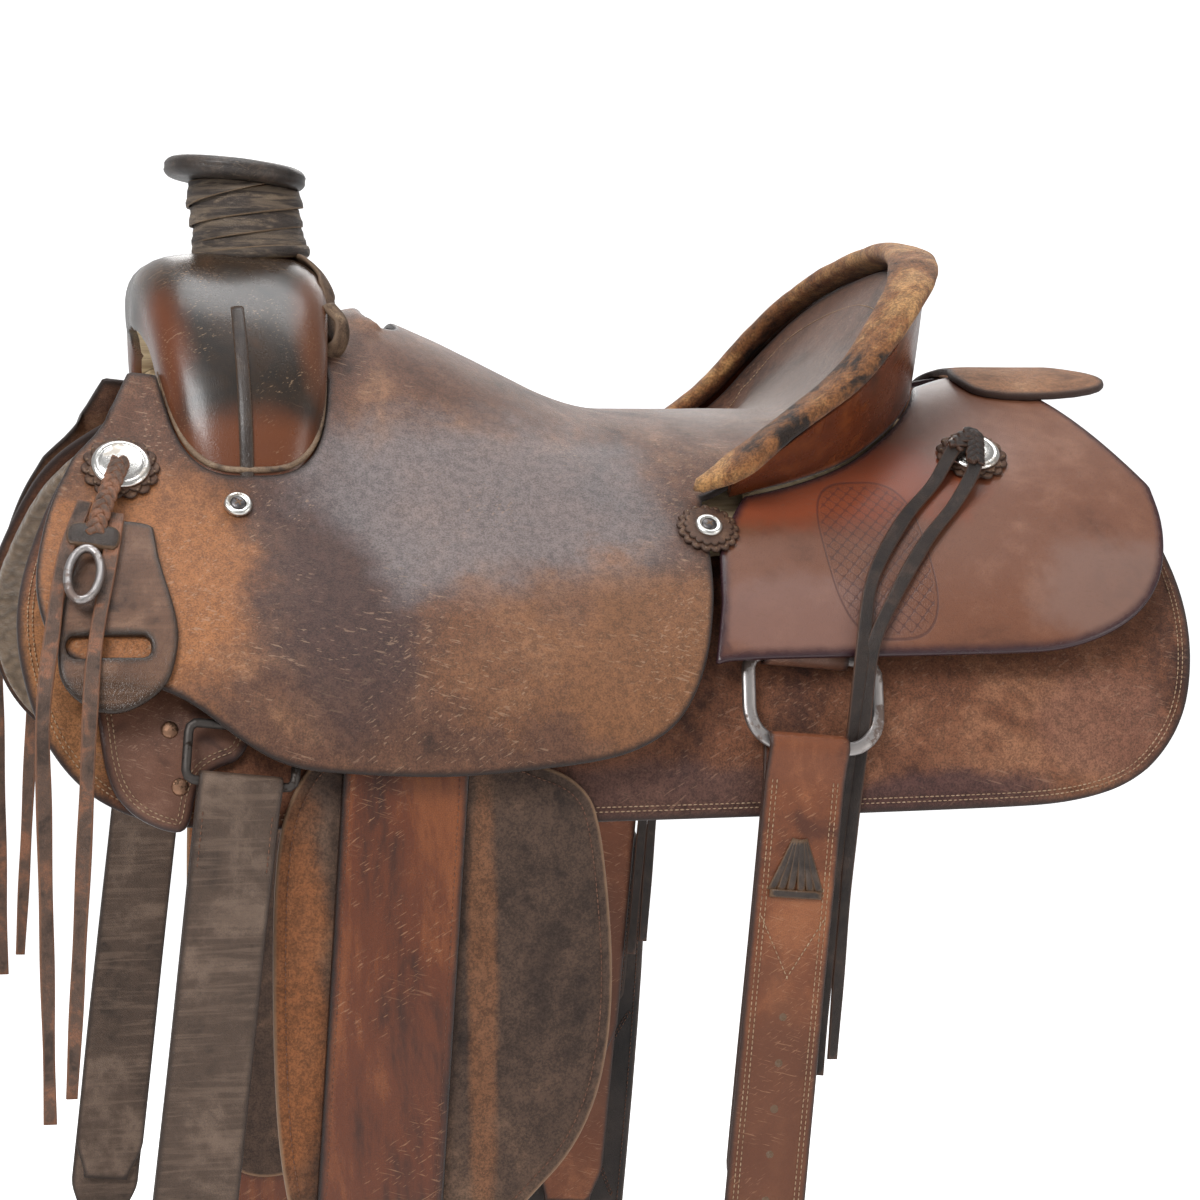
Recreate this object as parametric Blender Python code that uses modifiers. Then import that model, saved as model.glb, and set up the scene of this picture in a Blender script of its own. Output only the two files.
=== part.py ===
"""Ranch saddle with a post horn, a one-piece seat, flat-plate rigging and a rolled cantle.

Units are metres. +X runs from the horn to the cantle, +Y to the off (right) side, +Z up.
The origin is where the saddle rests on a rack's ridge, below the lowest point of the seat.
The leather lies in layers round one barrel, so a sheet is drawn flat in a pattern of
(x, height) points and then bent round the barrel at its own layer.
"""

import math

import bmesh
import bpy
from mathutils import Matrix, Vector

# Clearances
CLEARANCE = 0.0003
LAYER_GAP = 0.0008
LINING_GAP = 0.0012
BAR_GAP = 0.0022
GROUND_SEAT_GAP = 0.0014
LOOP_GAP = 0.0008
SEAM_GAP = 0.0009

# The barrel that the bars and the leather lie round
BARREL_RADIUS = 0.215
BARREL_TOP_Z = 0.050
BARREL_CENTRE_Z = BARREL_TOP_Z - BARREL_RADIUS
BEND_STEP = math.radians(7.5)
BEND_COUNT = 12
RISE_END = 7 * BEND_STEP
FRONT_RISE = 0.067
FRONT_RISE_START = 0.0
FRONT_RISE_LENGTH = 0.190
FRONT_RISE_FACETS = 6
REAR_RISE = 0.026
REAR_RISE_START = 0.120
REAR_RISE_LENGTH = 0.160
REAR_RISE_FACETS = 4

# Tree
BAR_THICKNESS = 0.0132
BAR_FRONT_X = -0.345
BAR_REAR_X = 0.300
FORK_TOP_Z = 0.179
FORK_FRONT_X = -0.330
FORK_STOCK = 0.122
FORK_HALF_WIDTH = 0.156
FORK_TOP_THICKNESS = 0.070
COVER_THICKNESS = 0.0038

# Horn
HORN_BASE_X = -0.251
HORN_LEAN = math.radians(5.0)
NECK_BASE_RADIUS = 0.033
NECK_WAIST_RADIUS = 0.029
NECK_HEIGHT = 0.066
CAP_RADIUS = 0.0495
CAP_THICKNESS = 0.0145
CAP_TILT = math.radians(6.0)
CAP_CENTRE_X = -0.2605
CAP_TOP_Z = 0.2465
WRAP_THICKNESS = 0.0085
WRAP_WIDTH = 0.0096
WRAP_TURNS = 2.5
WRAP_PITCH = 0.0105
WRAP_POINTS_PER_TURN = 20
WRAP_SEAT_GAP = 0.0011
WRAP_START = 0.0141

# Skirts and lining
SKIRT_THICKNESS = 0.005
SKIRT_FLARE = 0.025
LINING_THICKNESS = 0.012
LINING_INSET = 0.004
LINING_HUB = (-0.030, 60.0)

# Seat and jockeys
SEAT_THICKNESS = 0.0045
SEAT_EDGE_INSET = 0.003
SEAT_EAR_X = 0.030
JOCKEY_HEIGHT = 0.0270
JOCKEY_FLARE = 0.024
REAR_JOCKEY_THICKNESS = 0.0042
REAR_JOCKEY_PART = 0.012
REAR_COVER_THICKNESS = 0.005
GROUND_SEAT_THICKNESS = 0.0045
HAND_HOLE_X = -0.1655
HAND_HOLE_LENGTH = 0.024
HAND_HOLE_WIDTH = 0.070

# Cantle
CANTLE_DISH_REACH = 0.105
CANTLE_DISH_OUTER_REACH = 0.004
CANTLE_HUB_X = 0.105
DISH_LINES = 8
DISH_LINES_START = 0.030
DISH_LINE_SPACING = 0.0225
CANTLE_DISH_CURVE = 1.7
CANTLE_TOP_INSET = 0.016
CANTLE_TOP_THICKNESS = 0.009
CANTLE_FOOT_DROP = 0.030
CANTLE_BACK_THICKNESS = 0.0035
CANTLE_BACK_GAP = 0.0015
CANTLE_TOP_DROP = 0.003
CANTLE_FOOT_DEPTH = 0.040
CANTLE_BELLY = 0.002
CANTLE_FOOT_INSET = 0.004
SEAT_SPACE_DROP = 0.012
JOCKEY_EDGE_GAP = 0.0012
JOCKEY_EDGE_OFFSET = CANTLE_BACK_GAP + CANTLE_BACK_THICKNESS + JOCKEY_EDGE_GAP
ROLL_WIDTH = 0.037
ROLL_THICKNESS = 0.0150
ROLL_SIDES = 8
ROLL_OVERHANG = 0.009
ROLL_SEAT_GAP = 0.0019
ROLL_EAR_LIFT = 0.0046
ROLL_TILT = math.radians(16.0)
ROLL_EAR_TILT = math.radians(42.0)

# Swinging leathers, fenders and stirrups
PIVOT_X = -0.183
PIVOT_Z = -0.072
FENDER_STANDOFF = 0.002
FENDER_TOP_STANDOFF = 0.0026
FENDER_THICKNESS = 0.0035
LEATHER_WIDTH = 0.081
LEATHER_THICKNESS = 0.005
LEATHER_STANDOFF = 0.0058
LEATHER_TOP_STANDOFF = 0.008
LEATHER_LEAN = 0.062
SWING_LIMIT = math.radians(15.0)
LEATHER_LOOP_THICKNESS = 0.0044
BOLT_Z = -0.600
BOLT_RADIUS = 0.0048
STIRRUP_INNER_WIDTH = 0.125
STIRRUP_HEIGHT = 0.150
STIRRUP_TREAD_DEPTH = 0.078
STIRRUP_WALL = 0.016

# Front rigging
PLATE_THICKNESS = 0.005
RING_BAR_RADIUS = 0.003
RING_WIDTH = 0.068
RING_HEIGHT = 0.036
RING_CORNER = 0.0055
RING_STANDOFF = 0.0192
RING_PLANE_Y = BARREL_RADIUS + SKIRT_FLARE + RING_STANDOFF
RING_LOW_BAR_Z = -0.1565
RING_LOW_BAR_X = -0.2930
RING_LEAN = math.radians(6.5)
RING_TILT = math.radians(17.0)
LATIGO_WIDTH = 0.052
LATIGO_PLY = 0.0032
LATIGO_LENGTH = 0.400
OFF_BILLET_LENGTH = 0.400

# Rear rigging
DEE_WIDTH = 0.097
DEE_HEIGHT = 0.062
DEE_BAR = 0.009
DEE_THICKNESS = 0.005
DEE_TOP_X = 0.0865
DEE_TOP_Z = -0.0870
DEE_LEAN = math.radians(5.5)
DEE_TILT = math.radians(22.8)
DEE_STANDOFF = 0.0115
DEE_LEATHER_TILT = math.radians(32.0)
BILLET_SHIFT = -0.0055
BILLET_WIDTH = 0.054
BILLET_PLY = 0.0034
BILLET_LENGTH = 0.420
DEE_LEATHER_WIDTH = 0.057
DEE_LEATHER_PLY = 0.0022
DEE_LEATHER_LENGTH = 0.050
DEE_LEATHER_SHIFT = -0.005

# Flank cinch on the off side
CINCH_WIDTH = 0.100
CINCH_THICKNESS = 0.009
CINCH_LENGTH = 0.620
BUCKLE_WIDTH = 0.072
BUCKLE_HEIGHT = 0.050
BUCKLE_THICKNESS = 0.006
BUCKLE_DROP = 0.070

# Conchos, rosettes and strings
CONCHO_RADIUS = 0.019
CONCHO_THICKNESS = 0.0034
ROSETTE_RADIUS = 0.0255
ROSETTE_THICKNESS = 0.0040
ROSETTE_LOBES = 14
SEAT_ROSETTE_RADIUS = 0.0215
SEAT_ROSETTE_LOBES = 17
FERRULE_RADIUS = 0.0080
ORNAMENT_LIFT = 0.0009
STRING_RADIUS = 0.0030
STRING_LIFT = 0.0012
FRONT_STRING_STANDOFF = 0.026
STRING_STEP = 10.0
CARRIER_THICKNESS = 0.0045
CARRIER_SLOT_WIDTH = 0.052
CARRIER_SLOT_HEIGHT = 0.013

NEAR = -1
OFF = 1
SIDES = (("near", NEAR), ("off", OFF))

# Outlines, as (x, height) on the outside of the sheet that they bound
BAR_OUTLINE = (
    (BAR_FRONT_X, 28), (-0.325, 18), (-0.280, 15), (-0.100, 15), (0.120, 16), (0.250, 17),
    (0.290, 21), (BAR_REAR_X, 29), (0.285, 38), (0.200, 44), (0.090, 48), (-0.020, 50),
    (-0.130, 51), (-0.230, 52), (-0.300, 51), (-0.338, 44))
SKIRT_OUTLINE = (
    (-0.350, 0.0300), (-0.385, 0.0180), (-0.405, -0.0020), (-0.420, -0.0300), (-0.426, -0.0690),
    (-0.416, -0.1180), (-0.396, -0.1530), (-0.362, -0.1780), (-0.310, -0.1890), (-0.060, -0.1900),
    (0.214, -0.1890), (0.271, -0.1860), (0.313, -0.1730), (0.345, -0.1380), (0.360, -0.0940),
    (0.367, -0.0500), (0.364, -0.0100), (0.345, 0.0180))
SKIRT_TOP = ((0.335, 24), (0.300, 17), (0.100, 16), (-0.250, 16), (-0.315, 20))
SEAT_FRONT_CORNER = ((-0.362, 31), (-0.345, 23), (-0.318, 14), (-0.270, 6))
GROUND_SEAT_OUTLINE = (
    (-0.135, -34), (0.090, -34), (0.105, -20), (0.105, 20), (0.090, 34), (-0.135, 34))
SEAT_SIDE_OUTLINE = (
    (0.0275, -0.0100), (0.0250, -0.0300), (0.0220, -0.0490), (0.0100, -0.0900),
    (-0.0100, -0.1240), (-0.0360, -0.1400), (-0.0640, -0.1480), (-0.1160, -0.1530),
    (-0.1670, -0.1560), (-0.2370, -0.1510), (-0.2650, -0.1460), (-0.2920, -0.1300),
    (-0.3250, -0.1020), (-0.3600, -0.0900), (-0.3920, -0.0800), (-0.4060, -0.0680),
    (-0.4130, -0.0440), (-0.4120, -0.0200), (-0.4020, 0.0100), (-0.3850, 0.0300))
REAR_JOCKEY_OUTLINE = (
    (0.0270, -0.0500), (0.0160, -0.0885), (0.0310, -0.0850), (0.2140, -0.0850), (0.2640, -0.0830),
    (0.3110, -0.0660), (0.3400, -0.0400), (0.3560, -0.0050), (0.3560, 0.0200))
REAR_JOCKEY_LOW_CORNER = (0.0345, -0.0120)
REAR_JOCKEY_TOP = ((0.300, 0.060), (0.262, REAR_JOCKEY_PART))
REAR_COVER_OUTLINE = (
    (0.262, 0.000), (0.250, 0.050), (0.262, 0.100), (0.360, 0.092), (0.384, 0.060),
    (0.350, 0.018))
PLATE_OUTLINE = (
    (-0.300, -0.0600), (-0.385, -0.0700), (-0.378, -0.1100), (-0.374, -0.1540),
    (-0.359, -0.1760), (-0.338, -0.1870), (-0.323, -0.1880), (-0.319, -0.1610),
    (-0.310, -0.1490), (-0.285, -0.1420), (-0.280, -0.1000), (-0.284, -0.0700))
CARRIER_OUTLINE = (
    (-0.3380, 0.0020), (-0.3370, -0.0040), (-0.3360, -0.0200), (-0.3270, -0.0570),
    (-0.3290, -0.0760), (-0.3380, -0.0990), (-0.3720, -0.1150), (-0.4010, -0.0970),
    (-0.4030, -0.0700), (-0.3960, -0.0400), (-0.3820, -0.0080), (-0.3760, 0.0040))
CARRIER_SLOT = (-0.371, -0.0710)
FENDER_OUTLINE = (
    (-0.2050, -0.1180), (-0.2300, -0.1340), (-0.2560, -0.1560), (-0.2700, -0.2000),
    (-0.2720, -0.3100), (-0.2680, -0.4000), (-0.2540, -0.4600), (-0.2480, -0.5100),
    (-0.2160, -0.5280), (-0.1700, -0.5180), (-0.1560, -0.4800), (-0.1180, -0.4400),
    (-0.0680, -0.3900), (-0.0500, -0.3100), (-0.0580, -0.2000), (-0.0700, -0.1620),
    (-0.1150, -0.1460), (-0.1500, -0.1240))
FRONT_CONCHO_PLACE = (-0.355, 38.4)
SEAT_ROSETTE_PLACE = (0.0280, -0.0050)
REAR_CONCHO_PLACE = (0.232, 33.6)

# Strings, up one tail, over the concho and down the other: (x, height, lift off the leather)
CARRIER_LIFT = SEAM_GAP + CARRIER_THICKNESS
CONCHO_LIFT = ORNAMENT_LIFT + ROSETTE_THICKNESS + CLEARANCE + 1.25 * CONCHO_THICKNESS
FRONT_STRING_ROUTE = (
    (-0.4110, -0.3600, None), (-0.4120, -0.2600, None), (-0.4130, -0.1700, None),
    (-0.4130, -0.1150, CARRIER_LIFT), (-0.4060, -0.0700, CARRIER_LIFT),
    (-0.3960, -0.0260, CARRIER_LIFT), (-0.3800, 0.0060, CARRIER_LIFT),
    (-0.3640, 0.0260, CONCHO_LIFT), (-0.3550, 0.0310, CONCHO_LIFT),
    (-0.3540, 0.0180, CONCHO_LIFT), (-0.3600, 0.0000, CARRIER_LIFT),
    (-0.3700, -0.0350, CARRIER_LIFT), (-0.3800, -0.0750, CARRIER_LIFT),
    (-0.3850, -0.1150, CARRIER_LIFT), (-0.3880, -0.1700, None),
    (-0.3930, -0.2600, None), (-0.3980, -0.3450, None))
REAR_STRING_ROUTE = (
    (0.0860, -0.3600, None), (0.0935, -0.2800, None), (0.1010, -0.2000, None),
    (0.1080, -0.1450, None), (0.1138, -0.0850, 0.0), (0.1310, -0.0400, 0.0),
    (0.1640, -0.0030, 0.0), (0.1950, 0.0200, 0.0), (0.2140, 0.0330, CONCHO_LIFT),
    (0.2320, 0.0400, CONCHO_LIFT), (0.2250, 0.0240, CONCHO_LIFT), (0.2060, 0.0080, 0.0),
    (0.1760, -0.0160, 0.0), (0.1440, -0.0500, 0.0), (0.1202, -0.0850, 0.0),
    (0.1155, -0.1450, None), (0.1085, -0.2000, None), (0.1015, -0.2800, None),
    (0.0960, -0.3500, None))

# Cantle rim on the off side, from the ear to the middle, as (x, y, z)
RIM_POINTS = (
    (0.028, 0.1600, 0.0160), (0.056, 0.1665, 0.0330), (0.100, 0.1665, 0.0650),
    (0.133, 0.1640, 0.0920), (0.158, 0.1560, 0.1220), (0.182, 0.1330, 0.1530),
    (0.198, 0.0950, 0.1730), (0.209, 0.0500, 0.1850), (0.214, 0.0000, 0.1900))
RIM_STEPS = 2
EAR_STATIONS = 2

# Foot of the cantle's back on the off side, as (x, y), ear to middle, one for each rim point
BACK_SEAM_POINTS = (
    (0.030, 0.1600), (0.061, 0.1530), (0.098, 0.1440), (0.132, 0.1300), (0.158, 0.1130),
    (0.186, 0.0880), (0.206, 0.0600), (0.219, 0.0300), (0.223, 0.0000))

# Colours
COLOURS = {
    "wood": ((0.42, 0.28, 0.16), 0.7, 0.0),
    "rough_leather": ((0.115, 0.055, 0.028), 0.75, 0.0),
    "smooth_leather": ((0.16, 0.062, 0.026), 0.42, 0.0),
    "fork_leather": ((0.19, 0.060, 0.024), 0.30, 0.0),
    "worn_leather": ((0.15, 0.115, 0.080), 0.6, 0.0),
    "horn_leather": ((0.030, 0.018, 0.014), 0.5, 0.0),
    "roll_leather": ((0.20, 0.13, 0.085), 0.8, 0.0),
    "strap_leather": ((0.125, 0.052, 0.026), 0.45, 0.0),
    "string_leather": ((0.17, 0.085, 0.045), 0.6, 0.0),
    "fleece": ((0.62, 0.55, 0.43), 0.95, 0.0),
    "silver": ((0.72, 0.70, 0.66), 0.30, 1.0),
    "steel": ((0.46, 0.45, 0.43), 0.38, 1.0),
    "iron": ((0.20, 0.19, 0.18), 0.50, 1.0)}


def clear_scene():
    """Removes what the scene holds."""
    for item in list(bpy.data.objects):
        bpy.data.objects.remove(item)


clear_scene()
PARTS = bpy.data.collections.new("ranch_saddle")
CUTTERS = bpy.data.collections.new("cutters")
for collection in (PARTS, CUTTERS):
    bpy.context.scene.collection.children.link(collection)


def smoothstep(value):
    """An S-shaped ramp from 0 to 1."""
    value = min(1.0, max(0.0, value))
    return value * value * (3.0 - 2.0 * value)


def ramp(angle, start, end):
    """The ramp between two angles in degrees."""
    return smoothstep((math.degrees(angle) - start) / (end - start))


# Layers: how far a sheet's outer face stands off the barrel at an angle from the top
def skirt_layer(angle):
    return SKIRT_FLARE * ramp(angle, 45.0, 90.0)


def lining_layer(angle):
    return skirt_layer(angle) - SKIRT_THICKNESS - LINING_GAP


def bar_layer(angle):
    return skirt_layer(angle) + BAR_GAP + BAR_THICKNESS


def plate_layer(angle):
    return skirt_layer(angle) + LAYER_GAP + PLATE_THICKNESS


def jockey_layer(angle):
    return JOCKEY_HEIGHT + JOCKEY_FLARE * ramp(angle, 45.0, 90.0)


def rear_cover_layer(angle):
    return jockey_layer(angle) + LAYER_GAP + REAR_COVER_THICKNESS


def ground_seat_layer(angle):
    return bar_layer(angle) + GROUND_SEAT_GAP + GROUND_SEAT_THICKNESS


def carrier_layer(angle):
    return jockey_layer(angle) + SEAM_GAP + CARRIER_THICKNESS


def fender_layer(angle):
    drawn_in = ramp(angle, 75.0, 90.0)
    standoff = FENDER_TOP_STANDOFF + (FENDER_STANDOFF - FENDER_TOP_STANDOFF) * drawn_in
    return skirt_layer(angle) + standoff + FENDER_THICKNESS


def leather_layer(angle):
    drawn_in = ramp(angle, 65.0, 90.0)
    standoff = LEATHER_TOP_STANDOFF + (LEATHER_STANDOFF - LEATHER_TOP_STANDOFF) * drawn_in
    return skirt_layer(angle) + standoff + LEATHER_THICKNESS


def loop_layer(angle):
    over_bar = bar_layer(angle) + LOOP_GAP + LEATHER_LOOP_THICKNESS
    below_bar = skirt_layer(angle) + LEATHER_TOP_STANDOFF + LEATHER_THICKNESS
    return over_bar + (below_bar - over_bar) * ramp(angle, 52.5, 67.5)


RISE_SPANS = (
    (FRONT_RISE_START - FRONT_RISE_LENGTH, FRONT_RISE_LENGTH, FRONT_RISE_FACETS),
    (REAR_RISE_START, REAR_RISE_LENGTH, REAR_RISE_FACETS))


def smooth_rise(x, angle):
    """How far the bars and all that lies on them rise towards the fork and the cantle."""
    if angle >= RISE_END:
        return 0.0
    front = FRONT_RISE * smoothstep((FRONT_RISE_START - x) / FRONT_RISE_LENGTH)
    rear = REAR_RISE * smoothstep((x - REAR_RISE_START) / REAR_RISE_LENGTH)
    return (front + rear) * math.cos(0.5 * math.pi * angle / RISE_END) ** 2


def crest_rise(x, angle):
    """The rise in flat facets between the bend lines, so that all layers stay apart."""
    row = int(angle / BEND_STEP)
    up = angle / BEND_STEP - row
    bends = (row * BEND_STEP, (row + 1) * BEND_STEP)
    for start, length, facets in RISE_SPANS:
        if start <= x <= start + length:
            across = (x - start) / length * facets
            column = min(facets - 1, int(across))
            across -= column
            before, after = (start + length * (column + i) / facets for i in (0, 1))
            corner, far_corner = smooth_rise(before, bends[0]), smooth_rise(after, bends[1])
            if across >= up:
                middle = smooth_rise(after, bends[0])
                return corner + (middle - corner) * across + (far_corner - middle) * up
            middle = smooth_rise(before, bends[1])
            return corner + (middle - corner) * up + (far_corner - middle) * across
    low, high = smooth_rise(x, bends[0]), smooth_rise(x, bends[1])
    return low + (high - low) * up


def section_point(angle, layer):
    """A layer's section as straight facets between the bend lines: (y, z) for an angle."""
    limit = BEND_COUNT * BEND_STEP
    if angle >= limit:
        radius = BARREL_RADIUS + layer(limit)
        return radius, BARREL_CENTRE_Z - (angle - limit) * BARREL_RADIUS
    step = min(BEND_COUNT - 1, int(angle / BEND_STEP))
    share = angle / BEND_STEP - step
    y_pair, z_pair = [], []
    for bend in (step * BEND_STEP, (step + 1) * BEND_STEP):
        radius = BARREL_RADIUS + layer(bend)
        y_pair.append(radius * math.sin(bend))
        z_pair.append(BARREL_CENTRE_Z + radius * math.cos(bend))
    y = y_pair[0] + (y_pair[1] - y_pair[0]) * share
    z = z_pair[0] + (z_pair[1] - z_pair[0]) * share
    return y, z


def barrel_point(x, arc, layer):
    """The point of a layer at x and at an arc from the crest, negative on the near side."""
    angle = abs(arc) / BARREL_RADIUS
    y, z = section_point(angle, layer)
    return Vector((x, math.copysign(y, arc), z + crest_rise(x, angle)))


def arc_at_height(height, layer):
    """The arc at which a layer's section is at a height, without the rise."""
    low, high = 0.0, 6.0
    for _ in range(40):
        middle = 0.5 * (low + high)
        if section_point(middle, layer)[1] > height:
            low = middle
        else:
            high = middle
    return low * BARREL_RADIUS


def arc_at_width(y, layer):
    """The arc at which a layer's section is y away from the middle."""
    low, high = 0.0, 0.5 * math.pi
    for _ in range(40):
        middle = 0.5 * (low + high)
        if section_point(middle, layer)[0] < y:
            low = middle
        else:
            high = middle
    return low * BARREL_RADIUS


def arc_at_degrees(degrees):
    return math.radians(degrees) * BARREL_RADIUS


# Materials and objects
def material(name, finish):
    """A Principled material of the piece's own name in one of the listed finishes."""
    colour, roughness, metallic = COLOURS[finish]
    shade = bpy.data.materials.new(name)
    shade.use_nodes = True
    principled = shade.node_tree.nodes["Principled BSDF"]
    principled.inputs["Base Color"].default_value = (*colour, 1.0)
    principled.inputs["Roughness"].default_value = roughness
    principled.inputs["Metallic"].default_value = metallic
    shade.diffuse_color = (*colour, 1.0)
    return shade


def add_object(name, mesh, finish=None, smooth_angle=35.0):
    """Puts a mesh in the scene as a part, or as a cutter where it has no finish."""
    item = bpy.data.objects.new(name, mesh)
    if finish is None:
        CUTTERS.objects.link(item)
        item.hide_render = True
        item.display_type = 'WIRE'
        return item
    PARTS.objects.link(item)
    mesh.materials.clear()
    mesh.materials.append(material(name, finish))
    mesh.shade_smooth()
    mesh.set_sharp_from_angle(angle=math.radians(smooth_angle))
    return item


def mesh_from(bm, name):
    """Turns a bmesh into a mesh and frees it."""
    mesh = bpy.data.meshes.new(name)
    bm.to_mesh(mesh)
    bm.free()
    return mesh


def evaluated_mesh(item, name):
    """The mesh that an object's modifiers or curve settings make."""
    bpy.context.view_layer.update()
    graph = bpy.context.evaluated_depsgraph_get()
    mesh = bpy.data.meshes.new_from_object(item.evaluated_get(graph), depsgraph=graph)
    mesh.name = name
    return mesh


def subtract(item, cutter):
    """Cuts one object away from another."""
    cut = item.modifiers.new("cut", 'BOOLEAN')
    cut.operation = 'DIFFERENCE'
    cut.object = cutter


def outline_curve(name, outlines, thickness=0.0):
    """A filled flat curve, with holes for the outlines after the first."""
    curve = bpy.data.curves.new(name, 'CURVE')
    curve.dimensions = '2D'
    curve.fill_mode = 'BOTH'
    curve.extrude = 0.5 * thickness
    for outline in outlines:
        spline = curve.splines.new('POLY')
        spline.points.add(len(outline) - 1)
        for point, place in zip(spline.points, outline):
            point.co = (place[0], place[1], 0.0, 1.0)
        spline.use_cyclic_u = True
    return curve


def outline_mesh(name, outlines, thickness=0.0):
    """The mesh of a filled flat outline, a sheet or a plate, with its caps welded."""
    curve = outline_curve(name, outlines, thickness)
    holder = bpy.data.objects.new(name, curve)
    bpy.context.scene.collection.objects.link(holder)
    mesh = evaluated_mesh(holder, name)
    bpy.data.objects.remove(holder)
    bm = bmesh.new()
    bm.from_mesh(mesh)
    bmesh.ops.remove_doubles(bm, verts=bm.verts, dist=0.00001)
    bpy.data.meshes.remove(mesh)
    return bm


def round_corners(points, rounds=1, share=0.25):
    """Cuts each corner of a closed outline, which rounds it more with every round."""
    for _ in range(rounds):
        rounded = []
        for index, point in enumerate(points):
            after = points[(index + 1) % len(points)]
            for part in (share, 1.0 - share):
                rounded.append(tuple(a + (b - a) * part for a, b in zip(point, after)))
        points = rounded
    return points


def round_line(points, share=0.25):
    """Cuts the inner corners of an open line and keeps its ends."""
    rounded = [points[0]]
    for before, after in zip(points, points[1:]):
        for part in (share, 1.0 - share):
            rounded.append(tuple(a + (b - a) * part for a, b in zip(before, after)))
    rounded.append(points[-1])
    return rounded


def rounded_rectangle(width, height, corner, steps=3):
    """A rounded rectangle's points round the origin."""
    points = []
    centres = ((1, 1), (-1, 1), (-1, -1), (1, -1))
    for quarter, (across, up) in enumerate(centres):
        for step in range(steps + 1):
            angle = 0.5 * math.pi * (quarter + step / steps)
            points.append((across * (0.5 * width - corner) + corner * math.cos(angle),
                           up * (0.5 * height - corner) + corner * math.sin(angle)))
    return points


def cut_lines(bm, normal, places, limit=None):
    """Splits a flat pattern along parallel lines, within an arc of the crest if given."""
    for place in places:
        if limit is None:
            faces = bm.faces[:]
        else:
            faces = [face for face in bm.faces
                     if abs(face.calc_center_median().y) < limit * BARREL_RADIUS]
        edges = {edge for face in faces for edge in face.edges}
        verts = {vert for face in faces for vert in face.verts}
        bmesh.ops.bisect_plane(
            bm, geom=list(verts) + list(edges) + faces, dist=0.00002,
            plane_co=tuple(place * part for part in normal), plane_no=normal)


def cut_rise(bm):
    """Splits a flat pattern where the crest's rise has the edges of its facets."""
    row = BEND_STEP * BARREL_RADIUS
    for start, length, facets in RISE_SPANS:
        column = length / facets
        lines = [start + column * index for index in range(facets + 1)]
        cut_lines(bm, (1.0, 0.0, 0.0), lines, RISE_END)
        for side in (NEAR, OFF):
            normal = Vector((row, -side * column, 0.0)).normalized()
            for index in range(1 - BEND_COUNT, facets):
                faces = []
                for face in bm.faces:
                    middle = face.calc_center_median()
                    if (start < middle.x < start + length
                            and 0.0 < side * middle.y < RISE_END * BARREL_RADIUS):
                        faces.append(face)
                edges = {edge for face in faces for edge in face.edges}
                verts = {vert for face in faces for vert in face.verts}
                bmesh.ops.bisect_plane(
                    bm, geom=list(verts) + list(edges) + faces, dist=0.00002,
                    plane_co=(start + column * index, 0.0, 0.0), plane_no=normal)


def bent_sheet(name, outlines, layer, thickness, finish, extra_lines=(), surface=None):
    """Bends a flat pattern of (x, arc) points round the barrel and gives it its thickness."""
    bm = outline_mesh(name, outlines)
    bmesh.ops.dissolve_limit(bm, angle_limit=0.01, verts=bm.verts, edges=bm.edges)
    bends = [side * step * BEND_STEP * BARREL_RADIUS
             for side in (-1, 1) for step in range(1, BEND_COUNT + 1)]
    cut_lines(bm, (0.0, 1.0, 0.0), [0.0] + bends)
    cut_rise(bm)
    cut_lines(bm, (1.0, 0.0, 0.0), extra_lines, RISE_END)
    bmesh.ops.triangulate(bm, faces=bm.faces)
    place = surface or (lambda x, arc: barrel_point(x, arc, layer))
    for vert in bm.verts:
        vert.co = place(vert.co.x, vert.co.y)
    bm.normal_update()
    hub = Vector((0.0, 0.0, BARREL_CENTRE_Z))
    facing = 0.0
    for face in bm.faces:
        outward = face.calc_center_median() - hub
        outward.x = 0.0
        facing += face.normal.dot(outward) * face.calc_area()
    if facing < 0.0:
        bmesh.ops.reverse_faces(bm, faces=bm.faces)
    if finish is None:
        return bm
    item = add_object(name, mesh_from(bm, name), finish)
    shell = item.modifiers.new("thickness", 'SOLIDIFY')
    shell.thickness = thickness
    shell.offset = -1.0
    shell.use_even_offset = True
    return item


def side_pattern(outline, layer, side, in_degrees=False):
    """An outline of (x, height) or (x, degrees) points as a flat pattern on one side."""
    points = []
    for x, place in outline:
        arc = arc_at_degrees(place) if in_degrees else arc_at_height(place, layer)
        points.append((x, side * arc))
    return points


def loft(name, rings, finish=None, smooth_angle=40.0):
    """A closed solid through rings of the same count, with flat ends."""
    bm = bmesh.new()
    rows = [[bm.verts.new(point) for point in ring] for ring in rings]
    count = len(rows[0])
    for low, high in zip(rows, rows[1:]):
        for index in range(count):
            after = (index + 1) % count
            bm.faces.new((low[index], low[after], high[after], high[index]))
    bm.faces.new(list(reversed(rows[0])))
    bm.faces.new(rows[-1])
    bmesh.ops.recalc_face_normals(bm, faces=bm.faces)
    bmesh.ops.triangulate(bm, faces=bm.faces)
    return add_object(name, mesh_from(bm, name), finish, smooth_angle)


def turned(name, profile, steps, finish=None, place=None, smooth_angle=40.0):
    """A shape turned round Z from an outer profile that runs from the top to the bottom."""
    mesh = bpy.data.meshes.new(name)
    points = [(radius, 0.0, height) for radius, height in profile]
    mesh.from_pydata(points, [(i, i + 1) for i in range(len(points) - 1)], [])
    item = add_object(name, mesh, finish, smooth_angle)
    screw = item.modifiers.new("turn", 'SCREW')
    screw.steps = steps
    screw.render_steps = steps
    screw.use_merge_vertices = True
    screw.merge_threshold = 0.0001
    item.matrix_world = place or Matrix()
    return item


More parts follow.
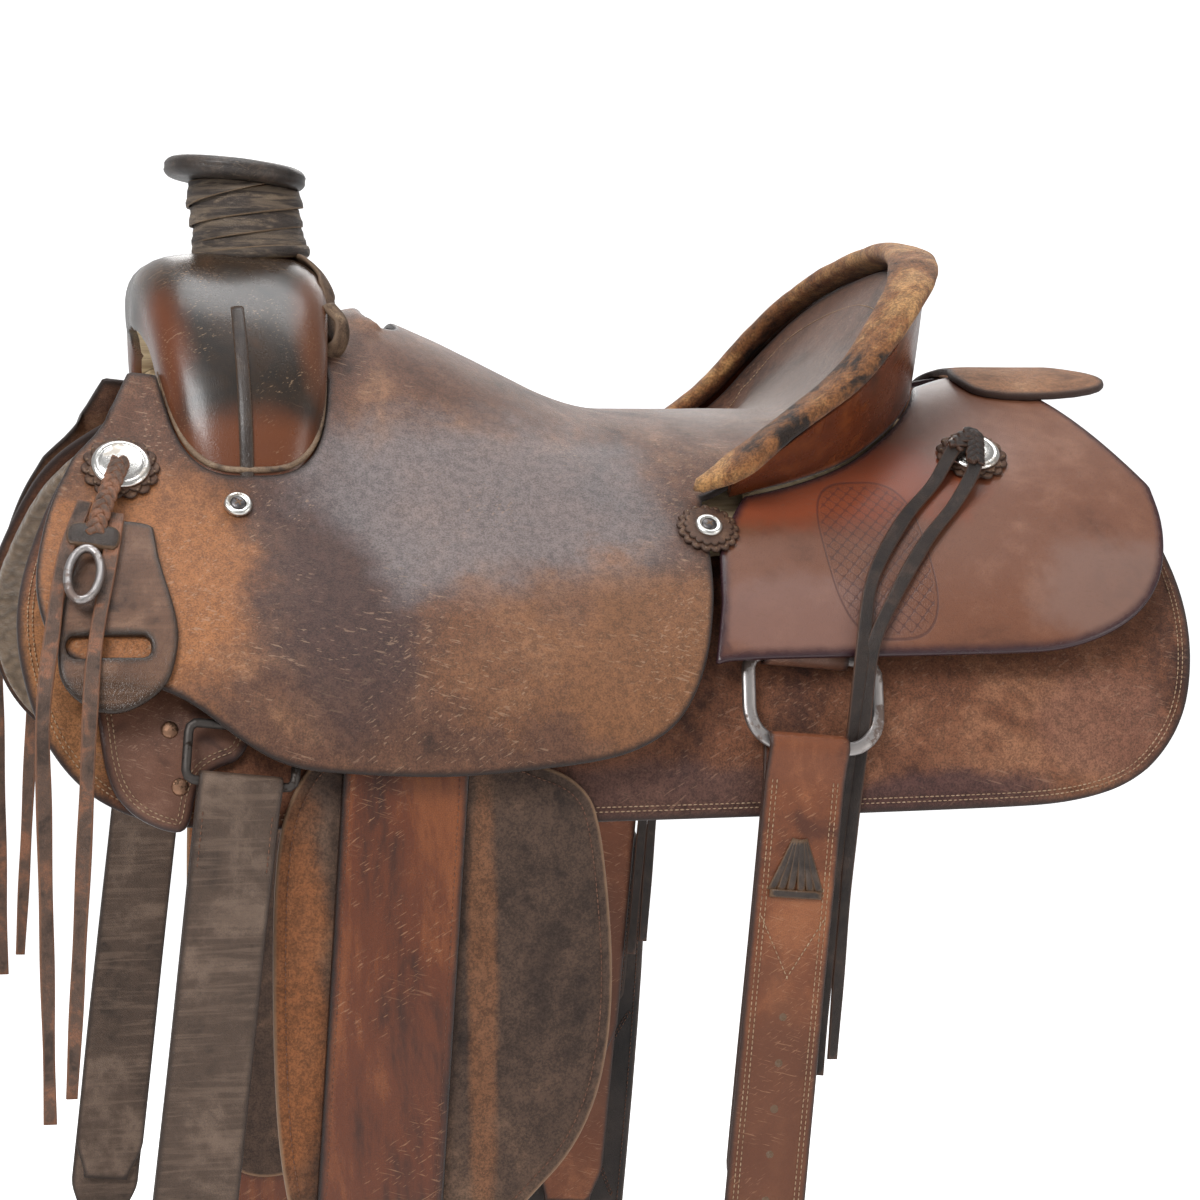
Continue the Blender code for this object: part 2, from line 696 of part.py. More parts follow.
def plate(name, outlines, thickness, finish, place):
    """A flat outline given a thickness and put in its place."""
    bm = outline_mesh(name, outlines, thickness)
    bmesh.ops.dissolve_limit(bm, angle_limit=0.01, verts=bm.verts, edges=bm.edges)
    bmesh.ops.triangulate(bm, faces=bm.faces)
    item = add_object(name, mesh_from(bm, name), finish)
    item.matrix_world = place
    return item


def upright_frame(place, side, tilt=0.0, lean=0.0):
    """A frame that stands upright on one side: its local X runs to the rear, its local Y up.

    A tilt swings its top inward, and a lean swings its top to the rear.
    """
    across = Vector((math.cos(lean), 0.0, -math.sin(lean)))
    upward = Vector((math.sin(lean) * math.cos(tilt), -side * math.sin(tilt),
                     math.cos(lean) * math.cos(tilt)))
    face = across.cross(upward)
    matrix = Matrix((across, upward, face)).transposed().to_4x4()
    matrix.translation = Vector((place[0], side * place[1], place[2]))
    return matrix


def surface_frame(x, arc, layer, lift, side):
    """A frame on a layer with its Z along the outward normal, raised by lift."""
    step = 0.004
    middle = barrel_point(x, side * arc, layer)
    along = barrel_point(x + step, side * arc, layer) - barrel_point(x - step, side * arc, layer)
    down = barrel_point(x, side * (arc + step), layer) - barrel_point(x, side * (arc - step), layer)
    normal = along.cross(down).normalized()
    if normal.y * side < 0.0:
        normal.negate()
    along.normalize()
    up = normal.cross(along)
    matrix = Matrix((along, up, normal)).transposed().to_4x4()
    matrix.translation = middle + normal * lift
    return matrix


def strap_loop(name, frame, bar_radius, ply, width, lengths, finish, side, flip=False):
    """A doubled strap whose fold goes round a bar and whose plies hang side by side.

    The frame stands at the bar's middle. The first length is the outer ply's.
    """
    inner = bar_radius + CLEARANCE
    outer = inner + ply
    gap = 0.5 * CLEARANCE
    neck = 2.6 * outer
    steps = 8
    outline = [(gap + ply, -lengths[0]), (gap + ply, -neck)]
    outline += [(outer * math.cos(math.pi * i / steps), outer * math.sin(math.pi * i / steps))
                for i in range(steps + 1)]
    outline += [(-gap - ply, -neck), (-gap - ply, -lengths[1]), (-gap, -lengths[1]),
                (-gap, -neck)]
    outline += [(-inner * math.cos(math.pi * i / steps), inner * math.sin(math.pi * i / steps))
                for i in range(steps + 1)]
    outline += [(gap, -neck), (gap, -lengths[0])]
    if flip:
        outline = [(across, -up) for across, up in outline]
    bm = outline_mesh(name, [outline], width)
    bmesh.ops.dissolve_limit(bm, angle_limit=0.01, verts=bm.verts, edges=bm.edges)
    bmesh.ops.triangulate(bm, faces=bm.faces)
    item = add_object(name, mesh_from(bm, name), finish)
    section = Matrix(((0.0, 0.0, 1.0), (0.0, 1.0, 0.0), (1.0, 0.0, 0.0))).transposed().to_4x4()
    turn = Matrix.Scale(-1.0, 4, (0.0, 0.0, 1.0)) if side == OFF else Matrix()
    item.data.transform(frame @ turn @ section)
    fix = bmesh.new()
    fix.from_mesh(item.data)
    bmesh.ops.recalc_face_normals(fix, faces=fix.faces)
    fix.to_mesh(item.data)
    fix.free()
    return item


# Tree
def bars():
    """The two bars, which follow the horse's back on either side."""
    for label, side in SIDES:
        outline = side_pattern(round_corners(BAR_OUTLINE), bar_layer, side, in_degrees=True)
        bent_sheet(f"{label}_tree_bar", [outline], bar_layer, BAR_THICKNESS, "wood")


def bar_cutter(name, grow):
    """All the space below the bars' upper face, for seating the fork and the cantle."""
    half = arc_at_degrees(75.0)
    outline = [(-0.45, -half), (0.42, -half), (0.42, half), (-0.45, half)]
    bm = bent_sheet(name, [outline], lambda angle: bar_layer(angle) + grow, 0.0, None)
    return depth_cutter(name, bm, -0.40)


def depth_cutter(name, bm, level):
    """A solid between a surface and a level plane, made by dropping a copy of the surface."""
    result = bmesh.ops.extrude_face_region(bm, geom=bm.faces[:])
    for vert in (item for item in result["geom"] if isinstance(item, bmesh.types.BMVert)):
        vert.co.z = level
    bmesh.ops.recalc_face_normals(bm, faces=bm.faces)
    return add_object(name, mesh_from(bm, name))


FORK_PROFILE = (
    (0.000, 1.000, 0.000), (0.230, 0.985, 0.000), (0.440, 0.915, 0.004), (0.640, 0.775, 0.010),
    (0.800, 0.590, 0.017), (0.910, 0.390, 0.026), (0.980, 0.200, 0.038), (1.030, 0.020, 0.052),
    (1.070, -0.150, 0.060))


def fork_rings(grow):
    """Rings along the fork's arch, from the near foot to the off foot."""
    rings = []
    stations = [(-width, height, draw) for width, height, draw in reversed(FORK_PROFILE[1:])]
    for width, height, draw in stations + list(FORK_PROFILE):
        outer = Vector((0.0, width * FORK_HALF_WIDTH, height * FORK_TOP_Z))
        inward = Vector((0.0, -math.copysign(1.0, width) * min(1.0, abs(width) * 1.1),
                         -max(0.12, 1.0 - abs(width) * 0.95)))
        inward.normalize()
        thickness = FORK_TOP_THICKNESS - 0.016 * abs(width)
        centre = outer + inward * 0.5 * thickness
        x_front = FORK_FRONT_X + 0.55 * draw
        x_rear = FORK_FRONT_X + FORK_STOCK - 0.62 * draw
        half_x = 0.5 * (x_rear - x_front) + grow
        half_t = 0.5 * thickness + grow
        centre.x = 0.5 * (x_front + x_rear)
        ring = []
        for index in range(16):
            angle = 2.0 * math.pi * (index + 0.5) / 16
            cosine, sine = math.cos(angle), math.sin(angle)
            bulge = (abs(cosine) ** 3.4 + abs(sine) ** 3.4) ** (-1.0 / 3.4)
            ring.append(centre + Vector((half_x * cosine * bulge, 0.0, 0.0))
                        - inward * half_t * sine * bulge)
        rings.append(ring)
    return rings


def horn_frame():
    """A frame at the horn's foot, leaning forward, with its Z up the neck."""
    return (Matrix.Translation((HORN_BASE_X, 0.0, FORK_TOP_Z))
            @ Matrix.Rotation(-HORN_LEAN, 4, 'Y'))


def cap_frame():
    """A frame at the middle of the cap's top, tilted up to the front."""
    return (Matrix.Translation((CAP_CENTRE_X, 0.0, CAP_TOP_Z))
            @ Matrix.Rotation(CAP_TILT, 4, 'Y'))


def neck_radius(height):
    """The neck's radius, widest at its foot and under the cap."""
    share = height / NECK_HEIGHT
    waist = NECK_BASE_RADIUS - NECK_WAIST_RADIUS
    return NECK_WAIST_RADIUS + waist * (2.0 * share - 1.0) ** 2


def fork_and_horn():
    """The fork, its leather cover, and the horn with its cap and wound wrap."""
    seat_cut = bar_cutter("bars_and_below", LAYER_GAP)
    fork = loft("tree_fork", fork_rings(0.0), "wood")
    subtract(fork, seat_cut)
    cover = loft("fork_cover", fork_rings(LAYER_GAP + COVER_THICKNESS), "fork_leather")
    core = fork_rings(LAYER_GAP)
    for end, beside in ((0, 1), (-1, -2)):
        core[end] = [point + (point - other) * 0.2 for point, other in zip(core[end], core[beside])]
    subtract(cover, loft("fork_space", core))
    subtract(cover, seat_cut)
    steps = 6
    neck = [(0.0, NECK_HEIGHT)]
    neck += [(neck_radius(NECK_HEIGHT * (1.0 - i / steps)), NECK_HEIGHT * (1.0 - i / steps))
             for i in range(steps + 1)]
    neck += [(NECK_BASE_RADIUS, -0.020), (0.0, -0.020)]
    core_post = turned("horn_core", neck, 24, "wood", horn_frame())
    hole = [(0.0, 0.05), (NECK_BASE_RADIUS + CLEARANCE, 0.05),
            (NECK_BASE_RADIUS + CLEARANCE, -0.020), (0.0, -0.020)]
    subtract(cover, turned("horn_hole", hole, 24, None, horn_frame()))
    subtract(core_post, loft("fork_seat", fork_rings(CLEARANCE)))
    above = [(0.0, 0.06), (0.07, 0.06), (0.07, -CAP_THICKNESS - CLEARANCE),
             (0.0, -CAP_THICKNESS - CLEARANCE)]
    subtract(core_post, turned("above_neck", above, 24, None, cap_frame()))
    rim = 0.5 * CAP_THICKNESS
    profile = [(0.0, -0.0008), (0.70 * CAP_RADIUS, 0.0), (CAP_RADIUS - rim, -0.0002)]
    profile += [(CAP_RADIUS - rim + rim * math.sin(math.radians(a)),
                 -rim + rim * math.cos(math.radians(a))) for a in range(30, 180, 30)]
    profile += [(CAP_RADIUS - rim, -CAP_THICKNESS), (0.0, -CAP_THICKNESS)]
    turned("horn_cap", profile, 32, "horn_leather", cap_frame())
    horn_wrap()


def horn_wrap():
    """The wide strip wound round the neck, as one unbroken turned-in band."""
    count = int(WRAP_TURNS * WRAP_POINTS_PER_TURN)
    start = WRAP_START
    rings = []
    frame = horn_frame()
    half_w, half_t = 0.5 * WRAP_WIDTH, 0.5 * WRAP_THICKNESS
    section = ((1, 0.55), (0.55, 1), (-0.55, 1), (-1, 0.55), (-1, -0.75), (-0.7, -1),
               (0.7, -1), (1, -0.75))
    for index in range(count + 1):
        angle = 2.0 * math.pi * index / WRAP_POINTS_PER_TURN + 1.2
        height = start + WRAP_PITCH * index / WRAP_POINTS_PER_TURN
        radius = neck_radius(height) + WRAP_SEAT_GAP + half_t
        ring = []
        for up, out in section:
            reach = radius + out * half_t
            ring.append(frame @ Vector((reach * math.cos(angle), reach * math.sin(angle),
                                        height + up * half_w)))
        rings.append(ring)
    wrap = loft("horn_wrap", rings, "worn_leather")
    subtract(wrap, bpy.data.objects["above_neck"])
    least = WRAP_PITCH - WRAP_WIDTH
    print(f"horn wrap: least gap between its turns {least * 1000.0:.2f} mm")


# Seat and cantle
def rim_curve():
    """The rim as (x, y, z) points from the near ear over the top to the off ear."""
    half = []
    ends = (RIM_POINTS[0],) + RIM_POINTS + (
        (RIM_POINTS[-2][0], -RIM_POINTS[-2][1], RIM_POINTS[-2][2]),)
    for index in range(1, len(ends) - 2):
        before, here, after, beyond = (Vector(ends[index + k]) for k in (-1, 0, 1, 2))
        for step in range(RIM_STEPS):
            t = step / RIM_STEPS
            half.append(0.5 * (2.0 * here + (after - before) * t
                               + (2.0 * before - 5.0 * here + 4.0 * after - beyond) * t * t
                               + (3.0 * here - before - 3.0 * after + beyond) * t ** 3))
    top = Vector(RIM_POINTS[-1])
    near = [Vector((p.x, -p.y, p.z)) for p in half]
    return near + [top] + list(reversed(half))


RIM = rim_curve()


def rim_distance(x, y):
    """How far a point in plan is from the rim, the rim's height there, and if it is inside."""
    best = None
    for start, end in zip(RIM, RIM[1:]):
        run_x, run_y = end.x - start.x, end.y - start.y
        share = ((x - start.x) * run_x + (y - start.y) * run_y) / (run_x ** 2 + run_y ** 2)
        share = min(1.0, max(0.0, share))
        near_x, near_y = start.x + run_x * share, start.y + run_y * share
        distance = math.hypot(x - near_x, y - near_y)
        if best is None or distance < best[0]:
            outward = (x - near_x) * (near_x - CANTLE_HUB_X) + (y - near_y) * near_y
            best = (distance, start.z + (end.z - start.z) * share, outward <= 0.0)
    return best


def seat_surface(x, arc):
    """The seat's upper face: the jockey layer, raised to the rim in the cantle's dish."""
    point = barrel_point(x, arc, jockey_layer)
    distance, rim_height, inside = rim_distance(x, point.y)
    if x > RIM[0].x - CANTLE_DISH_REACH and rim_height > point.z:
        reach = CANTLE_DISH_REACH if inside else CANTLE_DISH_OUTER_REACH
        nearness = max(0.0, 1.0 - distance / reach)
        point.z += (rim_height - point.z) * nearness ** CANTLE_DISH_CURVE
    return point


def seat_outline():
    """The seat leather's flat pattern, with its edge inside the rim and round the fork."""
    side = [(x, arc_at_height(z, jockey_layer)) for x, z in SEAT_SIDE_OUTLINE]
    front_corner = [(x, arc_at_degrees(angle)) for x, angle in SEAT_FRONT_CORNER]
    off = side[:1] + round_line(side[1:]) + front_corner
    near = [(x, -arc) for x, arc in reversed(off)]
    rim = []
    half_width = max(point.y for point in RIM)
    for point in RIM:
        x, y = point.x - SEAT_EDGE_INSET, point.y * (1.0 - SEAT_EDGE_INSET / half_width)
        if x > SEAT_EAR_X:
            rim.append((x, math.copysign(arc_at_width(abs(y), jockey_layer), y)))
    return off + near + rim


def seat_lines():
    """The x places where the dish needs a bend line."""
    return [DISH_LINES_START + DISH_LINE_SPACING * index for index in range(DISH_LINES)]


def hand_hole_outline():
    half = 0.5 * HAND_HOLE_WIDTH
    points = rounded_rectangle(HAND_HOLE_LENGTH, 2.0 * half, 0.40 * HAND_HOLE_LENGTH, 2)
    return [(HAND_HOLE_X + x, arc) for x, arc in reversed(points)]


def seat_and_cantle():
    """The seat leather, the ground seat under it, the cantle and its leather."""
    seat = bent_sheet("seat_leather", [seat_outline(), hand_hole_outline()], jockey_layer,
                      SEAT_THICKNESS, "rough_leather", seat_lines(), seat_surface)
    growth = LAYER_GAP + COVER_THICKNESS + LAYER_GAP
    subtract(seat, loft("fork_in_seat", fork_rings(growth)))
    outline = [(x, arc_at_degrees(angle)) for x, angle in round_corners(GROUND_SEAT_OUTLINE)]
    bent_sheet("ground_seat", [outline], ground_seat_layer, GROUND_SEAT_THICKNESS,
               "smooth_leather")
    cantle()


def cantle():
    """The cantle board, the leather on its back and the roll on its rim."""
    seam = seam_points()
    rings, back = [], []
    for place, foot in list(zip(RIM, seam))[EAR_STATIONS:-EAR_STATIONS]:
        inward = (Vector((CANTLE_HUB_X, 0.0, 0.0)) - Vector((place.x, place.y, 0.0))).normalized()
        top = place - Vector((0.0, 0.0, CANTLE_TOP_DROP)) - inward * CANTLE_TOP_THICKNESS
        middle = top.lerp(foot, 0.5) - inward * CANTLE_BELLY
        low = foot - Vector((0.0, 0.0, CANTLE_FOOT_DROP)) + inward * CANTLE_FOOT_INSET
        low_inner = low + inward * CANTLE_FOOT_DEPTH
        top_inner = top + inward * CANTLE_TOP_INSET
        rings.append([top, middle, foot, low, low_inner, top_inner])
        back.append([top, middle, foot])
    board = loft("tree_cantle", rings, "wood")
    subtract(board, seat_space())
    subtract(board, bpy.data.objects["bars_and_below"])
    cantle_back(back)
    cheyenne_roll()


def seam_points():
    """The foot of the cantle's back, on the rear jockeys' outer face."""
    off = []
    for index, (x, y) in enumerate(BACK_SEAM_POINTS):
        off.append((x, y))
        if index + 1 < len(BACK_SEAM_POINTS):
            after = BACK_SEAM_POINTS[index + 1]
            off += [(x + (after[0] - x) * s / RIM_STEPS, y + (after[1] - y) * s / RIM_STEPS)
                    for s in range(1, RIM_STEPS)]
    points = []
    for x, y in off[:-1] + list(reversed(off)):
        point = barrel_point(x, arc_at_width(y, jockey_layer), jockey_layer)
        points.append(Vector((x, y, point.z + SEAM_GAP)))
    middle = len(off) - 1
    for index in range(middle):
        points[index].y = -points[index].y
    return points


def seat_space():
    """The space of the seat leather and above, for shaping the front of the cantle."""
    half = arc_at_degrees(math.degrees(RISE_END))
    outline = [(-0.02, -half), (0.26, -half), (0.26, half), (-0.02, half)]
    bm = bent_sheet("seat_space", [outline], jockey_layer, 0.0, None, seat_lines(),
                    lambda x, arc: seat_surface(x, arc) - Vector((0.0, 0.0, SEAT_SPACE_DROP)))
    return depth_cutter("seat_space", bm, 0.5)


def cantle_back(rows):
    """The leather on the cantle's back, a shell that covers the board's rear face."""
    bm = bmesh.new()
    grid = [[bm.verts.new(point) for point in row] for row in rows]
    for before, after in zip(grid, grid[1:]):
        for index in range(2):
            bm.faces.new((before[index], before[index + 1], after[index + 1], after[index]))
    bm.normal_update()
    middle = Vector((CANTLE_HUB_X, 0.0, 0.10))
    facing = sum(face.normal.dot(face.calc_center_median() - middle) for face in bm.faces)
    if facing < 0.0:
        bmesh.ops.reverse_faces(bm, faces=bm.faces)
        bm.normal_update()
    for vert in bm.verts:
        vert.co += vert.normal * CANTLE_BACK_GAP
    item = add_object("cantle_back", mesh_from(bm, "cantle_back"), "fork_leather")
    shell = item.modifiers.new("thickness", 'SOLIDIFY')
    shell.thickness = CANTLE_BACK_THICKNESS
    shell.offset = 1.0


def cheyenne_roll():
    """The flat roll on the rim, which leans out over the cantle's back and tapers at the ears."""
    rings = []
    for index, place in enumerate(RIM):
        before = RIM[max(0, index - 1)]
        after = RIM[min(len(RIM) - 1, index + 1)]
        along = (after - before).normalized()
        outward = Vector((place.x - CANTLE_HUB_X, place.y, 0.0))
        outward -= along * outward.dot(along)
        outward.normalize()
        upward = along.cross(outward).normalized()
        if upward.z < 0.0:
            upward.negate()
        end = min(index, len(RIM) - 1 - index) / 2.5
        lean = ROLL_TILT + (ROLL_EAR_TILT - ROLL_TILT) * (1.0 - smoothstep(0.5 * end))
        tilt = Matrix.Rotation(lean, 3, along if along.cross(outward).z < 0.0 else -along)
        outward, upward = tilt @ outward, tilt @ upward
        taper = 0.30 + 0.70 * smoothstep(end)
        gap = ROLL_SEAT_GAP + ROLL_EAR_LIFT * (1.0 - smoothstep(end))
        half_w, half_t = 0.5 * ROLL_WIDTH * taper, 0.5 * ROLL_THICKNESS * (0.45 + 0.55 * taper)
        centre = place + outward * ROLL_OVERHANG * taper + upward * (half_t + gap)
        ring = []
        for step in range(ROLL_SIDES):
            angle = 2.0 * math.pi * step / ROLL_SIDES
            cosine, sine = math.cos(angle), math.sin(angle)
            bulge = (abs(cosine) ** 2.6 + abs(sine) ** 2.6) ** (-1.0 / 2.6)
            ring.append(centre + outward * half_w * cosine * bulge + upward * half_t * sine * bulge)
        rings.append(ring)
    loft("cheyenne_roll", rings, "roll_leather")


# Skirts, jockeys and rigging leather
def skirts():
    """The skirts and the woolskin that lines them."""
    for label, side in SIDES:
        low = side_pattern(SKIRT_OUTLINE, skirt_layer, side)
        high = side_pattern(SKIRT_TOP, skirt_layer, side, in_degrees=True)
        outline = round_corners(low + high)
        bent_sheet(f"{label}_skirt", [outline], skirt_layer, SKIRT_THICKNESS, "rough_leather")
        middle = Vector((LINING_HUB[0], side * arc_at_degrees(LINING_HUB[1])))
        trimmed = []
        for x, arc in low + high:
            toward = (middle - Vector((x, arc))).normalized() * LINING_INSET
            trimmed.append((x + toward.x, arc + toward.y))
        bent_sheet(f"{label}_skirt_lining", [trimmed], lining_layer, LINING_THICKNESS, "fleece")


def rear_jockeys():
    """The rear jockeys and the swallow-tailed cover over their joint."""
    for label, side in SIDES:
        side_part = side_pattern(REAR_JOCKEY_OUTLINE, jockey_layer, side)
        top = [(x, side * arc_at_width(y, jockey_layer)) for x, y in REAR_JOCKEY_TOP]
        edge = []
        for x, y in reversed(BACK_SEAM_POINTS[1:-1]):
            away = Vector((x - CANTLE_HUB_X, y, 0.0)).normalized() * JOCKEY_EDGE_OFFSET
            y_out = max(REAR_JOCKEY_PART, y + away.y)
            edge.append((x + away.x, side * arc_at_width(y_out, jockey_layer)))
        x, height = REAR_JOCKEY_LOW_CORNER
        lower = [(x, side * arc_at_height(height, jockey_layer))]
        outline = side_part[:1] + round_line(side_part[1:]) + top + edge + lower
        bent_sheet(f"{label}_rear_jockey", [outline], jockey_layer, REAR_JOCKEY_THICKNESS,
                   "smooth_leather")
    points = [(x, arc_at_width(y, rear_cover_layer) if y else 0.0)
              for x, y in REAR_COVER_OUTLINE]
    outline = points + [(x, -arc) for x, arc in reversed(points[1:])]
    bent_sheet("rear_joint_cover", [round_corners(outline)], rear_cover_layer,
               REAR_COVER_THICKNESS, "rough_leather")


def front_rigging():
    """The rigging plates, their rings, the latigo, the off billet and the latigo carriers."""
    for label, side in SIDES:
        outline = side_pattern(round_corners(PLATE_OUTLINE), plate_layer, side)
        bent_sheet(f"{label}_rigging_plate", [outline], plate_layer, PLATE_THICKNESS,
                   "smooth_leather")
        frame = ring_frame(side)
        outer = rounded_rectangle(RING_WIDTH, RING_HEIGHT, RING_CORNER)
        path = [frame @ Vector((x, y + 0.5 * RING_HEIGHT, 0.0)) for x, y in outer]
        ring_tube(f"{label}_rigging_ring", path, RING_BAR_RADIUS, "steel")
        low = upright_frame((RING_LOW_BAR_X, RING_PLANE_Y, RING_LOW_BAR_Z), side, 0.0, RING_LEAN)
        name, length = (("latigo", LATIGO_LENGTH) if side == NEAR
                        else ("off_billet", OFF_BILLET_LENGTH))
        strap_loop(name, low, RING_BAR_RADIUS, LATIGO_PLY, LATIGO_WIDTH,
                   (length, 0.92 * length), "strap_leather", side)
        carrier = side_pattern(round_corners(CARRIER_OUTLINE), carrier_layer, side)
        slot_x, slot_z = CARRIER_SLOT
        slot = [(slot_x + x, side * (arc_at_height(slot_z, carrier_layer) + arc))
                for x, arc in rounded_rectangle(CARRIER_SLOT_WIDTH, CARRIER_SLOT_HEIGHT, 0.005, 2)]
        bent_sheet(f"{label}_latigo_carrier", [carrier, slot], carrier_layer, CARRIER_THICKNESS,
                   "smooth_leather")


def ring_frame(side):
    """A frame on the front ring's low bar, tilted inward at the top to meet the plate."""
    return upright_frame((RING_LOW_BAR_X, RING_PLANE_Y, RING_LOW_BAR_Z), side, RING_TILT,
                         RING_LEAN)


def ring_tube(name, path, radius, finish):
    """A closed ring of round bar along a path."""
    curve = bpy.data.curves.new(name, 'CURVE')
    curve.dimensions = '3D'
    curve.bevel_depth = radius
    curve.bevel_resolution = 2
    spline = curve.splines.new('POLY')
    spline.points.add(len(path) - 1)
    for point, place in zip(spline.points, path):
        point.co = (*place, 1.0)
    spline.use_cyclic_u = True
    holder = bpy.data.objects.new(name, curve)
    bpy.context.scene.collection.objects.link(holder)
    mesh = evaluated_mesh(holder, name)
    bpy.data.objects.remove(holder)
    return add_object(name, mesh, finish)


def lace(name, route, radius, finish):
    """A lace through the points of a route, smoothed, with closed ends."""
    points = [Vector(point) for point in route]
    smooth = []
    ends = [points[0]] + points + [points[-1]]
    for index in range(1, len(ends) - 2):
        before, here, after, beyond = (ends[index + k] for k in (-1, 0, 1, 2))
        steps = max(1, round((after - here).length / (STRING_STEP * radius)))
        for step in range(steps):
            t = step / steps
            smooth.append(0.5 * (2.0 * here + (after - before) * t
                                 + (2.0 * before - 5.0 * here + 4.0 * after - beyond) * t * t
                                 + (3.0 * here - before - 3.0 * after + beyond) * t ** 3))
    smooth.append(points[-1])
    curve = bpy.data.curves.new(name, 'CURVE')
    curve.dimensions = '3D'
    curve.bevel_depth = radius
    curve.bevel_resolution = 2
    curve.use_fill_caps = True
    spline = curve.splines.new('POLY')
    spline.points.add(len(smooth) - 1)
    for point, place in zip(spline.points, smooth):
        point.co = (*place, 1.0)
    holder = bpy.data.objects.new(name, curve)
    bpy.context.scene.collection.objects.link(holder)
    mesh = evaluated_mesh(holder, name)
    bpy.data.objects.remove(holder)
    bm = bmesh.new()
    bm.from_mesh(mesh)
    bmesh.ops.remove_doubles(bm, verts=bm.verts, dist=0.00001)
    bm.to_mesh(mesh)
    bm.free()
    return add_object(name, mesh, finish)


# Straps that hang and swing
def leathers_and_stirrups():
    """The loops over the bars, the swinging leathers and fenders, and the stirrups."""
    for label, side in SIDES:
        half = 0.5 * LEATHER_WIDTH
        loop_top, loop_low = 0.0, PIVOT_Z + CLEARANCE
        loop = [(PIVOT_X - half, loop_low), (PIVOT_X + half, loop_low),
                (PIVOT_X + half, loop_top), (PIVOT_X - half, loop_top)]
        bent_sheet(f"{label}_leather_loop", [side_pattern(loop, loop_layer, side)], loop_layer,
                   LEATHER_LOOP_THICKNESS, "strap_leather")
        drop = PIVOT_Z - BOLT_Z
        shift = LEATHER_LEAN * drop
        low_z = BOLT_Z - 0.008
        shoulder = PIVOT_Z - half * math.tan(SWING_LIMIT) - LAYER_GAP
        strap = [(PIVOT_X + half, shoulder), (PIVOT_X, PIVOT_Z - CLEARANCE),
                 (PIVOT_X - half, shoulder), (PIVOT_X - half - shift, low_z),
                 (PIVOT_X + half - shift, low_z)]
        bent_sheet(f"{label}_stirrup_leather", [side_pattern(strap, leather_layer, side)],
                   leather_layer, LEATHER_THICKNESS, "strap_leather")
        outline = side_pattern(round_corners(FENDER_OUTLINE), fender_layer, side)
        bent_sheet(f"{label}_fender", [outline], fender_layer, FENDER_THICKNESS,
                   "rough_leather")
        stirrup(label, side, PIVOT_X - shift)


def strap_plane_y():
    """How far out the middle of the hanging leather is."""
    hanging = 0.5 * math.pi
    return BARREL_RADIUS + leather_layer(hanging) - 0.5 * LEATHER_THICKNESS


def stirrup(label, side, middle_x):
    """A bent-wood stirrup on its bolt, which the leather's foot goes round."""
    y = strap_plane_y()
    half_top = 0.5 * LEATHER_WIDTH + 0.012
    half_low = 0.5 * STIRRUP_INNER_WIDTH
    tread_z = -STIRRUP_HEIGHT
    centreline = [(-half_top, 0.014), (-half_top - 0.004, -0.020), (-half_low, -0.085),
                  (-half_low - 0.001, tread_z + 0.022), (-half_low + 0.014, tread_z),
                  (half_low - 0.014, tread_z), (half_low + 0.001, tread_z + 0.022),
                  (half_low, -0.085), (half_top + 0.004, -0.020), (half_top, 0.014)]
    widths = (0.032, 0.036, 0.050, 0.068, STIRRUP_TREAD_DEPTH, STIRRUP_TREAD_DEPTH, 0.068,
              0.050, 0.036, 0.032)
    rings = []
    for index, (across, up) in enumerate(centreline):
        before = centreline[max(0, index - 1)]
        after = centreline[min(len(centreline) - 1, index + 1)]
        run = Vector((after[0] - before[0], after[1] - before[1])).normalized()
        outward = Vector((-run.y, run.x))
        half_t, half_w = 0.5 * STIRRUP_WALL, 0.5 * widths[index]
        ring = []
        for out, wide in ((-1, -0.86), (-0.7, -1), (0.7, -1), (1, -0.86), (1, 0.86), (0.7, 1),
                          (-0.7, 1), (-1, 0.86)):
            place = Vector((across, up)) + outward * half_t * out
            ring.append(Vector((middle_x + place.x, side * y + wide * half_w,
                                BOLT_Z + place.y)))
        rings.append(ring)
    frame = loft(f"{label}_stirrup", rings, "smooth_leather")
    reach = half_top + 0.5 * STIRRUP_WALL + 0.004
    turn = Matrix.Rotation(0.5 * math.pi, 4, 'Y')
    place = Matrix.Translation((middle_x, side * y, BOLT_Z)) @ turn
    bore = BOLT_RADIUS + CLEARANCE
    hole = [(0.0, reach + 0.02), (bore, reach + 0.02), (bore, -reach - 0.02),
            (0.0, -reach - 0.02)]
    cutter = turned(f"{label}_bolt_hole", hole, 12, None, place)
    subtract(frame, cutter)
    bolt = [(0.0, reach), (BOLT_RADIUS, reach), (BOLT_RADIUS, -reach), (0.0, -reach)]
    turned(f"{label}_stirrup_bolt", bolt, 12, "steel", place)
    strap = bpy.data.objects[f"{label}_stirrup_leather"]
    foot = BOLT_RADIUS + CLEARANCE + 0.0035
    collar = [(0.0, 0.5 * LEATHER_WIDTH), (foot, 0.5 * LEATHER_WIDTH),
              (foot, -0.5 * LEATHER_WIDTH), (0.0, -0.5 * LEATHER_WIDTH)]
    join = strap.modifiers.new("foot", 'BOOLEAN')
    join.operation = 'UNION'
    join.object = turned(f"{label}_strap_foot", collar, 16, None, place)
    subtract(strap, cutter)


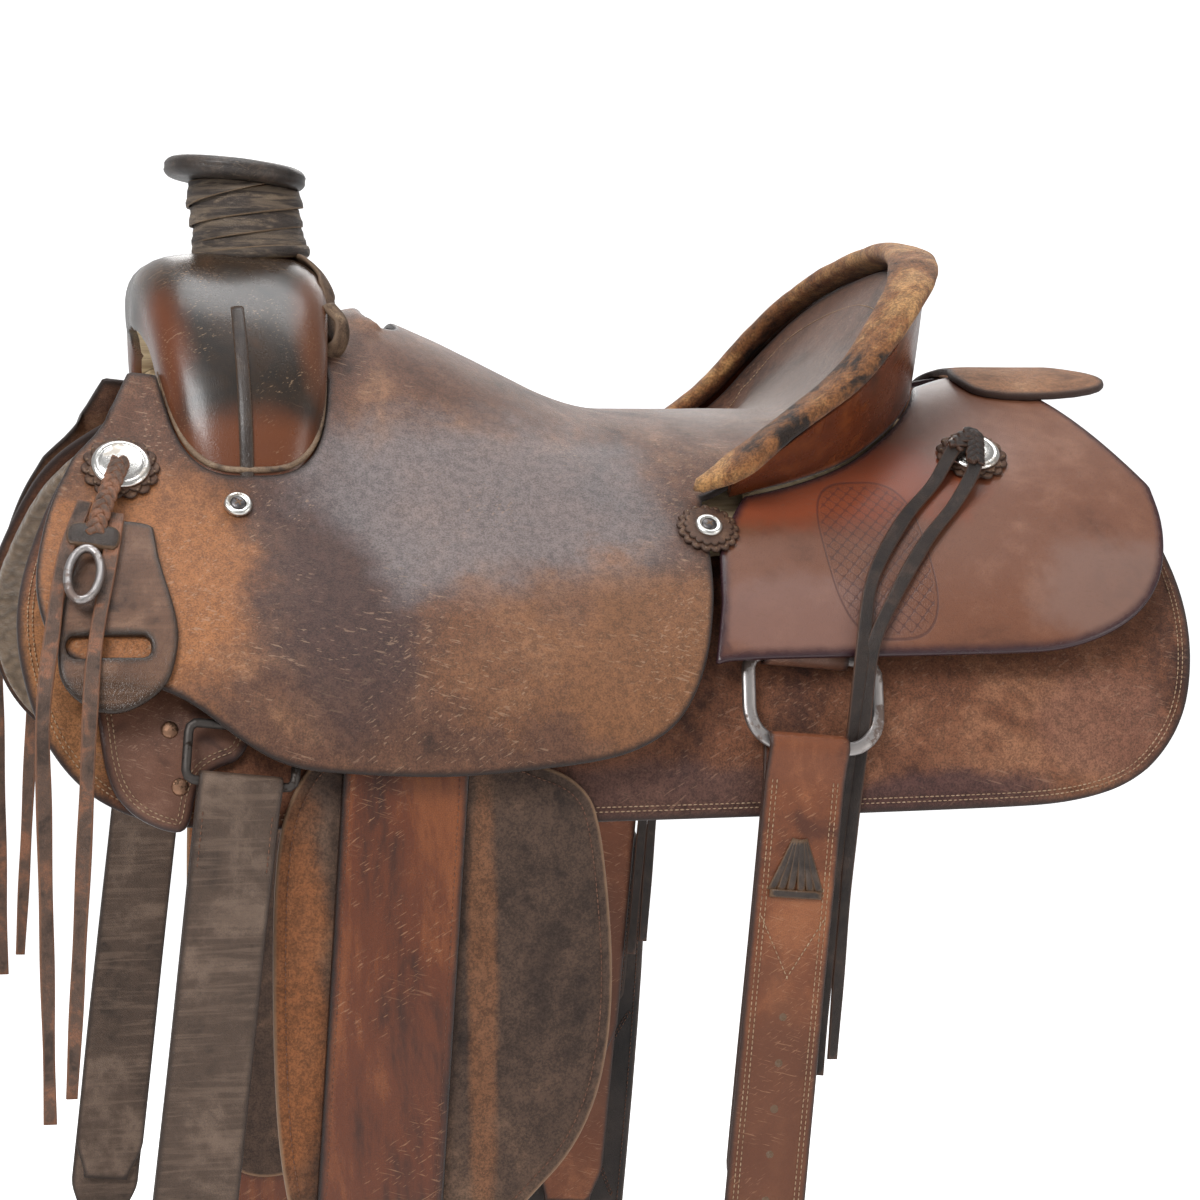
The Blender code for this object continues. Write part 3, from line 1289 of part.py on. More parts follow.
def rear_rigging():
    """The rear dees in their leathers, the billets, and the flank cinch on the off billet."""
    for label, side in SIDES:
        top = dee_frame(side)
        outer = [(x, y - 0.5 * DEE_HEIGHT) for x, y in
                 rounded_rectangle(DEE_WIDTH, DEE_HEIGHT + DEE_BAR, 0.016)]
        inner = [(x, y - 0.5 * DEE_HEIGHT) for x, y in reversed(
            rounded_rectangle(DEE_WIDTH - 2.0 * DEE_BAR, DEE_HEIGHT - DEE_BAR, 0.0045))]
        plate(f"{label}_rear_dee", [outer, inner], DEE_THICKNESS, "steel", top)
        bar_radius = 0.5 * math.hypot(DEE_BAR, DEE_THICKNESS)
        middle = top @ Vector((DEE_LEATHER_SHIFT, 0.0, 0.0))
        fold = upright_frame((middle.x, abs(middle.y), middle.z), side, DEE_LEATHER_TILT,
                             DEE_LEAN)
        strap_loop(f"{label}_dee_leather", fold, bar_radius, DEE_LEATHER_PLY,
                   DEE_LEATHER_WIDTH, (DEE_LEATHER_LENGTH, DEE_LEATHER_LENGTH),
                   "smooth_leather", side, flip=True)
        low_bar = top @ Vector((BILLET_SHIFT, -DEE_HEIGHT, 0.0))
        hang = upright_frame((low_bar.x, abs(low_bar.y), low_bar.z), side, 0.0, DEE_LEAN)
        strap_loop(f"{label}_rear_billet", hang, bar_radius, BILLET_PLY, BILLET_WIDTH,
                   (BILLET_LENGTH, 0.72 * BILLET_LENGTH), "strap_leather", side)
    low_bar = dee_frame(OFF) @ Vector((BILLET_SHIFT, -DEE_HEIGHT, 0.0))
    flank_cinch(low_bar)


def dee_frame(side):
    """A frame on the rear dee's top bar."""
    y = section_point(arc_at_height(DEE_TOP_Z, skirt_layer) / BARREL_RADIUS, skirt_layer)[0]
    return upright_frame((DEE_TOP_X, y + DEE_STANDOFF, DEE_TOP_Z), side, DEE_TILT, DEE_LEAN)


def flank_cinch(low_bar):
    """The wide flank cinch, which hangs from its buckle on the off rear billet."""
    lean = DEE_LEAN
    place_z = low_bar.z - BUCKLE_DROP
    place_x = low_bar.x - BUCKLE_DROP * math.tan(lean)
    y = low_bar.y + BILLET_PLY + 0.5 * BUCKLE_THICKNESS + CLEARANCE + 0.5 * CLEARANCE
    frame = upright_frame((place_x, y, place_z), OFF, 0.0, lean)
    outer = rounded_rectangle(BUCKLE_WIDTH, BUCKLE_HEIGHT, 0.010)
    bar = BUCKLE_THICKNESS
    inner = list(reversed(rounded_rectangle(BUCKLE_WIDTH - 2.0 * bar, BUCKLE_HEIGHT - 2.0 * bar,
                                            0.006)))
    plate("cinch_buckle", [outer, inner], BUCKLE_THICKNESS, "iron", frame)
    half = 0.5 * CINCH_WIDTH
    top = -0.5 * BUCKLE_HEIGHT + bar + 0.0005
    neck = 0.5 * BUCKLE_WIDTH - bar - 0.004
    outline = [(-neck, top), (-neck, top - 0.020), (-half, top - 0.062), (-half, -CINCH_LENGTH),
               (half, -CINCH_LENGTH), (half, top - 0.062), (neck, top - 0.020), (neck, top)]
    offset = Matrix.Translation((0.0, 0.0, 0.5 * (BUCKLE_THICKNESS + CINCH_THICKNESS)
                                 + CLEARANCE))
    if frame.col[2].y < 0.0:
        offset.translation.z *= -1.0
    plate("flank_cinch", [round_corners(outline)], CINCH_THICKNESS, "strap_leather",
          frame @ offset)


# Conchos, rosettes, strings
def lobed_outline(radius, lobes, depth):
    """A scalloped disc's outline."""
    points = []
    per_lobe = 3
    for index in range(lobes * per_lobe):
        angle = 2.0 * math.pi * index / (lobes * per_lobe)
        wave = abs(math.cos(0.5 * lobes * angle))
        reach = radius * (1.0 - depth * (1.0 - wave))
        points.append((reach * math.cos(angle), reach * math.sin(angle)))
    return points


def ornaments():
    """Rosettes, conchos and seat rosettes with their ferrules, on both sides."""
    for label, side in SIDES:
        front_x, front_angle = FRONT_CONCHO_PLACE
        rear_x, rear_angle = REAR_CONCHO_PLACE
        stack("front", label, front_x, arc_at_degrees(front_angle), side)
        stack("rear", label, rear_x, arc_at_degrees(rear_angle), side)
        x, height = SEAT_ROSETTE_PLACE
        arc = arc_at_height(height, jockey_layer)
        seat_rosette(label, surface_frame(x, arc, jockey_layer, 0.0, side))


def stack(place, label, x, arc, side):
    """A leather rosette with a concho on it."""
    lift = ORNAMENT_LIFT
    rosette = surface_frame(x, arc, jockey_layer, lift + 0.5 * ROSETTE_THICKNESS, side)
    plate(f"{label}_{place}_rosette", [lobed_outline(ROSETTE_RADIUS, ROSETTE_LOBES, 0.10)],
          ROSETTE_THICKNESS, "smooth_leather", rosette)
    base = lift + ROSETTE_THICKNESS + CLEARANCE
    frame = surface_frame(x, arc, jockey_layer, base, side)
    height = CONCHO_THICKNESS
    profile = [(0.0, 1.25 * height), (0.45 * CONCHO_RADIUS, 1.18 * height),
               (0.80 * CONCHO_RADIUS, 0.92 * height), (0.97 * CONCHO_RADIUS, 0.60 * height),
               (CONCHO_RADIUS, 0.35 * height), (0.97 * CONCHO_RADIUS, 0.0), (0.0, 0.0)]
    turned(f"{label}_{place}_concho", profile, 20, "silver", frame)


def seat_rosette(label, frame):
    """A scalloped leather rosette with its screw and ferrule in the middle."""
    lift = Matrix.Translation((0.0, 0.0, ORNAMENT_LIFT + 0.5 * ROSETTE_THICKNESS))
    item = plate(f"{label}_seat_rosette",
                 [lobed_outline(SEAT_ROSETTE_RADIUS, SEAT_ROSETTE_LOBES, 0.10)],
                 ROSETTE_THICKNESS, "smooth_leather", frame @ lift)
    top = ROSETTE_THICKNESS
    profile = [(0.0, 0.5 * top + 0.0018), (0.6 * FERRULE_RADIUS, 0.5 * top + 0.0016),
               (FERRULE_RADIUS, 0.5 * top), (FERRULE_RADIUS, 0.0), (0.0, 0.0)]
    screw = turned(f"{label}_seat_ferrule", profile, 16, None, frame @ lift)
    join = item.modifiers.new("ferrule", 'BOOLEAN')
    join.operation = 'UNION'
    join.object = screw


def string_points(route, side, hang_y):
    """A lace's points: on the leather where a lift is given, and else hanging at hang_y."""
    points = []
    for x, height, lift in route:
        if lift is None:
            points.append(Vector((x, side * hang_y, height)))
            continue
        arc = arc_at_height(height, jockey_layer)
        angle = arc / BARREL_RADIUS
        outward = Vector((0.0, side * math.sin(angle), math.cos(angle)))
        points.append(barrel_point(x, side * arc, jockey_layer)
                      + outward * (lift + STRING_LIFT + STRING_RADIUS))
    return points


def strings():
    """The laces that hang from the front and rear conchos, and the link on the near one."""
    beside_skirt = BARREL_RADIUS + SKIRT_FLARE + CLEARANCE + STRING_RADIUS
    beside_carrier = beside_skirt + FRONT_STRING_STANDOFF
    for label, side in SIDES:
        for place, route, hang_y in (("front", FRONT_STRING_ROUTE, beside_carrier),
                                     ("rear", REAR_STRING_ROUTE, beside_skirt)):
            lace(f"{label}_{place}_strings", string_points(route, side, hang_y), STRING_RADIUS,
                 "string_leather")


def build():
    """Builds the saddle from the tree outward."""
    bars()
    fork_and_horn()
    seat_and_cantle()
    skirts()
    rear_jockeys()
    front_rigging()
    leathers_and_stirrups()
    rear_rigging()
    ornaments()
    strings()


build()
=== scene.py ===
"""Looks of a ranch saddle: the leather, horn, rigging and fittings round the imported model."""

import logging
import math
from dataclasses import dataclass, field, replace
from enum import Enum
from typing import Callable, Sequence

import bpy
import numpy as np
from mathutils import Matrix, Vector
from mathutils.geometry import delaunay_2d_cdt


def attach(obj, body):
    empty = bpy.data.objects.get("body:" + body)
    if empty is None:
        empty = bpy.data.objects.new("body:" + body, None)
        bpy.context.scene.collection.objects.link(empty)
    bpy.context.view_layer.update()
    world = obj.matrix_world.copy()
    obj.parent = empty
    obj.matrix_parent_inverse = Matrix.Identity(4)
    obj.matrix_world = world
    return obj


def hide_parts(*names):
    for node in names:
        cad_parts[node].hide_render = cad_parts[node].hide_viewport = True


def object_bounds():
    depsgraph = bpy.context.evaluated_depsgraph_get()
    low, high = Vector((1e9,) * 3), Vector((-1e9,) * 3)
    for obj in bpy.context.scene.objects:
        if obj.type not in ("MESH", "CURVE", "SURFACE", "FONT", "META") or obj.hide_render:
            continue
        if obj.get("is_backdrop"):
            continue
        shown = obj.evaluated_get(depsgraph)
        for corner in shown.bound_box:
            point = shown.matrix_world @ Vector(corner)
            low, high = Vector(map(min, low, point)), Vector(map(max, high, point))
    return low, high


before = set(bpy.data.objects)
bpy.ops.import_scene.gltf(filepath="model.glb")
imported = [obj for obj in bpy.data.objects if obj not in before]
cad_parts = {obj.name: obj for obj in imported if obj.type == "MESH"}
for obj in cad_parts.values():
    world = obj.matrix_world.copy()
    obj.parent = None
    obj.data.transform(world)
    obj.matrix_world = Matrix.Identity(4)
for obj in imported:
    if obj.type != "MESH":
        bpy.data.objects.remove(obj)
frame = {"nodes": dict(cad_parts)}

LOG = logging.getLogger("ranch_saddle")
Array = np.ndarray
Layer = Callable[[Array], Array]
Surface = Callable[[Array, Array], Array]
Colour = tuple[float, float, float]
Item = bpy.types.Object
Socket = bpy.types.NodeSocket

# The radius of a leather's rounded edge as a share of its thickness
EDGE_SHARE = 0.42
# The gap between parts that lie against each other
CLEARANCE = 0.0003
# How far stitches stand off the leather, on a sheet and on a strap
THREAD_LIFT = 0.0002
STRAP_THREAD_LIFT = 0.0003
# The spacing of points along stitched lines, bars and long curves
LINE_STEP = 0.003
BAR_STEP = 0.004
CURVE_STEP = 0.006


class Side(Enum):
    """The two sides of the saddle: the near side is the left one."""

    NEAR = -1
    OFF = 1

    @property
    def label(self) -> str:
        """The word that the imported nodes' names start with."""
        return self.name.lower()


# Numbers and lines
def smoothstep(value: Array | float) -> Array:
    """An S-shaped ramp from 0 to 1."""
    value = np.clip(value, 0.0, 1.0)
    return value * value * (3.0 - 2.0 * value)


def ramp(angle: Array, start: float, end: float) -> Array:
    """The S-shaped ramp between two angles in degrees."""
    return smoothstep((np.degrees(angle) - start) / (end - start))


def unit(vectors: Array) -> Array:
    """Vectors of length one along the last axis."""
    return vectors / np.maximum(np.linalg.norm(vectors, axis=-1, keepdims=True), 1e-12)


def noise(points: Array, size: float, seed: int = 0) -> Array:
    """Smooth lattice noise.

    Args:
        points: One row of coordinates for each place.
        size: The size of the noise's lumps in metres.
        seed: Picks another pattern.

    Returns:
        A number from -1 to 1 for each place.
    """
    scaled = np.asarray(points, float) / size
    cell = np.floor(scaled)
    part = smoothstep(scaled - cell)
    primes = np.array([12.9898, 78.233, 37.719])[:scaled.shape[1]]
    total = np.zeros(len(scaled))
    for corner in np.ndindex(*(2,) * scaled.shape[1]):
        step = np.array(corner, float)
        value = np.sin((cell + step) @ primes + 17.13 * seed) * 43758.5453
        weight = np.prod(np.where(step > 0, part, 1.0 - part), axis=1)
        total += weight * (value - np.floor(value))
    return 2.0 * total - 1.0


def round_off(points: Array, rounds: int = 4, closed: bool = True) -> Array:
    """Cuts a line's corners again and again, which turns it into a smooth curve."""
    points = np.asarray(points, float)
    for _ in range(rounds):
        after = np.roll(points, -1, axis=0) if closed else points[1:]
        before = points if closed else points[:-1]
        cut = np.stack([0.75 * before + 0.25 * after, 0.25 * before + 0.75 * after], axis=1)
        cut = cut.reshape(-1, points.shape[1])
        points = cut if closed else np.vstack([points[:1], cut, points[-1:]])
    return points


def run_along(line: Array) -> Array:
    """How far along a line each of its points is."""
    return np.concatenate([[0.0], np.cumsum(np.linalg.norm(np.diff(line, axis=0), axis=1))])


def resample(points: Array, step: float, closed: bool = True) -> Array:
    """Spaces a line's points evenly.

    Args:
        points: The line's points, one a row.
        step: The distance wanted between points.
        closed: True if the last point joins the first.

    Returns:
        The new points.
    """
    points = np.asarray(points, float)
    line = np.vstack([points, points[:1]]) if closed else points
    run = run_along(line)
    keep = np.concatenate([[True], np.diff(run) > 1e-9])
    line, run = line[keep], run[keep]
    count = max(8 if closed else 2, int(round(run[-1] / step)) + (0 if closed else 1))
    places = np.linspace(0.0, run[-1], count, endpoint=not closed)
    return np.stack([np.interp(places, run, line[:, k]) for k in range(line.shape[1])], axis=1)


def spline(points: Sequence[Sequence[float]], step: float) -> Array:
    """A smooth open curve through points, resampled to even steps."""
    places = np.asarray(points, float)
    ends = np.vstack([2 * places[0] - places[1], places, 2 * places[-1] - places[-2]])
    fine = []
    for before, here, after, beyond in zip(ends, ends[1:], ends[2:], ends[3:]):
        t = np.linspace(0.0, 1.0, 12, endpoint=False)[:, None]
        fine.append(0.5 * (2 * here + (after - before) * t
                           + (2 * before - 5 * here + 4 * after - beyond) * t ** 2
                           + (3 * here - before - 3 * after + beyond) * t ** 3))
    return resample(np.vstack(fine + [places[-1:]]), step, closed=False)


def inset(outline: Array, distance: float) -> Array:
    """A closed flat outline moved inward by a distance."""
    area = 0.5 * np.sum(outline[:, 0] * np.roll(outline[:, 1], -1)
                        - np.roll(outline[:, 0], -1) * outline[:, 1])
    along = unit(np.roll(outline, -1, axis=0) - np.roll(outline, 1, axis=0))
    inward = np.stack([-along[:, 1], along[:, 0]], axis=1) * (1.0 if area > 0.0 else -1.0)
    return outline + inward * distance


def distance_to(points: Array, outline: Array) -> Array:
    """The distance from each flat point to a closed outline."""
    start, end = outline, np.roll(outline, -1, axis=0)
    run = end - start
    length = np.maximum((run ** 2).sum(axis=1), 1e-18)
    best = np.full(len(points), 1e9)
    for low in range(0, len(points), 4000):
        block = points[low:low + 4000, None, :] - start[None]
        share = np.clip((block * run).sum(axis=2) / length, 0.0, 1.0)
        gap = np.linalg.norm(block - share[..., None] * run, axis=2)
        best[low:low + 4000] = gap.min(axis=1)
    return best


def inside(points: Array, outline: Array) -> Array:
    """True for each flat point that lies inside a closed outline."""
    result = np.zeros(len(points), bool)
    for start, end in zip(outline, np.roll(outline, -1, axis=0)):
        crosses = (start[1] > points[:, 1]) != (end[1] > points[:, 1])
        if crosses.any():
            slope = (end[0] - start[0]) / (end[1] - start[1] if end[1] != start[1] else 1e-12)
            result ^= crosses & (points[:, 0] < start[0] + slope * (points[:, 1] - start[1]))
    return result


@dataclass(frozen=True)
class Barrel:
    """The round body that all leather of the saddle lies on, in layers."""

    radius: float = 0.215
    top: float = 0.05
    front_rise: float = 0.067
    front_length: float = 0.19
    rear_rise: float = 0.026
    rear_start: float = 0.12
    rear_length: float = 0.16
    rise_end: float = math.radians(52.5)

    @property
    def centre_z(self) -> float:
        """The height of the barrel's axis."""
        return self.top - self.radius

    def rise(self, x: Array, angle: Array) -> Array:
        """How far the leather rises towards the fork and the cantle."""
        lift = self.front_rise * smoothstep(-x / self.front_length)
        lift = lift + self.rear_rise * smoothstep((x - self.rear_start) / self.rear_length)
        fade = np.cos(0.5 * math.pi * np.minimum(angle / self.rise_end, 1.0)) ** 2
        return lift * fade

    def section(self, angle: Array, layer: Layer) -> tuple[Array, Array]:
        """A layer's (y, z) without the rise, straight down below the barrel's widest place."""
        turn = np.minimum(angle, 0.5 * math.pi)
        reach = self.radius + layer(turn)
        drop = np.maximum(angle - 0.5 * math.pi, 0.0) * self.radius
        return reach * np.sin(turn), self.centre_z + reach * np.cos(turn) - drop

    def place(self, x: Array, arc: Array, layer: Layer) -> Array:
        """The points of a layer at x and at an arc from the crest, negative on the near side."""
        x, arc = np.asarray(x, float), np.asarray(arc, float)
        angle = np.abs(arc) / self.radius
        y, z = self.section(angle, layer)
        return np.stack([x, np.copysign(y, arc), z + self.rise(x, angle)], axis=-1)

    def arc_at(self, value: float, layer: Layer, width: bool = False) -> float:
        """The arc at which a layer has a height, or a distance from the middle.

        Args:
            value: The height, or the distance where width is true.
            layer: The layer's standoff from the barrel.
            width: True to look for a distance from the middle.

        Returns:
            The arc from the crest in metres.
        """
        low, high = 0.0, 0.5 * math.pi if width else 6.0
        for _ in range(40):
            middle = 0.5 * (low + high)
            y, z = self.section(np.array(middle), layer)
            if (y < value) if width else (z > value):
                low = middle
            else:
                high = middle
        return low * self.radius

    def pattern(self, points: Sequence[Sequence[float]], layer: Layer, side: Side,
                degrees: bool = False) -> Array:
        """Turns (x, height) or (x, degrees) points into a flat (x, arc) pattern.

        Args:
            points: The outline's points.
            layer: The layer that the outline is drawn on.
            side: The side of the saddle.
            degrees: True if the second numbers are angles from the crest.

        Returns:
            The flat points, one a row.
        """
        flat = []
        for x, place in points:
            arc = math.radians(place) * self.radius if degrees else self.arc_at(place, layer)
            flat.append((x, side.value * arc))
        return np.array(flat)


BARREL = Barrel()


class Layers:
    """How far each layer's outer face stands off the barrel at an angle from the crest."""

    @staticmethod
    def skirt(angle: Array) -> Array:
        """The skirts' outer face."""
        return 0.025 * ramp(angle, 45.0, 90.0)

    @staticmethod
    def lining(angle: Array) -> Array:
        """The woolskin's outer face, under the skirt."""
        return Layers.skirt(angle) - 0.0056

    @staticmethod
    def bar(angle: Array) -> Array:
        """The tree bars' outer face."""
        return Layers.skirt(angle) + 0.0154

    @staticmethod
    def plate(angle: Array) -> Array:
        """The rigging plates' outer face."""
        return Layers.skirt(angle) + 0.0058

    @staticmethod
    def jockey(angle: Array) -> Array:
        """The outer face of the seat leather and of the rear jockeys."""
        return 0.027 + 0.024 * ramp(angle, 45.0, 90.0)

    @staticmethod
    def cover(angle: Array) -> Array:
        """The outer face of the piece over the rear jockeys' joint."""
        return Layers.jockey(angle) + 0.0058

    @staticmethod
    def carrier(angle: Array) -> Array:
        """The latigo carriers' outer face."""
        return Layers.jockey(angle) + 0.0054

    @staticmethod
    def fender(angle: Array) -> Array:
        """The fenders' outer face."""
        return Layers.skirt(angle) + 0.0061 - 0.0006 * ramp(angle, 75.0, 90.0)

    @staticmethod
    def leather(angle: Array) -> Array:
        """The stirrup leathers' outer face."""
        return Layers.skirt(angle) + 0.013 - 0.0022 * ramp(angle, 65.0, 90.0)

    @staticmethod
    def loop(angle: Array) -> Array:
        """The outer face of the strap that passes over a tree bar."""
        over, below = Layers.bar(angle) + 0.0052, Layers.skirt(angle) + 0.013
        return over + (below - over) * ramp(angle, 52.5, 67.5)


def on_layer(layer: Layer) -> Surface:
    """The surface function of a layer."""
    return lambda x, arc: BARREL.place(x, arc, layer)


def normals_of(surface: Surface, x: Array, arc: Array, step: float = 0.0015) -> Array:
    """The outward normals of a surface at flat points."""
    along = surface(x + step, arc) - surface(x - step, arc)
    down = surface(x, arc + step) - surface(x, arc - step)
    return unit(np.cross(along, down))


# Meshes
def new_object(name: str, data: bpy.types.ID) -> Item:
    """A new object in the scene."""
    item = bpy.data.objects.new(name, data)
    bpy.context.scene.collection.objects.link(item)
    return item


def make_mesh(name: str, points: Array, faces: Sequence[Sequence[int]],
              flat: Array | None = None, edge: Array | None = None) -> Item:
    """Makes a smooth mesh object at the origin.

    Args:
        name: The piece's name.
        points: One place a row, in metres.
        faces: The point numbers of each face.
        flat: Flat coordinates of each point, kept as the UV map "pattern".
        edge: Each point's distance from the piece's edge, kept as the attribute "edge".

    Returns:
        The object, linked to the scene.
    """
    mesh = bpy.data.meshes.new(name)
    mesh.from_pydata(np.asarray(points, float).tolist(), [], [list(f) for f in faces])
    mesh.validate()
    if flat is not None:
        layer = mesh.uv_layers.new(name="pattern")
        corners = np.zeros(len(mesh.loops), np.int32)
        mesh.loops.foreach_get("vertex_index", corners)
        layer.data.foreach_set("uv", np.asarray(flat, np.float32)[corners].ravel())
    if edge is not None:
        attribute = mesh.attributes.new("edge", "FLOAT", "POINT")
        attribute.data.foreach_set("value", np.asarray(edge, np.float32))
    mesh.polygons.foreach_set("use_smooth", [True] * len(mesh.polygons))
    return new_object(name, mesh)


def join(name: str, items: Sequence[Item]) -> Item:
    """Joins mesh objects into one, with their materials, attributes and UV maps."""
    with bpy.context.temp_override(active_object=items[0], object=items[0],
                                   selected_objects=list(items),
                                   selected_editable_objects=list(items)):
        if len(items) > 1:
            bpy.ops.object.join()
    items[0].name = name
    items[0].data.name = name
    return items[0]


def edge_drop(distance: Array, radius: float) -> Array:
    """How far a rounded edge lies below the flat face at a distance from the edge."""
    inward = radius - np.minimum(distance, radius)
    return radius - np.sqrt(np.maximum(radius ** 2 - inward ** 2, 0.0))


@dataclass
class Panel:
    """A sheet of leather, cut to a flat pattern, laid on a surface and given rounded edges."""

    name: str
    outline: Array
    surface: Surface
    thickness: float
    holes: Sequence[Array] = ()
    grid: float = 0.006
    step: float = 0.004
    lift: Callable[[Array, Array, Array], Array] | None = None

    def flat_points(self) -> tuple[Array, list[tuple[int, int]], Array]:
        """Fills the pattern with points: its outlines, rings inside them and an even grid.

        Returns:
            The flat points, the outline's edges and each point's distance from the edge.
        """
        rings = [resample(ring, self.step) for ring in (self.outline, *self.holes)]
        edges, count = [], 0
        for ring in rings:
            edges += [(count + i, count + (i + 1) % len(ring)) for i in range(len(ring))]
            count += len(ring)
        radius = EDGE_SHARE * self.thickness
        extra = []
        for depth in (0.12 * radius, 0.45 * radius, radius, 2.4 * radius):
            for index, ring in enumerate(rings):
                extra.append((inset(ring, depth if index == 0 else -depth), 0.85 * depth))
        low, high = rings[0].min(axis=0), rings[0].max(axis=0)
        rows = []
        for row, s in enumerate(np.arange(low[1], high[1], 0.866 * self.grid)):
            xs = np.arange(low[0] + (0.5 * self.grid if row % 2 else 0.0), high[0], self.grid)
            rows.append(np.stack([xs, np.full(len(xs), s)], axis=1))
        extra.append((np.vstack(rows), max(0.6 * self.grid, 3.2 * radius)))
        points = [np.vstack(rings)]
        for candidate, least in extra:
            gap = np.min([distance_to(candidate, ring) for ring in rings], axis=0)
            keep = (gap >= least) & inside(candidate, rings[0])
            for hole in rings[1:]:
                keep &= ~inside(candidate, hole)
            points.append(candidate[keep])
        flat = np.vstack(points)
        gap = np.min([distance_to(flat, ring) for ring in rings], axis=0)
        gap[:count] = 0.0
        return flat, edges, gap

    def build(self) -> Item:
        """Makes the closed sheet.

        Returns:
            The object, with the UV map "pattern" and the attribute "edge".
        """
        flat, edges, gap = self.flat_points()
        result = delaunay_2d_cdt([Vector(p) for p in flat.tolist()], edges, [], 0, 1e-7)
        places = np.array([tuple(p) for p in result[0]])
        source = [group[0] if group else 0 for group in result[3]]
        gap = gap[source]
        triangles = np.array([tri for tri in result[2] if len(tri) == 3])
        middle = places[triangles].mean(axis=1)
        keep = inside(middle, resample(self.outline, self.step))
        for hole in self.holes:
            keep &= ~inside(middle, resample(hole, self.step))
        triangles = triangles[keep]
        one, two, three = (places[triangles[:, k]] for k in range(3))
        area = ((two - one)[:, 0] * (three - one)[:, 1] - (two - one)[:, 1] * (three - one)[:, 0])
        triangles = triangles[np.abs(area) > 1e-12]
        area = area[np.abs(area) > 1e-12]
        triangles[area < 0.0] = triangles[area < 0.0][:, ::-1]
        x, arc = places[:, 0], places[:, 1]
        outer = self.surface(x, arc)
        normal = normals_of(self.surface, x, arc)
        raised = np.zeros(len(x)) if self.lift is None else self.lift(x, arc, gap)
        radius = EDGE_SHARE * self.thickness
        top = outer + normal * (raised - edge_drop(gap, radius))[:, None]
        depth = raised - self.thickness + edge_drop(gap, 0.5 * radius)
        bottom = outer + normal * depth[:, None]
        count = len(places)
        sides = dict.fromkeys((a, b) for tri in triangles.tolist()
                              for a, b in zip(tri, tri[1:] + tri[:1]))
        walls = [(b, a, a + count, b + count) for a, b in sides if (b, a) not in sides]
        faces = triangles.tolist() + (triangles[:, ::-1] + count).tolist() + walls
        return make_mesh(self.name, np.vstack([top, bottom]), faces,
                         flat=np.vstack([places, places]), edge=np.concatenate([gap, gap]))


def loft(name: str, rings: Array, closed: bool = False, caps: bool = True,
         flat: Array | None = None, edge: Array | None = None) -> Item:
    """A solid through rings of the same number of points.

    Args:
        name: The piece's name.
        rings: An array of rings, points and coordinates.
        closed: True if the last ring joins the first.
        caps: True to close the two ends with fans.
        flat: Flat coordinates for each ring and point, as a UV map.
        edge: Each point's distance from an edge, for each ring and point.

    Returns:
        The object with its faces outward.
    """
    count, sides = rings.shape[:2]
    points = rings.reshape(-1, 3)
    faces = []
    for low in range(count if closed else count - 1):
        high = (low + 1) % count
        for index in range(sides):
            after = (index + 1) % sides
            faces.append((low * sides + index, low * sides + after,
                          high * sides + after, high * sides + index))
    flat = None if flat is None else flat.reshape(-1, 2)
    edge = None if edge is None else edge.reshape(-1)
    if caps and not closed:
        for ring, order in ((0, -1), (count - 1, 1)):
            centre = len(points)
            points = np.vstack([points, rings[ring].mean(axis=0)])
            if flat is not None:
                flat = np.vstack([flat, flat[ring * sides:(ring + 1) * sides].mean(axis=0)])
            if edge is not None:
                edge = np.append(edge, edge[ring * sides:(ring + 1) * sides].min())
            for index in range(sides):
                pair = [ring * sides + index, ring * sides + (index + 1) % sides]
                faces.append((*pair[::order], centre))
    middle = points.mean(axis=0)
    corners = [np.array([points[face[k]] for face in faces]) - middle for k in range(3)]
    if len(faces[0]) == 4:
        quads = np.array([points[face[-1]] for face in faces]) - middle
        extra = (np.cross(corners[0], corners[2]) * quads).sum()
    else:
        extra = 0.0
    if (np.cross(corners[0], corners[1]) * corners[2]).sum() + extra < 0.0:
        faces = [tuple(reversed(face)) for face in faces]
    return make_mesh(name, points, faces, flat=flat, edge=edge)


def frames_along(path: Array, normal: Array | None = None,
                 closed: bool = False) -> tuple[Array, Array, Array]:
    """Directions along a path.

    Args:
        path: The points, one a row.
        normal: A wanted upward direction for all points or for each one.
        closed: True if the last point joins the first.

    Returns:
        The tangent, the sideways direction and the upward direction of each point.
    """
    if closed:
        tangent = unit(np.roll(path, -1, axis=0) - np.roll(path, 1, axis=0))
    else:
        tangent = unit(np.gradient(path, axis=0))
    if normal is None:
        up = np.zeros_like(path)
        current = np.cross(tangent[0], (0.0, 0.0, 1.0))
        if np.linalg.norm(current) < 0.1:
            current = np.cross(tangent[0], (1.0, 0.0, 0.0))
        for index, direction in enumerate(tangent):
            current = current - direction * np.dot(current, direction)
            current = current / np.linalg.norm(current)
            up[index] = current
    else:
        up = np.broadcast_to(np.asarray(normal, float), path.shape)
        up = unit(up - tangent * (up * tangent).sum(axis=1, keepdims=True))
    return tangent, np.cross(up, tangent), up


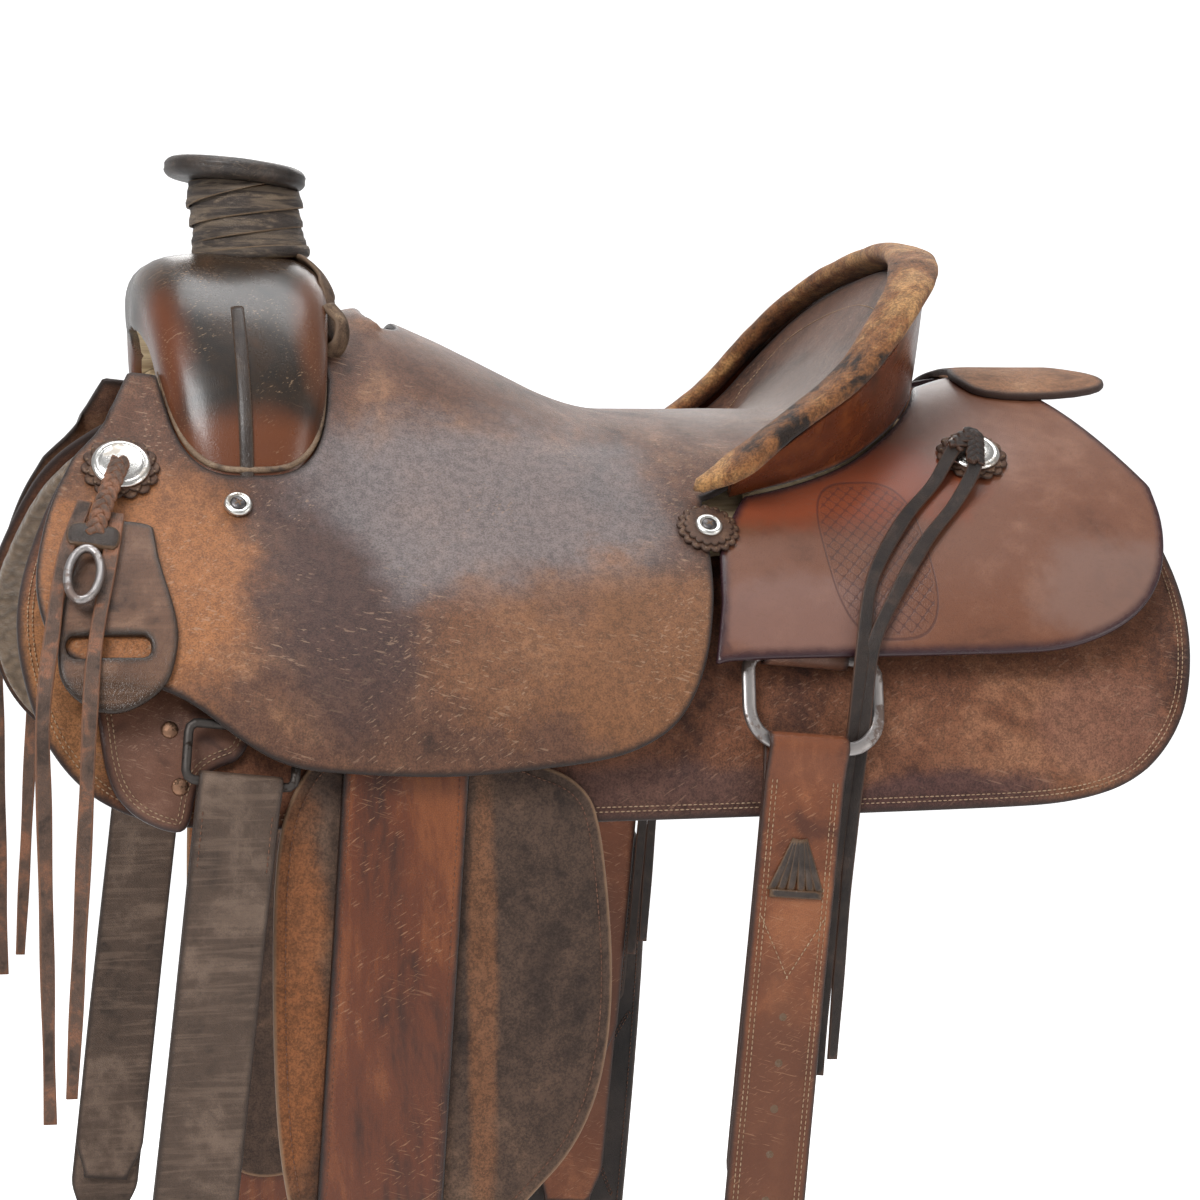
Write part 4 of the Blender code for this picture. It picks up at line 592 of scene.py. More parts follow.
def sweep(name: str, path: Array, section: Array, normal: Array | None = None,
          closed: bool = False, scale: Array | None = None,
          edge_half: float | None = None) -> Item:
    """Sweeps a section along a path.

    Args:
        name: The piece's name.
        path: The points that the section's origin follows.
        section: The section's points as (sideways, up) pairs.
        normal: The upward direction, for all points or for each one.
        closed: True for a ring.
        scale: A (sideways, up) factor for each point.
        edge_half: Half the width of a strap, for the distance from its edge.

    Returns:
        The object, whose UV map runs along and round the sweep.
    """
    _, across, up = frames_along(path, normal, closed)
    size = np.ones((len(path), 2)) if scale is None else scale
    wide, high = section[:, 0][None] * size[:, :1], section[:, 1][None] * size[:, 1:]
    rings = (path[:, None] + across[:, None] * wide[..., None] + up[:, None] * high[..., None])
    run = run_along(path)
    flat = np.stack([np.broadcast_to(wide, rings.shape[:2]),
                     np.broadcast_to(run[:, None], rings.shape[:2])], axis=-1)
    edge = None
    if edge_half is not None:
        edge = np.maximum(edge_half * size[:, :1] - np.abs(wide), 0.0)
        edge = np.minimum(edge, np.minimum(run, run[-1] - run)[:, None] + 0.0 * edge)
    return loft(name, rings, closed=closed, flat=flat, edge=edge)


def strap_section(width: float, thickness: float, across: int = 8) -> Array:
    """The section of a strap with rounded edges, as (sideways, up) points."""
    radius = EDGE_SHARE * thickness
    half, rise = 0.5 * width, 0.5 * thickness
    points = []
    for sign in (1.0, -1.0):
        for x in np.linspace(half - radius, radius - half, across):
            points.append((sign * x, sign * rise))
        for turn in (30.0, 60.0, 90.0, 120.0, 150.0):
            angle = math.radians(turn)
            points.append((-sign * (half - radius + radius * math.sin(angle)),
                           sign * (rise - radius + radius * math.cos(angle)
                                   if turn < 90.0 else
                                   -(rise - radius) + radius * math.cos(angle)
                                   if turn > 90.0 else 0.0)))
    return np.array(points)


def oval(wide: float, high: float, sides: int = 12, power: float = 2.0) -> Array:
    """An oval section, squarer with a higher power, as (sideways, up) points."""
    angle = np.linspace(0.0, 2.0 * math.pi, sides, endpoint=False)
    c, s = np.cos(angle), np.sin(angle)
    bulge = (np.abs(c) ** power + np.abs(s) ** power) ** (-1.0 / power)
    return np.stack([wide * c * bulge, high * s * bulge], axis=1)


def rounded_rectangle(width: float, height: float, corner: float, steps: int = 6) -> Array:
    """A rounded rectangle's points round the origin."""
    points = []
    for quarter, (across, up) in enumerate(((1, 1), (-1, 1), (-1, -1), (1, -1))):
        for step in range(steps + 1):
            angle = 0.5 * math.pi * (quarter + step / steps)
            points.append((across * (0.5 * width - corner) + corner * math.cos(angle),
                           up * (0.5 * height - corner) + corner * math.sin(angle)))
    return np.array(points)


def lathe(name: str, profile: Sequence[Sequence[float]], steps: int, place: Matrix,
          wobble: Callable[[Array, Array], Array] | None = None) -> Item:
    """A shape turned round its frame's Z from (radius, height) points, top to bottom.

    Args:
        name: The piece's name.
        profile: The points, which start and end on the axis.
        steps: The number of points round the axis.
        place: The frame of the shape.
        wobble: A factor on the radius from the angle and the height.

    Returns:
        The closed object.
    """
    inner = np.array(profile[1:-1], float)
    angle = np.linspace(0.0, 2.0 * math.pi, steps, endpoint=False)
    factor = np.ones((len(inner), steps))
    if wobble is not None:
        factor = wobble(angle[None] + 0.0 * inner[:, 1:], inner[:, 1:] + 0.0 * angle[None])
    reach = inner[:, :1] * factor
    points = np.stack([reach * np.cos(angle), reach * np.sin(angle),
                       np.broadcast_to(inner[:, 1:], reach.shape)], axis=-1).reshape(-1, 3)
    points = np.vstack([points, (0.0, 0.0, profile[0][1]), (0.0, 0.0, profile[-1][1])])
    faces = []
    for row in range(len(inner) - 1):
        for index in range(steps):
            after = (index + 1) % steps
            faces.append((row * steps + index, (row + 1) * steps + index,
                          (row + 1) * steps + after, row * steps + after))
    top, low, last = len(points) - 2, len(points) - 1, (len(inner) - 1) * steps
    for index in range(steps):
        after = (index + 1) % steps
        faces.append((top, index, after))
        faces.append((low, last + after, last + index))
    return make_mesh(name, moved(points, place), faces)


def moved(points: Array, place: Matrix) -> Array:
    """Points of a local frame put in the saddle's frame."""
    matrix = np.array(place)
    return (points.reshape(-1, 3) @ matrix[:3, :3].T + matrix[:3, 3]).reshape(points.shape)


def outward_of(place: Matrix) -> Array:
    """The direction of a frame's Z."""
    return np.array(place.col[2].to_3d())


def raised_by(place: Matrix, height: float) -> Matrix:
    """A frame moved along its own Z."""
    return place @ Matrix.Translation((0.0, 0.0, height))


def round_z(reach: Array | float, angle: Array, height: float) -> Array:
    """Points round a frame's Z at one height."""
    return np.stack([reach * np.cos(angle), reach * np.sin(angle),
                     np.full(len(angle), height)], axis=1)


def flat_ring(flat: Array, place: Matrix) -> Array:
    """Flat points laid in the XY plane of a frame."""
    return moved(np.column_stack([flat, np.zeros(len(flat))]), place)


def frame_at(origin: Array, along: Array, normal: Array) -> Matrix:
    """A frame with its Z along a normal and its X as near a direction as can be."""
    z = unit(np.asarray(normal, float))
    x = np.asarray(along, float)
    x = unit(x - z * np.dot(x, z))
    y = np.cross(z, x)
    matrix = np.eye(4)
    matrix[:3, 0], matrix[:3, 1], matrix[:3, 2], matrix[:3, 3] = x, y, z, origin
    return Matrix(matrix.tolist())


def upright_frame(place: Sequence[float], side: Side, tilt: float = 0.0,
                  lean: float = 0.0) -> Matrix:
    """A frame that stands upright on one side: its X runs to the rear and its Y up.

    Args:
        place: The origin as x, distance from the middle and height.
        side: The side of the saddle.
        tilt: The angle by which the top leans inward.
        lean: The angle by which the top leans to the rear.

    Returns:
        The frame.
    """
    across = Vector((math.cos(lean), 0.0, -math.sin(lean)))
    upward = Vector((math.sin(lean) * math.cos(tilt), -side.value * math.sin(tilt),
                     math.cos(lean) * math.cos(tilt)))
    matrix = Matrix((across, upward, across.cross(upward))).transposed().to_4x4()
    matrix.translation = Vector((place[0], side.value * place[1], place[2]))
    return matrix


# Shader nodes
class Graph:
    """Makes and links the nodes of one tree."""

    def __init__(self, tree: bpy.types.NodeTree) -> None:
        """Keeps the tree."""
        self.tree = tree

    def feed(self, socket: Socket, value: object) -> None:
        """Links a socket into another, or sets a constant."""
        if isinstance(value, Socket):
            self.tree.links.new(value, socket)
        elif isinstance(value, tuple) and len(value) == 3 and socket.type == "RGBA":
            socket.default_value = (*value, 1.0)
        else:
            socket.default_value = value

    def node(self, kind: str, inputs: dict | None = None, **settings: object) -> bpy.types.Node:
        """Adds a node.

        Args:
            kind: The node's type.
            inputs: Values or sockets by input name or number.
            settings: The node's own settings.

        Returns:
            The node.
        """
        made = self.tree.nodes.new(kind)
        for key, value in settings.items():
            setattr(made, key, value)
        for key, value in (inputs or {}).items():
            self.feed(made.inputs[key], value)
        return made

    def math(self, operation: str, a: object, b: object = 0.0, clamp: bool = False) -> Socket:
        """A Math node's result."""
        return self.node("ShaderNodeMath", {0: a, 1: b}, operation=operation,
                         use_clamp=clamp).outputs[0]

    def plus(self, a: object, b: object, clamp: bool = False) -> Socket:
        """The sum of two values."""
        return self.math(operation="ADD", a=a, b=b, clamp=clamp)

    def minus(self, a: object, b: object) -> Socket:
        """The difference of two values."""
        return self.math(operation="SUBTRACT", a=a, b=b)

    def times(self, a: object, b: object) -> Socket:
        """The product of two values."""
        return self.math(operation="MULTIPLY", a=a, b=b)

    def vector(self, operation: str, a: object, b: object) -> Socket:
        """A Vector Math node's first result."""
        made = self.node("ShaderNodeVectorMath", {0: a, 1: b}, operation=operation)
        return made.outputs[1 if operation in ("LENGTH", "DISTANCE", "DOT_PRODUCT") else 0]

    def blend(self, share: object, a: object, b: object, mode: str = "MIX") -> Socket:
        """A colour mixed from two."""
        return self.node("ShaderNodeMix", {0: share, 6: a, 7: b}, data_type="RGBA",
                         blend_type=mode).outputs[2]

    def between(self, value: object, low: float, high: float, to_low: float = 0.0,
                to_high: float = 1.0) -> Socket:
        """A value mapped smoothly from one range to another."""
        return self.node("ShaderNodeMapRange", {0: value, 1: low, 2: high, 3: to_low, 4: to_high},
                         interpolation_type="SMOOTHSTEP").outputs[0]

    def noise(self, place: object, scale: object, detail: float = 4.0, rough: float = 0.55,
              bend: float = 0.0) -> Socket:
        """A noise texture's value."""
        return self.node("ShaderNodeTexNoise", {"Vector": place, "Scale": scale,
                         "Detail": detail, "Roughness": rough, "Distortion": bend}).outputs[0]

    def mapped(self, place: object, scale: tuple[float, float, float]) -> Socket:
        """Coordinates scaled along each axis."""
        return self.node("ShaderNodeMapping", {"Vector": place, "Scale": scale}).outputs[0]

    def bump(self, height: object, strength: float, depth: float) -> Socket:
        """The normal of a surface that a height pushes out by up to a depth in metres."""
        return self.node("ShaderNodeBump", {"Height": height, "Strength": strength,
                         "Distance": depth}).outputs[0]

    def camera_sees(self, seen: float, unseen: float) -> Socket:
        """One value for the camera's own rays and another for all others."""
        ray = self.node("ShaderNodeLightPath").outputs["Is Camera Ray"]
        return self.plus(self.times(ray, seen - unseen), unseen)

    def use(self, tree: bpy.types.NodeTree, **values: object) -> dict:
        """Places a shared effect and gives its outputs by name."""
        made = self.node("ShaderNodeGroup", node_tree=tree)
        for label, value in values.items():
            self.feed(made.inputs[label], value)
        return {socket.name: socket for socket in made.outputs}


class Effects:
    """The effects that several materials share, each a shader node group made once."""

    @staticmethod
    def group(name: str, inputs: dict[str, str], outputs: Sequence[str],
              build: Callable[[Graph, dict], dict]) -> bpy.types.NodeTree:
        """Finds or makes a node group.

        Args:
            name: The group's name.
            inputs: The socket type of each input.
            outputs: The names of the outputs, all numbers.
            build: Makes the nodes from the inputs' sockets and gives each output's socket.

        Returns:
            The node tree.
        """
        if name in bpy.data.node_groups:
            return bpy.data.node_groups[name]
        tree = bpy.data.node_groups.new(name, "ShaderNodeTree")
        for label, kind in inputs.items():
            tree.interface.new_socket(label, in_out="INPUT", socket_type=f"NodeSocket{kind}")
        for label in outputs:
            tree.interface.new_socket(label, in_out="OUTPUT", socket_type="NodeSocketFloat")
        graph = Graph(tree)
        entry, leave = graph.node("NodeGroupInput"), graph.node("NodeGroupOutput")
        made = build(graph, {label: entry.outputs[label] for label in inputs})
        for label in outputs:
            graph.feed(leave.inputs[label], made[label])
        return tree

    @staticmethod
    def mottle() -> bpy.types.NodeTree:
        """Cloudy patches of two sizes: where leather has darkened or faded."""
        def build(g: Graph, i: dict) -> dict:
            """The nodes."""
            large = g.noise(i["Place"], i["Scale"], 5.0, 0.62, 0.6)
            fine = g.noise(i["Place"], g.times(i["Scale"], 5.3), 4.0, 0.65)
            value = g.plus(large, g.times(g.minus(fine, 0.5), 0.35))
            away = g.times(g.minus(value, 0.5), i["Contrast"])
            return {"Share": g.plus(away, 0.5, clamp=True)}
        return Effects.group("Mottle", {"Place": "Vector", "Scale": "Float", "Contrast": "Float"},
                             ["Share"], build)

    @staticmethod
    def grain() -> bpy.types.NodeTree:
        """The pebbled pores and creases of a smooth hide."""
        def build(g: Graph, i: dict) -> dict:
            """The nodes."""
            cells = g.node("ShaderNodeTexVoronoi", {"Vector": i["Place"], "Scale": i["Scale"]},
                           feature="DISTANCE_TO_EDGE").outputs[0]
            pebble = g.between(cells, 0.0, 0.14)
            fine = g.noise(i["Place"], g.times(i["Scale"], 2.2), 3.0, 0.6)
            height = g.plus(g.times(pebble, 0.6), g.times(fine, 0.5))
            return {"Height": height, "Pores": g.minus(1.0, pebble)}
        return Effects.group("Hide grain", {"Place": "Vector", "Scale": "Float"},
                             ["Height", "Pores"], build)

    @staticmethod
    def nap() -> bpy.types.NodeTree:
        """The short speckled fibres of rough-out leather and suede."""
        def build(g: Graph, i: dict) -> dict:
            """The nodes."""
            speck = g.noise(i["Place"], i["Scale"], 4.0, 0.75)
            clump = g.noise(i["Place"], g.times(i["Scale"], 0.22), 3.0, 0.6)
            tone = g.plus(g.times(speck, 0.7), g.times(clump, 0.3))
            return {"Height": tone, "Tone": g.between(tone, 0.34, 0.66)}
        return Effects.group("Nap", {"Place": "Vector", "Scale": "Float"},
                             ["Height", "Tone"], build)

    @staticmethod
    def scratches() -> bpy.types.NodeTree:
        """Thin straight scratches in two directions, broken up in patches."""
        def build(g: Graph, i: dict) -> dict:
            """The nodes."""
            total = None
            for turn, seed in ((0.55, 3.1), (-0.3, 7.7)):
                turned = g.node("ShaderNodeMapping", {"Vector": i["Place"],
                                "Location": (seed, 0.37 * seed, 0.0),
                                "Rotation": (0.0, turn, 0.3 * turn)}).outputs[0]
                drawn = g.vector("MULTIPLY", turned, (1.0, 24.0, 34.0))
                streak = g.noise(drawn, g.times(i["Scale"], 2.2), 2.0, 0.5, 0.0)
                thin = g.between(streak, 0.63, 0.68)
                where = g.between(g.noise(turned, i["Scale"], 2.0), 0.46, 0.58)
                part = g.times(thin, where)
                total = part if total is None else g.math("MAXIMUM", total, part)
            return {"Mask": g.times(total, i["Amount"])}
        return Effects.group("Scratches", {"Place": "Vector", "Scale": "Float",
                             "Amount": "Float"}, ["Mask"], build)

    @staticmethod
    def edge_band() -> bpy.types.NodeTree:
        """A band along a sheet's edge, a little uneven."""
        def build(g: Graph, i: dict) -> dict:
            """The nodes."""
            uneven = g.times(g.minus(g.noise(i["Place"], 130.0, 4.0), 0.5), i["Width"])
            reach = g.plus(i["Distance"], g.times(uneven, 0.5))
            share = g.math("DIVIDE", reach, i["Width"])
            return {"Mask": g.minus(1.0, g.between(share, 0.1, 1.3))}
        return Effects.group("Edge band", {"Place": "Vector", "Distance": "Float",
                             "Width": "Float"}, ["Mask"], build)

    @staticmethod
    def stain() -> bpy.types.NodeTree:
        """A soft, ragged patch round a place on the saddle, for stained patches and painted
        highlights.
        """
        def build(g: Graph, i: dict) -> dict:
            """The nodes."""
            away = g.vector("DIVIDE", g.vector("SUBTRACT", i["Place"], i["Centre"]), i["Reach"])
            ragged = g.minus(g.noise(i["Place"], i["Scale"], 6.0, 0.65), 0.5)
            length = g.plus(g.vector("LENGTH", away, (0.0, 0.0, 0.0)),
                            g.times(ragged, i["Ragged"]))
            return {"Mask": g.times(i["Amount"], g.minus(1.0, g.between(length, 0.55, 1.05)))}
        return Effects.group("Stain", {"Place": "Vector", "Centre": "Vector", "Reach": "Vector",
                             "Ragged": "Float", "Scale": "Float", "Amount": "Float"},
                             ["Mask"], build)

    @staticmethod
    def tooling() -> bpy.types.NodeTree:
        """The stippled ground of stamped ornament."""
        def build(g: Graph, i: dict) -> dict:
            """The nodes."""
            dots = g.node("ShaderNodeTexVoronoi", {"Vector": i["Flat"], "Scale": 620.0,
                          "Randomness": 0.7}, voronoi_dimensions="2D").outputs[0]
            stipple = g.between(dots, 0.15, 0.55)
            return {"Height": stipple, "Tone": g.between(dots, 0.1, 0.7)}
        return Effects.group("Tooling", {"Flat": "Vector"}, ["Height", "Tone"], build)


@dataclass(frozen=True)
class Stain:
    """A coloured patch on the saddle: mostly stained spots; the pale grey ones are painted
    highlights.
    """

    centre: tuple[float, float, float]
    reach: tuple[float, float, float]
    colour: Colour
    amount: float = 0.8
    ragged: float = 0.9
    scale: float = 22.0
    shine: float | None = None


def both_sides(*stains_and_highlights: Stain) -> tuple[Stain, ...]:
    """Stained spots and painted highlights of one side, and after them the same ones on the other
    side.
    """
    return stains_and_highlights + tuple(replace(stain, centre=(stain.centre[0], -stain.centre[1],
                                                 stain.centre[2])) for stain in stains_and_highlights)


@dataclass(frozen=True)
class Paint:
    """A procedural finish: its name and the one material that is made from it."""

    name: str

    def material(self) -> bpy.types.Material:
        """Makes the finish's material, or finds it where it is made already.

        Returns:
            The material.
        """
        if self.name in bpy.data.materials:
            return bpy.data.materials[self.name]
        made = bpy.data.materials.new(self.name)
        made.use_nodes = True
        g = Graph(made.node_tree)
        place = g.node("ShaderNodeTexCoord").outputs["Object"]
        for label, value in self.shade(g, place).items():
            g.feed(made.node_tree.nodes["Principled BSDF"].inputs[label], value)
        return made

    def shade(self, g: Graph, place: Socket) -> dict:
        """Makes the finish's nodes.

        Args:
            g: The material's graph.
            place: The coordinates on the piece.

        Returns:
            The values and sockets that go into the shader's inputs.
        """
        raise NotImplementedError


@dataclass(frozen=True)
class Leather(Paint):
    """One leather finish, from suede to polished."""

    dark: Colour
    middle: Colour
    light: Colour
    roughness: float = 0.6
    nap: float = 0.0
    nap_scale: float = 950.0
    grain_scale: float = 700.0
    bump: float = 0.35
    patch_scale: float = 14.0
    contrast: float = 2.2
    edge: Colour = (0.02, 0.01, 0.008)
    edge_width: float = 0.0035
    scratch: Colour | None = None
    scratch_amount: float = 0.5
    scratch_scale: float = 9.0
    coat: float = 0.0
    sheen: float = 0.0
    streaks: float = 0.0
    stains_and_highlights: tuple[Stain, ...] = ()
    tooled: tuple[float, float, float, float] | None = None
    stretch: tuple[float, float, float] = (1.0, 1.0, 1.0)

    def shade(self, g: Graph, place: Socket) -> dict:
        """Patches, pores, stained spots and painted highlights, nap, streaks, scratches, ornament
        and edge, in this order.
        """
        patches = g.use(Effects.mottle(), Place=g.mapped(place, self.stretch),
                        Scale=self.patch_scale, Contrast=self.contrast)["Share"]
        colour = g.blend(g.between(patches, 0.0, 0.5), self.dark, self.middle)
        colour = g.blend(g.between(patches, 0.5, 1.0), colour, self.light)
        rough = g.between(patches, 0.0, 1.0, self.roughness + 0.06, self.roughness - 0.06)
        grain = g.use(Effects.grain(), Place=place, Scale=self.grain_scale)
        height = g.times(grain["Height"], 1.0 - 0.6 * self.nap)
        colour = g.blend(g.times(grain["Pores"], 0.35 * (1.0 - self.nap)), colour, self.dark)
        # Stained spots and painted highlights: each blends its colour in, and some also lower the
        # roughness.
        for stain in self.stains_and_highlights:
            mask = g.use(Effects.stain(), Place=place, Centre=stain.centre, Reach=stain.reach,
                         Ragged=stain.ragged, Scale=stain.scale, Amount=stain.amount)["Mask"]
            colour = g.blend(mask, colour, stain.colour)
            if stain.shine is not None:
                rough = g.node("ShaderNodeMix", {0: mask, 2: rough, 3: stain.shine}).outputs[0]
        if self.nap > 0.0:
            nap = g.use(Effects.nap(), Place=place, Scale=self.nap_scale)
            fibres = g.between(nap["Tone"], 0.0, 1.0, 0.5, 1.55)
            colour = g.blend(0.9 * self.nap, colour, fibres, "MULTIPLY")
            height = g.plus(height, g.times(nap["Height"], 1.4 * self.nap))
        if self.streaks > 0.0:
            wave = g.noise(g.mapped(place, (18.0, 18.0, 260.0)), 1.0, 5.0, 0.6, 0.4)
            share = g.between(wave, 0.46, 0.64)
            colour = g.blend(g.times(share, self.streaks), colour, self.light)
            height = g.plus(height, g.times(wave, 1.2 * self.streaks))
        if self.scratch is not None:
            marks = g.use(Effects.scratches(), Place=place, Scale=self.scratch_scale,
                          Amount=self.scratch_amount)["Mask"]
            colour = g.blend(marks, colour, self.scratch)
            height = g.minus(height, g.times(marks, 0.5))
        if self.tooled is not None:
            colour, height = self.ornament(g, colour, height)
        if self.edge_width > 0.0:
            distance = g.node("ShaderNodeAttribute", attribute_name="edge").outputs["Fac"]
            band = g.use(Effects.edge_band(), Place=place, Distance=distance,
                         Width=self.edge_width)["Mask"]
            colour = g.blend(band, colour, self.edge)
            rough = g.minus(rough, g.times(band, 0.12))
        return {"Base Color": colour, "Roughness": rough,
                "Normal": g.bump(height, self.bump, 0.0012),
                "Coat Weight": self.coat, "Coat Roughness": 0.22,
                "Sheen Weight": self.sheen, "Sheen Roughness": 0.55,
                "Specular IOR Level": 0.38 - 0.16 * self.nap}

    def ornament(self, g: Graph, colour: object, height: object) -> tuple:
        """The stamped basket weave and its border inside the tooled patch.

        Args:
            g: The material's graph.
            colour: The colour so far.
            height: The height so far.

        Returns:
            The colour and the height with the ornament.
        """
        x, arc, wide, high = self.tooled
        flat = g.node("ShaderNodeUVMap", uv_map="pattern").outputs[0]
        flat = g.vector("ABSOLUTE", flat, (0.0, 0.0, 0.0))
        away = g.vector("DIVIDE", g.vector("SUBTRACT", flat, (x, arc, 0.0)), (wide, high, 1.0))
        parts = g.node("ShaderNodeSeparateXYZ", {0: away}).outputs
        reach = g.plus(g.math("POWER", g.math("ABSOLUTE", parts[0]), 3.0),
                       g.math("POWER", g.math("ABSOLUTE", parts[1]), 3.0))
        patch = g.between(reach, 0.92, 1.0, 1.0, 0.0)
        border = g.between(g.math("ABSOLUTE", g.minus(reach, 0.96)), 0.02, 0.07, 1.0, 0.0)
        stamp = g.use(Effects.tooling(), Flat=flat)
        spots = g.node("ShaderNodeSeparateXYZ", {0: flat}).outputs
        rising = g.math("SINE", g.times(g.plus(spots[0], spots[1]), 330.0))
        falling = g.math("SINE", g.times(g.minus(spots[0], spots[1]), 330.0))
        weave = g.math("ABSOLUTE", g.times(rising, falling))
        groove = g.between(weave, 0.06, 0.22, 1.0, 0.0)
        inside = g.between(reach, 0.78, 0.84, 1.0, 0.0)
        lines = g.math("MAXIMUM", g.times(groove, inside), border)
        colour = g.blend(g.times(g.times(patch, stamp["Tone"]), 0.3), colour, self.dark)
        colour = g.blend(g.times(lines, 0.5), colour, self.edge)
        height = g.minus(height, g.times(lines, 1.8))
        dots = g.times(g.minus(stamp["Height"], 1.0), 0.8)
        return colour, g.plus(height, g.times(dots, patch))


@dataclass(frozen=True)
class Metal(Paint):
    """A metal finish with wear, tarnish and small dents."""

    bright: Colour
    tarnish: Colour
    roughness: float = 0.3
    share: float = 0.4
    scale: float = 60.0
    bump: float = 0.15

    def shade(self, g: Graph, place: Socket) -> dict:
        """Tarnish in patches, with scratches through it."""
        patches = g.use(Effects.mottle(), Place=place, Scale=self.scale, Contrast=3.0)["Share"]
        mask = g.between(patches, 1.0 - self.share, 1.1 - 0.5 * self.share)
        marks = g.use(Effects.scratches(), Place=place, Scale=60.0, Amount=0.5)["Mask"]
        rough = g.plus(g.between(mask, 0.0, 1.0, self.roughness, self.roughness + 0.25),
                       g.times(marks, 0.2))
        return {"Base Color": g.blend(mask, self.bright, self.tarnish), "Roughness": rough,
                "Normal": g.bump(g.minus(patches, marks), self.bump, 0.0006),
                "Metallic": 1.0}


@dataclass(frozen=True)
class Wood(Paint):
    """Rawhide-covered or bare wood with its grain along X."""

    dark: Colour
    light: Colour
    roughness: float = 0.6

    def shade(self, g: Graph, place: Socket) -> dict:
        """Growth rings drawn out along the grain."""
        rings = g.noise(g.mapped(place, (6.0, 60.0, 60.0)), 1.6, 6.0, 0.6, 1.4)
        rough = g.between(rings, 0.0, 1.0, self.roughness + 0.1, self.roughness - 0.1)
        return {"Base Color": g.blend(g.between(rings, 0.35, 0.65), self.dark, self.light),
                "Roughness": rough, "Normal": g.bump(rings, 0.3, 0.001)}


@dataclass(frozen=True)
class Fleece(Paint):
    """Woolskin: clumps of short curls, yellowed towards the skin."""

    tip: Colour
    root: Colour

    def shade(self, g: Graph, place: Socket) -> dict:
        """Round curls with fine fibres on them."""
        curls = g.node("ShaderNodeTexVoronoi", {"Vector": place, "Scale": 170.0},
                       feature="SMOOTH_F1").outputs[0]
        fine = g.use(Effects.nap(), Place=place, Scale=620.0)
        height = g.plus(g.minus(1.0, curls), g.times(fine["Height"], 0.6))
        colour = g.blend(g.between(curls, 0.15, 0.75), self.tip, self.root)
        return {"Base Color": g.blend(g.times(fine["Tone"], 0.3), colour, self.tip),
                "Roughness": g.between(fine["Tone"], 0.0, 1.0, 0.98, 0.85),
                "Normal": g.bump(height, 0.8, 0.004), "Sheen Weight": 0.4}


@dataclass(frozen=True)
class Paper(Paint):
    """The plain studio paper, which stays white behind the saddle without lighting it much."""

    glow: float = 0.22
    white: float = 0.75

    def shade(self, g: Graph, place: Socket) -> dict:
        """A plain colour with a glow that only the camera sees in full."""
        return {"Base Color": (0.88, 0.88, 0.88), "Roughness": 1.0, "Specular IOR Level": 0.0,
                "Emission Color": (1.0, 1.0, 1.0),
                "Emission Strength": g.camera_sees(self.white, self.glow)}


def dress(item: Item, finish: Paint) -> Item:
    """Gives a piece its finish's material."""
    item.data.materials.clear()
    item.data.materials.append(finish.material())
    return item


